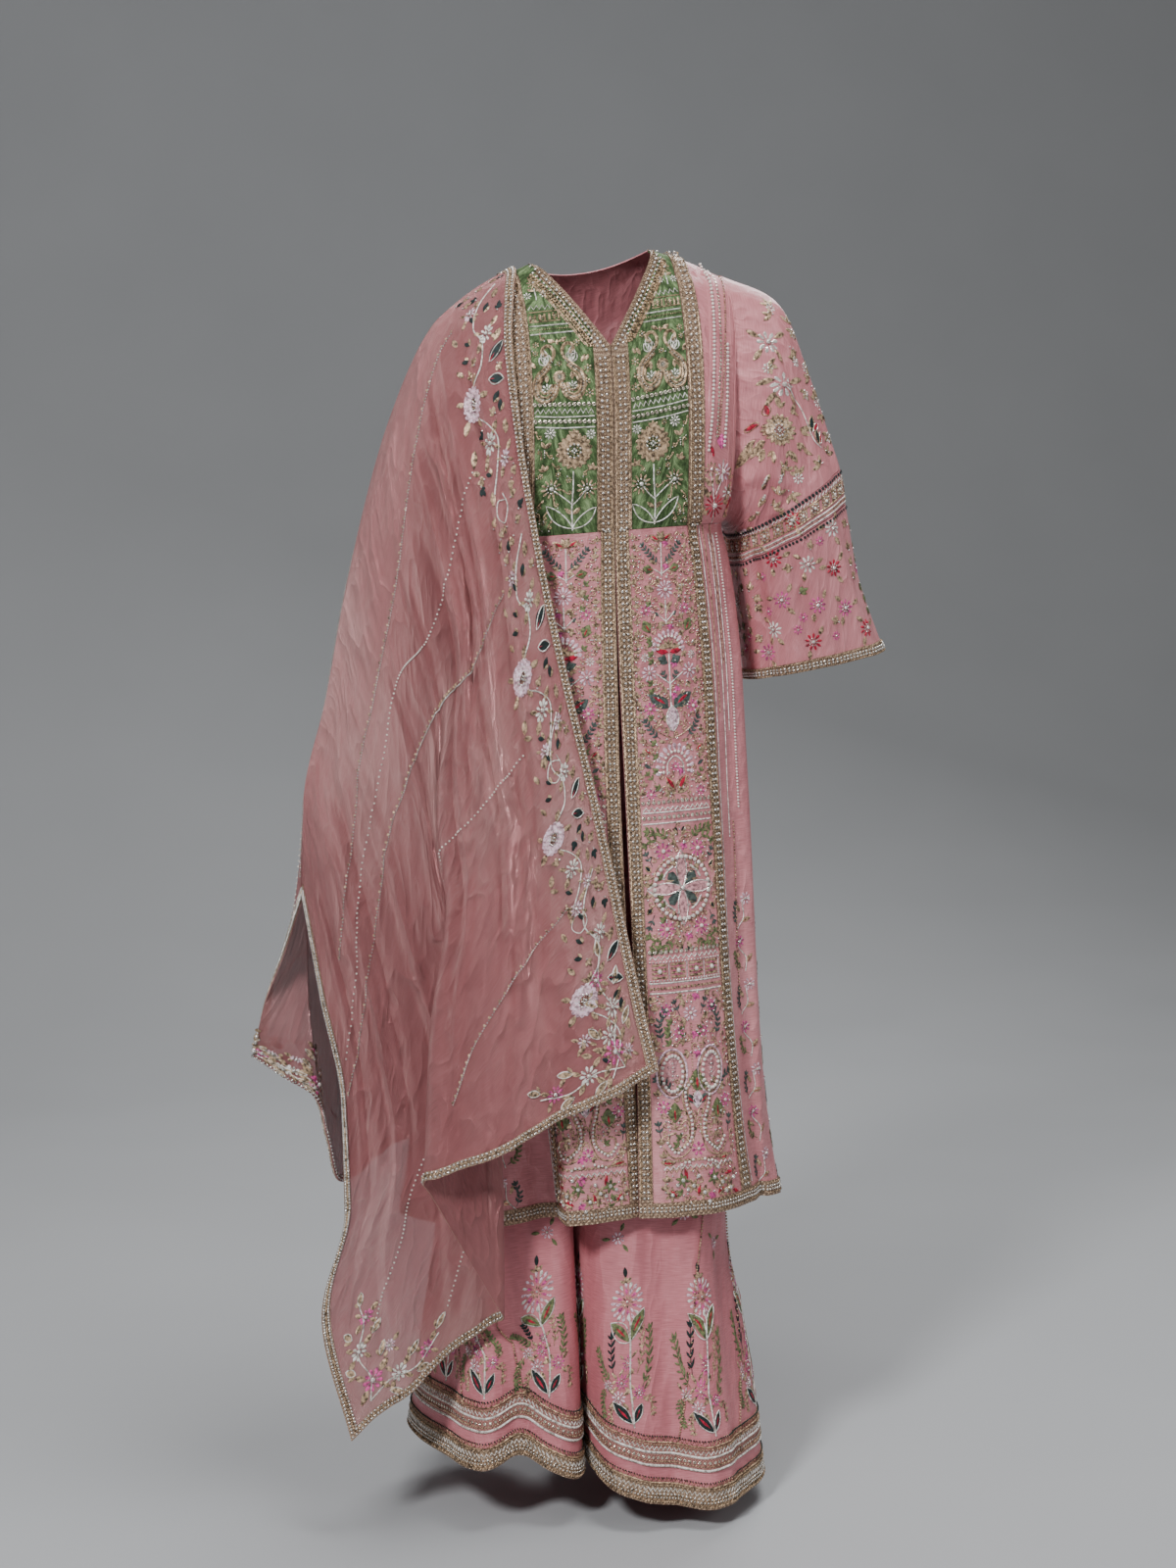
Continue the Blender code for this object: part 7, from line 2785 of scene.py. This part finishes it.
    def strips(self, raised: Pen) -> None:
        """Dress the placket and border strips, and the hem trims.

        Args:
            raised: the pen that draws on top of the trims.
        """
        marks = self.kurta.marks[self.side]
        foot = len(self.edge(0)) - 5
        strip(raised, self.edge(marks[0], 1.5)[:foot], self.edge(marks[1], -1.0)[:foot])
        strip(raised, self.edge(marks[5], 1.0)[:foot], self.edge(marks[6], -1.5)[:foot])
        line = self.kurta.skirts[self.side].flat[-1, :, 0] * 1000.0
        for up, kind, finish, radius in ((4, Bead.SEED, "gold", 1.3),
                                         (8, Bead.PEARL, "silver", 1.6),
                                         (12, Bead.PEARL, "silver", 1.4),
                                         (15.5, Bead.SEED, "gold", 1.2)):
            y = -self.kurta.skirts[self.side].flat[-1, 0, 1] * 1000.0 + up
            raised.row(kind, finish, [(2, y), (line[-1] - 2, y)], 5.0, radius)

    def gore(self, pen: Pen) -> None:
        """Stitch the cords, tucks and pearls of the gore, and the sprays at its foot.

        Args:
            pen: the pen of the sheet to stitch on.
        """
        seam = self.edge(self.kurta.marks[self.side][6])
        for offset, first, last, kind in (
                (4, 0, 138, "white"), (11, 0, 40, "gold"), (21, 2, 66, "white"),
                (31, 2, 44, "white"), (26, 0, 30, "gold")):
            run = even(seam[first:last], 6.0) + np.array([offset, 0.0])
            pen.stroke(kind, run, 1.3, 0.7)
        pen.row(Bead.PEARL, "pearl", seam[2:60] + np.array([40.0, 0.0]), 3.8, 1.5)
        pen.row(Bead.SEED, "gold", seam[62:100] + np.array([30.0, 0.0]), 3.8, 1.4)
        far = self.edge(-1, -2.5)
        pen.row(Bead.PEARL, "pearl", far[3:-4], 4.4, 1.7)
        for i, down in enumerate(range(470, 800, 52)):
            x = float(np.interp(down, -seam[:, 1], seam[:, 0]))
            reach = float(np.interp(down, -far[:, 1], far[:, 0])) - x
            for share in (0.28, 0.68):
                spray = pen.at(x + reach * share, -down - 18 * (share > 0.5), (-18, 16)[i % 2])
                spray.cord("white", [(0, -18), (5, -2), (-3, 16), (6, 22)], 1.4)
                spray.at(0, 20).daisy(8, 8, ("blush", "magenta")[(i + (share > 0.5)) % 2], "silver")
                spray.fern([(-2, -14), (-12, -4), (-14, 8)], 5, ("teal", "olive")[i % 2])
                spray.leaves(
                    (3, -8, -55, 14, 6, "gold"), (5, -7, -55, 8, 2.6, "crimson"),
                    (-2, 2, 50, 12, 5, "gold"))

    def dress(self, work: Needlework) -> None:
        """Dress the panel and its gore.

        Args:
            work: the needlework that gathers the threads.
        """
        pen = Pen(work, self.kurta.skirts[self.side])
        raised = Pen(work, pen.sheet, lift=STRIP_LIFT)
        self.upper(pen)
        self.rows(pen, (("sequins", 323), ("zigzag", 331), ("cord", 335), ("sequins", 341),
                        ("cord", 348)))
        self.medallion(pen)
        self.rows(pen, (("sequins", 500), ("zigzag", 507), ("cord", 537), ("bugles", 543),
                        ("cord", 549)))
        self.squares(pen)
        self.lower(pen)
        self.rows(pen, (("bugles", 749), ("zigzag", 757)))
        self.filler(pen)
        self.strips(raised)
        self.gore(pen)


# ---------------------------------------------------------------- dressing of the other cloths
def wreath(pen: Pen, radius: float, petals: str = "blush", leaf: str = "gold") -> None:
    """Stitch a beaded flower among leaves.

    Args:
        pen: a pen at its middle.
        radius: the flower's radius, in millimetres.
        petals: the petals' finish.
        leaf: the leaves' finish.
    """
    pen.petals((-140, -60, 50, 130), 0.8 * radius, 1.25 * radius, 0.5 * radius, leaf)
    pen.daisy(radius, 9, petals, "silver", width=0.75)
    pen.ring(Bead.SEED, "silver", radius * 0.45, 7, 1.0)


@dataclass
class SleeveWork:
    """The needlework of a sleeve: the shoulder spray, the band, the scatter and the cuff."""

    sleeve: Sleeve

    def level(self, ring: float) -> tuple[float, float]:
        """Find how far up a ring lies on the flat sleeve, and how long it is.

        Args:
            ring: the ring's number, between two rings if not whole.

        Returns:
            Both measures, in millimetres.
        """
        flat, rings = self.sleeve.sheet.flat, self.sleeve.rings
        return (-1000 * float(np.interp(ring, rings, flat[:, 0, 1])),
                1000 * float(np.interp(ring, rings, flat[:, -1, 0])))

    def around(self, ring: float) -> np.ndarray:
        """Points of a line round the sleeve at a ring."""
        y, length = self.level(ring)
        return np.array([(1.0, y), (length - 1.0, y)])

    def band(self, pen: Pen) -> None:
        """Stitch the rows of the diagonal band.

        Args:
            pen: the pen of the sheet to stitch on.
        """
        pen.row(Bead.SEQUIN, "dark", self.around(4.08), 5.4, 2.4)
        pen.zigzag("white", *self.around(4.24), 6.0, 4.4, 1.5)
        for ring, finish in ((4.36, "gold"), (4.72, "gold"), (4.82, "white"), (4.93, "white")):
            pen.bar(finish, self.around(ring), 1.8, 0.9)
        y, length = self.level(4.54)
        for i in range(int(length / 19)):
            square = pen.at(10 + 19 * i, y)
            square.bars((-6, -2, 2, 6), 8.5, True, 2.3, 0.9, 4.3)
            square.ring(Bead.SEED, "silver", 5, 8, 1.2)
            square.beads(Bead.PEARL, "pearl", [(0, 0)], 2.2)
        pen.row(Bead.SEED, "gold", self.around(4.87), 3.4, 1.1)
        pen.row(Bead.SEQUIN, "dark", self.around(5.06), 5.4, 2.0)

    def shoulder(self, pen: Pen) -> None:
        """Stitch the leafy silver flowers and the gold flower below the shoulder.

        Args:
            pen: the pen of the sheet to stitch on.
        """
        pen.cord("white", [(141, -100), (112, -161), (102, -223), (89, -248)], 1.6)
        for u, v in ((111, -54), (141, -100)):
            wreath(pen.at(u, v).upright(), 15, "silver", "gold")
        great = pen.at(181, -123).upright()
        great.sunflower(20, "gold", "silver", 18)
        for x, y, turn in ((-17, 17, 20), (-10, 21, -10)):
            great.leaf(x, y, turn, 17, 6, "crimson", edge="gold")
        for x, y, turn in ((-18, -14, 110), (-20, -24, 150), (-10, -26, 190), (12, -24, 210),
                           (20, -14, 240), (-24, 0, 80), (24, 4, -60), (16, 20, -30),
                           (-28, -10, 60), (4, 26, 0)):
            great.leaves((x, y, turn, 17, 8, "gold"), (x, y, turn - 45, 11, 5, "gold"))
        for u, v, turn in ((102, -212, -10), (92, -240, 10)):
            spot = pen.at(u, v).upright()
            spot.leaves((0, 0, turn, 20, 8, "dark", "gold"),
                        (3, 0, turn - 30, 18, 6, "crimson", "silver"))

        def spray(spot: Pen, i: int) -> None:
            """Stitch one filling figure.

            Args:
                spot: a pen at the figure's place.
                i: the figure's number.
            """
            true = spot.upright()
            if i % 3 == 0:
                true.daisy(7, 8, "white", "silver")
            for turn in (20, -35, 75):
                true.leaf(0, 4 * (i % 3 == 0), turn + 40 * i, 13, 5.5, "gold")
            true.beads(Bead.SEED, "silver", [(3, 3), (-3, 5)], 1.3)

        places = [(u, v) for v in range(-58, -276, -16) for u in range(60, 230, 14)]
        pen.work.fill(pen, places, 11.0, spray)

    def scatter(self, pen: Pen) -> None:
        """Stitch the small flowers below the band, and go on with them round the sleeve.

        Args:
            pen: the pen of the sheet to stitch on.
        """
        flowers = [(159, -313, "crimson"), (191, -352, "crimson"), (104, -405, "crimson"),
                   (150, -495, "crimson"), (70, -496, "crimson"), (101, -353, "white"),
                   (241, -292, "blush"), (144, -383, "white"), (274, -413, "white"),
                   (196, -465, "white"), (103, -500, "blush"), (180, -423, "magenta"),
                   (136, -446, "magenta"), (96, -462, "magenta"), (211, -497, "magenta")]
        top, bottom = self.level(5.1)[0], self.level(6.7)[0]
        chance = np.random.default_rng(11)
        finishes = ("blush", "magenta", "white", "crimson")
        for i, x in enumerate(range(312, int(self.level(6)[1]) - 20, 36)):
            for y in np.arange(top - 22, bottom + 10, -40):
                flowers.append((x + chance.uniform(-8, 8), y - 18 * (i % 2) + chance.uniform(-5, 5),
                                finishes[int(chance.integers(4))]))
        for i, (u, v, finish) in enumerate(flowers):
            if v < bottom + 4:
                continue
            flower = pen.at(u, v).upright().at(0, 0, 40 * i)
            flower.daisy(11, 9, finish, "silver", width=0.72)
            flower.ring(Bead.SEED, "silver", 4.6, 8, 1.2)
            flower.petals((0, 130, 240) if i % 3 else (40, 200), 11, 12, 6, "gold", 20)

        def leaves(spot: Pen, i: int) -> None:
            """Stitch one filling figure.

            Args:
                spot: a pen at the figure's place.
                i: the figure's number.
            """
            true = spot.upright().at(0, 0, 70 * i)
            if i % 4 == 0:
                true.daisy(6, 7, "magenta", "silver")
                return
            for turn in (-40, 0, 40):
                true.leaf(0, -4, turn, 12 - abs(turn) / 12, 5, "olive" if i % 3 == 0 else "gold")
            true.beads(Bead.SEED, "silver", [(0, -5)], 1.4)

        places = [(u + chance.uniform(-5, 5), v + chance.uniform(-5, 5))
                  for v in np.arange(top - 10, bottom + 8, -17) for u in range(50, 300, 17)]
        pen.work.fill(pen, places, 8.0, leaves)

    def dress(self, work: Needlework) -> None:
        """Dress the sleeve.

        Args:
            work: the needlework that gathers the threads.
        """
        pen = Pen(work, self.sleeve.sheet)
        raised = Pen(work, self.sleeve.sheet, lift=STRIP_LIFT)
        self.shoulder(pen)
        self.band(pen)
        self.scatter(pen)
        for ring, kind, finish, pitch, radius in (
                (6.87, Bead.SEED, "gold", 3.0, 1.1), (6.91, Bead.PEARL, "silver", 5.0, 1.6),
                (6.95, Bead.PEARL, "silver", 5.0, 1.6), (6.985, Bead.SEED, "gold", 3.0, 1.1)):
            raised.row(kind, finish, self.around(ring), pitch, radius)


@dataclass
class TrouserWork:
    """The needlework of a leg: upright flowering plants, rope lines and the two hem bands."""

    sheet: Sheet
    side: Side

    def level(self, up: float) -> tuple[float, float]:
        """Find how far up a line above the hem lies on the flat leg, and how long it is.

        Args:
            up: the line's height above the hem, in millimetres.

        Returns:
            Both measures, in millimetres.
        """
        flat = self.sheet.flat
        down = flat[-1, 0, 1] * 1000 - up
        return -down, 1000 * float(np.interp(down / 1000, flat[:, 0, 1], flat[:, -1, 0]))

    def around(self, up: float) -> list[Flat]:
        """Ends of a line round the leg at a height above the hem."""
        y, length = self.level(up)
        return [(1, y), (length - 1, y)]

    def plant(self, pen: Pen) -> None:
        """Stitch an upright flowering plant about 160 mm tall, from its root up.

        Args:
            pen: the pen of the sheet to stitch on.
        """
        pen.cord("white", [(2, 0), (1, 40), (-1, 72), (-4, 108)], 2.1)
        for x, y, turn, length, width, finish in (
                (0, 5, 40, 35, 12, "dark"), (3, 6, -24, 25, 9, "dark"),
                (-3, 82, 46, 31, 12, "olive"), (-3, 82, -34, 31, 12, "olive")):
            a = math.radians(turn)
            pen.leaf(x, y, turn, length, width, finish, edge="white")
            pen.leaf(x - 0.18 * length * math.sin(a), y + 0.18 * length * math.cos(a), turn,
                     0.6 * length, 0.45 * width, "crimson")
        for x, y, radius in ((-15, 36, 9), (-10, 54, 8), (-28, 50, 7), (11, 42, 8), (-4, 68, 6)):
            wreath(pen.at(x, y), radius, "blush" if x < -10 else "magenta")
        pen.ferns(
            ([(-22, 56), (-34, 66), (-43, 82)], 5.2, "olive"),
            ([(-32, 48), (-39, 34), (-38, 16)], 5.2, "olive"),
            ([(-20, 62), (-23, 74), (-24, 90)], 5.0, "dark"),
            ([(14, 46), (21, 60), (20, 80)], 5.2, "olive"),
            ([(16, 40), (26, 30), (27, 16)], 4.6, "gold"),
            ([(-20, 30), (-27, 20), (-27, 8)], 4.6, "gold"),
            ([(8, 58), (12, 70), (10, 84)], 4.6, "gold"))
        head = pen.at(-5, 122)
        for count, across, up, length, finishes in (
                (18, 11.5, 15.5, 8.0, ("blush", "white")),
                (12, 6.0, 9.0, 7.0, ("magenta", "blush"))):
            for i in range(count):
                a = 2 * math.pi * i / count
                head.leaf(across * math.sin(a), up * math.cos(a), -math.degrees(a), length, 4.6,
                          finishes[i % 2], rounded=True)
        head.daisy(7.5, 10, "gold", "silver")
        for turn in (-50, 0, 50):
            head.leaf(0, 22, turn, 9, 4.4, "gold")
        head.leaf(0, 29, 0, 13, 5.4, "dark")

    def bands(self, pen: Pen, raised: Pen) -> None:
        """Stitch the rows of both hem bands.

        Args:
            pen: the pen of the sheet to stitch on.
            raised: the pen that draws on top of the trims.
        """
        for up, kind, finish, pitch, size in (
                (79, Bead.SEED, "dark", 3.4, 1.3), (69, Bead.SEED, "gold", 3.4, 1.4),
                (54, Bead.SEQUIN, "sequin", 6.0, 2.0), (50, Bead.SEED, "gold", 3.4, 1.4),
                (31, Bead.SEED, "dark", 3.4, 1.2), (22, Bead.SEED, "gold", 3.4, 1.4),
                (12, Bead.PEARL, "silver", 5.0, 1.5), (8, Bead.SEED, "silver", 4.0, 1.4),
                (3, Bead.SEED, "gold", 3.4, 1.6)):
            raised.row(kind, finish, self.around(up), pitch, size)
        for up, height, finish, width in (
                (76, 7.0, "gold", 1.8), (65, 4.5, "white", 1.7), (28, 6.0, "gold", 1.8),
                (17, 4.5, "white", 1.7), (10, 5.0, "gold", 1.8), (5, 4.0, "gold", 1.6)):
            (pen if up in (76, 28) else raised).zigzag(finish, *self.around(up), 6.0, height, width)
        for up, finish, width in ((72, "gold", 1.8), (60, "white", 2.8), (45, "white", 2.8),
                                  (25, "gold", 1.8)):
            raised.bar(finish, self.around(up), width, 1.2, 5.0)

    def dress(self, work: Needlework) -> None:
        """Dress the leg.

        Args:
            work: the needlework that gathers the threads.
        """
        pen = Pen(work, self.sheet)
        self.bands(pen, Pen(work, self.sheet, lift=STRIP_LIFT))
        root, length = self.level(83)
        seen = {Side.LEFT: ((0.221, 5), (0.340, 3)), Side.RIGHT: ((0.241, -2), (0.360, 2))}
        for place, turn in seen[self.side] + ((0.09, 0), (0.47, 0), (0.60, 0), (0.73, 0),
                                              (0.87, 0)):
            self.plant(pen.at(place * length, root).upright().at(0, 0, turn, 0.98))
        for place in (0.29, 0.41, 0.52, 0.63, 0.74, 0.86):
            run = [(place * length + 3 * math.sin(i), root + 30 * i) for i in range(-1, 9)]
            pen.row(Bead.SEED, "gold", run, 3.4, 1.6)
        for place, up in ((0.17, 190), (0.26, 215), (0.33, 172), (0.40, 235), (0.12, 245),
                          (0.50, 200), (0.60, 240), (0.72, 205), (0.83, 240), (0.94, 200)):
            spot = pen.at(place * length, root + up).upright().at(0, 0, 400 * place)
            spot.daisy(8, 8, "blush", "silver")
            spot.petals((30, 150, 270), 9, 11, 4.5, "olive")


@dataclass
class DupattaWork:
    """The needlework of the organza: the border vine, the bead lines and the taped edges."""

    sheets: dict[str, Sheet]

    def repeat(self, pen: Pen) -> None:
        """Stitch a stretch of the winding border vine, its big flower 175 mm down.

        Args:
            pen: the pen of the sheet to stitch on.
        """
        pen.cord("white", [(30, -40), (52, -62), (60, -92), (46, -120), (50, -146), (70, -160)],
                 1.7)
        pen.cord("white", [(70, -196), (52, -214), (40, -236), (50, -262), (64, -282)], 1.7)
        great = pen.at(78, -176)
        great.sunflower(20, "blush", "pearl", 16)
        great.petals((30, 95, 160, 230, 300), 18, 15, 7, "gold")
        for x, y, turn in ((36, -150, 60), (40, -168, 120)):
            pen.leaves((x, y, turn, 26, 11, "dark", "white"), (x, y, turn, 12, 3, "crimson"))
        for x, y, radius in ((40, -112, 11), (56, -232, 12), (34, -262, 9), (66, -66, 9)):
            wreath(pen.at(x, y), radius, "white" if radius > 10 else "blush")
        for x, y, turn in ((66, -110, -40), (70, -126, -70), (38, -196, 60), (30, -212, 20),
                           (62, -262, -50), (60, -84, -20), (44, -80, 30)):
            pen.leaves((x, y, turn, 13, 6, "dark"), (x, y, turn + 38, 10, 4.5, "gold"))
        for x, y, turn in ((32, -66, 20), (84, -140, -30), (88, -220, 200), (26, -240, 10),
                           (82, -246, -60), (28, -130, 40), (88, -96, -20), (72, -292, 20)):
            pen.leaf(x, y, turn, 16, 7, "gold")
        pen.cord("white", [(46, -300), (62, -292), (70, -306), (58, -318), (46, -308), (50, -290)],
                 1.3)

    @staticmethod
    def width(sheet: Sheet, v: np.ndarray | float) -> np.ndarray | float:
        """How wide the flat cloth is at a place down it, in millimetres."""
        return np.interp(v, sheet.flat[:, 0, 1] * 1000, sheet.flat[:, -1, 0] * 1000)

    def lines(self, pen: Pen, depth: float) -> None:
        """String the long lines of small pearls and bugles, and scatter twigs along the border.

        Args:
            pen: the pen of the sheet to stitch on.
            depth: the sheet's length, in millimetres.
        """
        front = [[(96, 70), (324, 153), (531, 157), (600, 198), (700, 262)],
                 [(96, 236), (260, 262), (420, 205), (560, 232), (700, 330), (780, 420)],
                 [(91, 380), (204, 381), (363, 307), (502, 272), (632, 337), (755, 448)],
                 [(102, 566), (224, 555), (380, 540), (520, 600), (633, 745), (712, 903)],
                 [(78, 776), (207, 824), (269, 929)], [(400, 800), (520, 850), (600, 960)]]
        back = [[(96, down), (300, down - 30), (520, down - 60), (760, down - 20)]
                for down in range(110, 1080, 150)]
        for i, points in enumerate(front if pen.sheet is self.sheets["front"] else back):
            run = smooth([(x, -y) for x, y in points], 12.0)
            inside = run[:, 0] < self.width(pen.sheet, -run[:, 1]) - 18
            run = run[(-run[:, 1] < depth - 22) & inside]
            if i % 2:
                pen.row(Bead.PEARL, "pearl", run, 6.0, 1.3)
            else:
                pen.row(Bead.SEED, "silver", run, 3.0, 1.2)
                pen.row(Bead.SEQUIN, "gold", run + np.array([0, 3.4]), 9.0, 1.7)

        def twig(spot: Pen, i: int) -> None:
            """Stitch one filling figure of the border.

            Args:
                spot: a pen at the figure's place.
                i: the figure's number.
            """
            for turn in (0, -45, 45):
                spot.leaf(0, -4, turn, 11 - abs(turn) / 12, 4.6, "gold" if i % 6 else "dark")
            spot.beads(Bead.SEED, "silver", [(0, -6)], 1.4)

        places = [(x, -y) for y in np.arange(24.0, depth - 22, 10.0)
                  for x in np.arange(22.0, 88.0, 10.0)]
        pen.work.fill(pen, places, 7.0, twig)

    def corner(self, pen: Pen) -> None:
        """Stitch the flowers that fill a lower corner, growing up from it.

        Args:
            pen: the pen of the sheet to stitch on.
        """
        pen.cord("white", [(0, 10), (8, 40), (-4, 78), (10, 118), (2, 156)], 1.7)
        pen.cord("white", [(0, 10), (38, 20), (76, 10), (114, 22)], 1.7)
        for x, y, radius in ((10, 34, 15), (-2, 84, 12), (14, 126, 11), (48, 22, 12), (92, 18, 11),
                             (44, 64, 9)):
            wreath(pen.at(x, y), radius, ("blush", "white", "magenta")[int(x + y) % 3])
        for x, y, turn in ((26, 58, -30), (-12, 58, 40), (20, 96, -50), (-10, 108, 30),
                           (66, 32, -70), (112, 30, -60), (4, 150, 0), (70, 4, -110),
                           (28, 6, -120)):
            pen.leaves(
                (x, y, turn, 20, 8, "dark" if (x + y) % 2 else "gold", "white"),
                (x, y, turn + 50, 12, 5, "gold"))

    def edges(self, pen: Pen, depth: float, top: float) -> None:
        """Set rows of beads along each taped edge.

        Args:
            pen: the pen of the sheet to stitch on.
            depth: the sheet's length, in millimetres.
            top: how far down the rows begin, in millimetres.
        """
        down = np.arange(top, depth - 3.0, 9.0)
        far = self.width(pen.sheet, down)
        for inset, kind, finish, pitch, radius in ((3.6, Bead.PEARL, "silver", 5.2, 1.6),
                                                   (7.0, Bead.SEED, "gold", 3.6, 1.6),
                                                   (10.4, Bead.PEARL, "silver", 5.2, 1.6)):
            end = float(self.width(pen.sheet, depth))
            for run in (np.stack([np.full_like(down, inset), -down], 1),
                        np.stack([far - inset, -down], 1),
                        np.array([(inset, inset - depth), (end - inset, inset - depth)])):
                pen.row(kind, finish, run, pitch, radius)

    def dress(self, works: dict[str, Needlework]) -> None:
        """Dress both stretches.

        Args:
            works: the needlework of each stretch.
        """
        for name, sheet in self.sheets.items():
            depth = float(sheet.flat[-1, 0, 1]) * 1000
            pen, raised = Pen(works[name], sheet), Pen(works[name], sheet, lift=STRIP_LIFT)
            for down in (0, 313, 718):
                self.repeat(pen.at(0, -down))
            self.repeat(pen.at(4, -530, 2, 0.9))
            self.corner(pen.at(float(self.width(sheet, depth)) - 40, 16 - depth, mirror=True))
            self.corner(pen.at(44, 16 - depth))
            self.lines(pen, depth)
            self.edges(raised, depth, 12.0)
        inside = Pen(works["back"], self.sheets["back"], lift=-(ORGANZA_THICK + 0.0003))
        depth = float(self.sheets["back"].flat[-1, 0, 1]) * 1000
        self.corner(inside.at(540, 14 - depth, mirror=True))
        self.corner(inside.at(430, 20 - depth, 10))
        inside.row(Bead.PEARL, "silver", [(300, 10.4 - depth), (600, 10.4 - depth)], 5.2, 1.5)
        inside.row(Bead.PEARL, "silver", [(300, 3.6 - depth), (600, 3.6 - depth)], 5.2, 1.5)


# ---------------------------------------------------------------- studio
@dataclass
class Studio:
    """The floor, the lights and the camera."""

    floor_z: float = -1.522
    reach: float = 14.0
    wall_y: float = 5.5
    bend: float = 3.0
    camera_at: tuple[float, float, float] = (-0.7635, -2.8495, -0.416)
    pitch: float = -4.4
    turn: float = -15.0
    lens: float = 55.0
    lights: tuple[tuple[str, tuple[float, float, float], float, float], ...] = (
        ("key", (-2.4, -2.8, 1.7), 0.8, 165.0),
        ("fill", (2.6, -2.4, 0.5), 2.0, 24.0),
        ("top", (0.5, -0.8, 2.5), 1.4, 60.0),
        ("back", (1.6, 2.4, 1.6), 1.6, 60.0))

    def build(self) -> None:
        """Build the floor, the lights, the world and the camera."""
        bend = np.linspace(0.0, math.pi / 2, 13)
        depth = np.concatenate([np.linspace(-self.reach, self.wall_y - self.bend, 12)[:-1],
                                self.wall_y - self.bend + self.bend * np.sin(bend), [self.wall_y]])
        height = np.concatenate([np.zeros(11), self.bend * (1 - np.cos(bend)), [self.reach]])
        wide, y = np.meshgrid(np.linspace(-self.reach, self.reach, 25), depth)
        z = np.repeat(self.floor_z + height, 25)
        vertices = np.stack([wide.ravel(), y.ravel(), z], axis=1)
        faces = Wall.corners(np.arange(y.size).reshape(y.shape))[:, ::-1]
        floor = mesh_piece("floor", vertices, faces, FloorFinish().build())
        for name, place, size, power in self.lights:
            lamp = bpy.data.lights.new(name, "AREA")
            lamp.shape, lamp.size, lamp.energy = "DISK", size, power
            self.aim(bpy.data.objects.new(name, lamp), place, (0.0, 0.0, -0.7))
        world = bpy.context.scene.world or bpy.data.worlds.new("studio")
        bpy.context.scene.world = world
        world.use_nodes = True
        ground = world.node_tree.nodes["Background"]
        ground.inputs[0].default_value = linear((170, 169, 166))
        ground.inputs[1].default_value = 0.38
        lens = bpy.data.cameras.new("camera")
        lens.lens, lens.sensor_width, lens.clip_end = self.lens, 36.0, 200.0
        camera = bpy.data.objects.new("camera", lens)
        camera.location = self.camera_at
        camera.rotation_euler = (math.radians(90 + self.pitch), 0.0, math.radians(self.turn))
        bpy.context.scene.collection.objects.link(camera)
        bpy.context.scene.camera = camera

    @staticmethod
    def aim(lamp: bpy.types.Object, place: Sequence[float], target: Sequence[float]) -> None:
        """Place a lamp and point it at a target.

        Args:
            lamp: the lamp.
            place: where it stands.
            target: what it points at.
        """
        x, y, z = (t - p for p, t in zip(place, target))
        lamp.location = place
        lamp.rotation_euler = (math.atan2(math.hypot(x, y), -z), 0.0, math.atan2(x, -y) + math.pi)
        bpy.context.scene.collection.objects.link(lamp)


# ---------------------------------------------------------------- the whole suit
def embroider(wardrobe: Wardrobe, kurta: Kurta, sleeves: dict[Side, Sleeve], trousers: Trousers,
              dupatta: Dupatta) -> None:
    """Stitch every cloth.

    Args:
        wardrobe: the finishes.
        kurta: the kurta.
        sleeves: its sleeves.
        trousers: the trousers.
        dupatta: the dupatta.
    """
    trees = {kind: BeadTree(kind) for kind in Bead}
    for side in Side:
        work = Needlework(f"kurta_{side.value}", wardrobe, trees)
        YokeWork().dress(Pen(work, kurta.fronts[side]),
                         Pen(work, kurta.fronts[side], lift=STRIP_LIFT))
        PanelWork(kurta, side).dress(work)
        work.build()
        work = Needlework(f"sleeve_{side.value}", wardrobe, trees)
        SleeveWork(sleeves[side]).dress(work)
        work.build()
        work = Needlework(f"leg_{side.value}", wardrobe, trees)
        TrouserWork(trousers.sheets[side], side).dress(work)
        work.build()
    works = {name: Needlework(f"dupatta_{name}", wardrobe, trees) for name in dupatta.sheets}
    DupattaWork(dupatta.sheets).dress(works)
    for work in works.values():
        work.build()


def main() -> None:
    """Build the studio and every part of the suit."""
    logging.basicConfig(level=logging.INFO, format="%(message)s")
    Studio().build()
    wardrobe = Wardrobe()
    kurta = Kurta(wardrobe)
    kurta.build()
    sleeves = {side: Sleeve(wardrobe, side) for side in Side}
    for sleeve in sleeves.values():
        sleeve.build()
    trousers = Trousers(wardrobe)
    trousers.build()
    dupatta = Dupatta(wardrobe)
    dupatta.build()
    embroider(wardrobe, kurta, sleeves, trousers, dupatta)


if __name__ == "__main__":
    main()
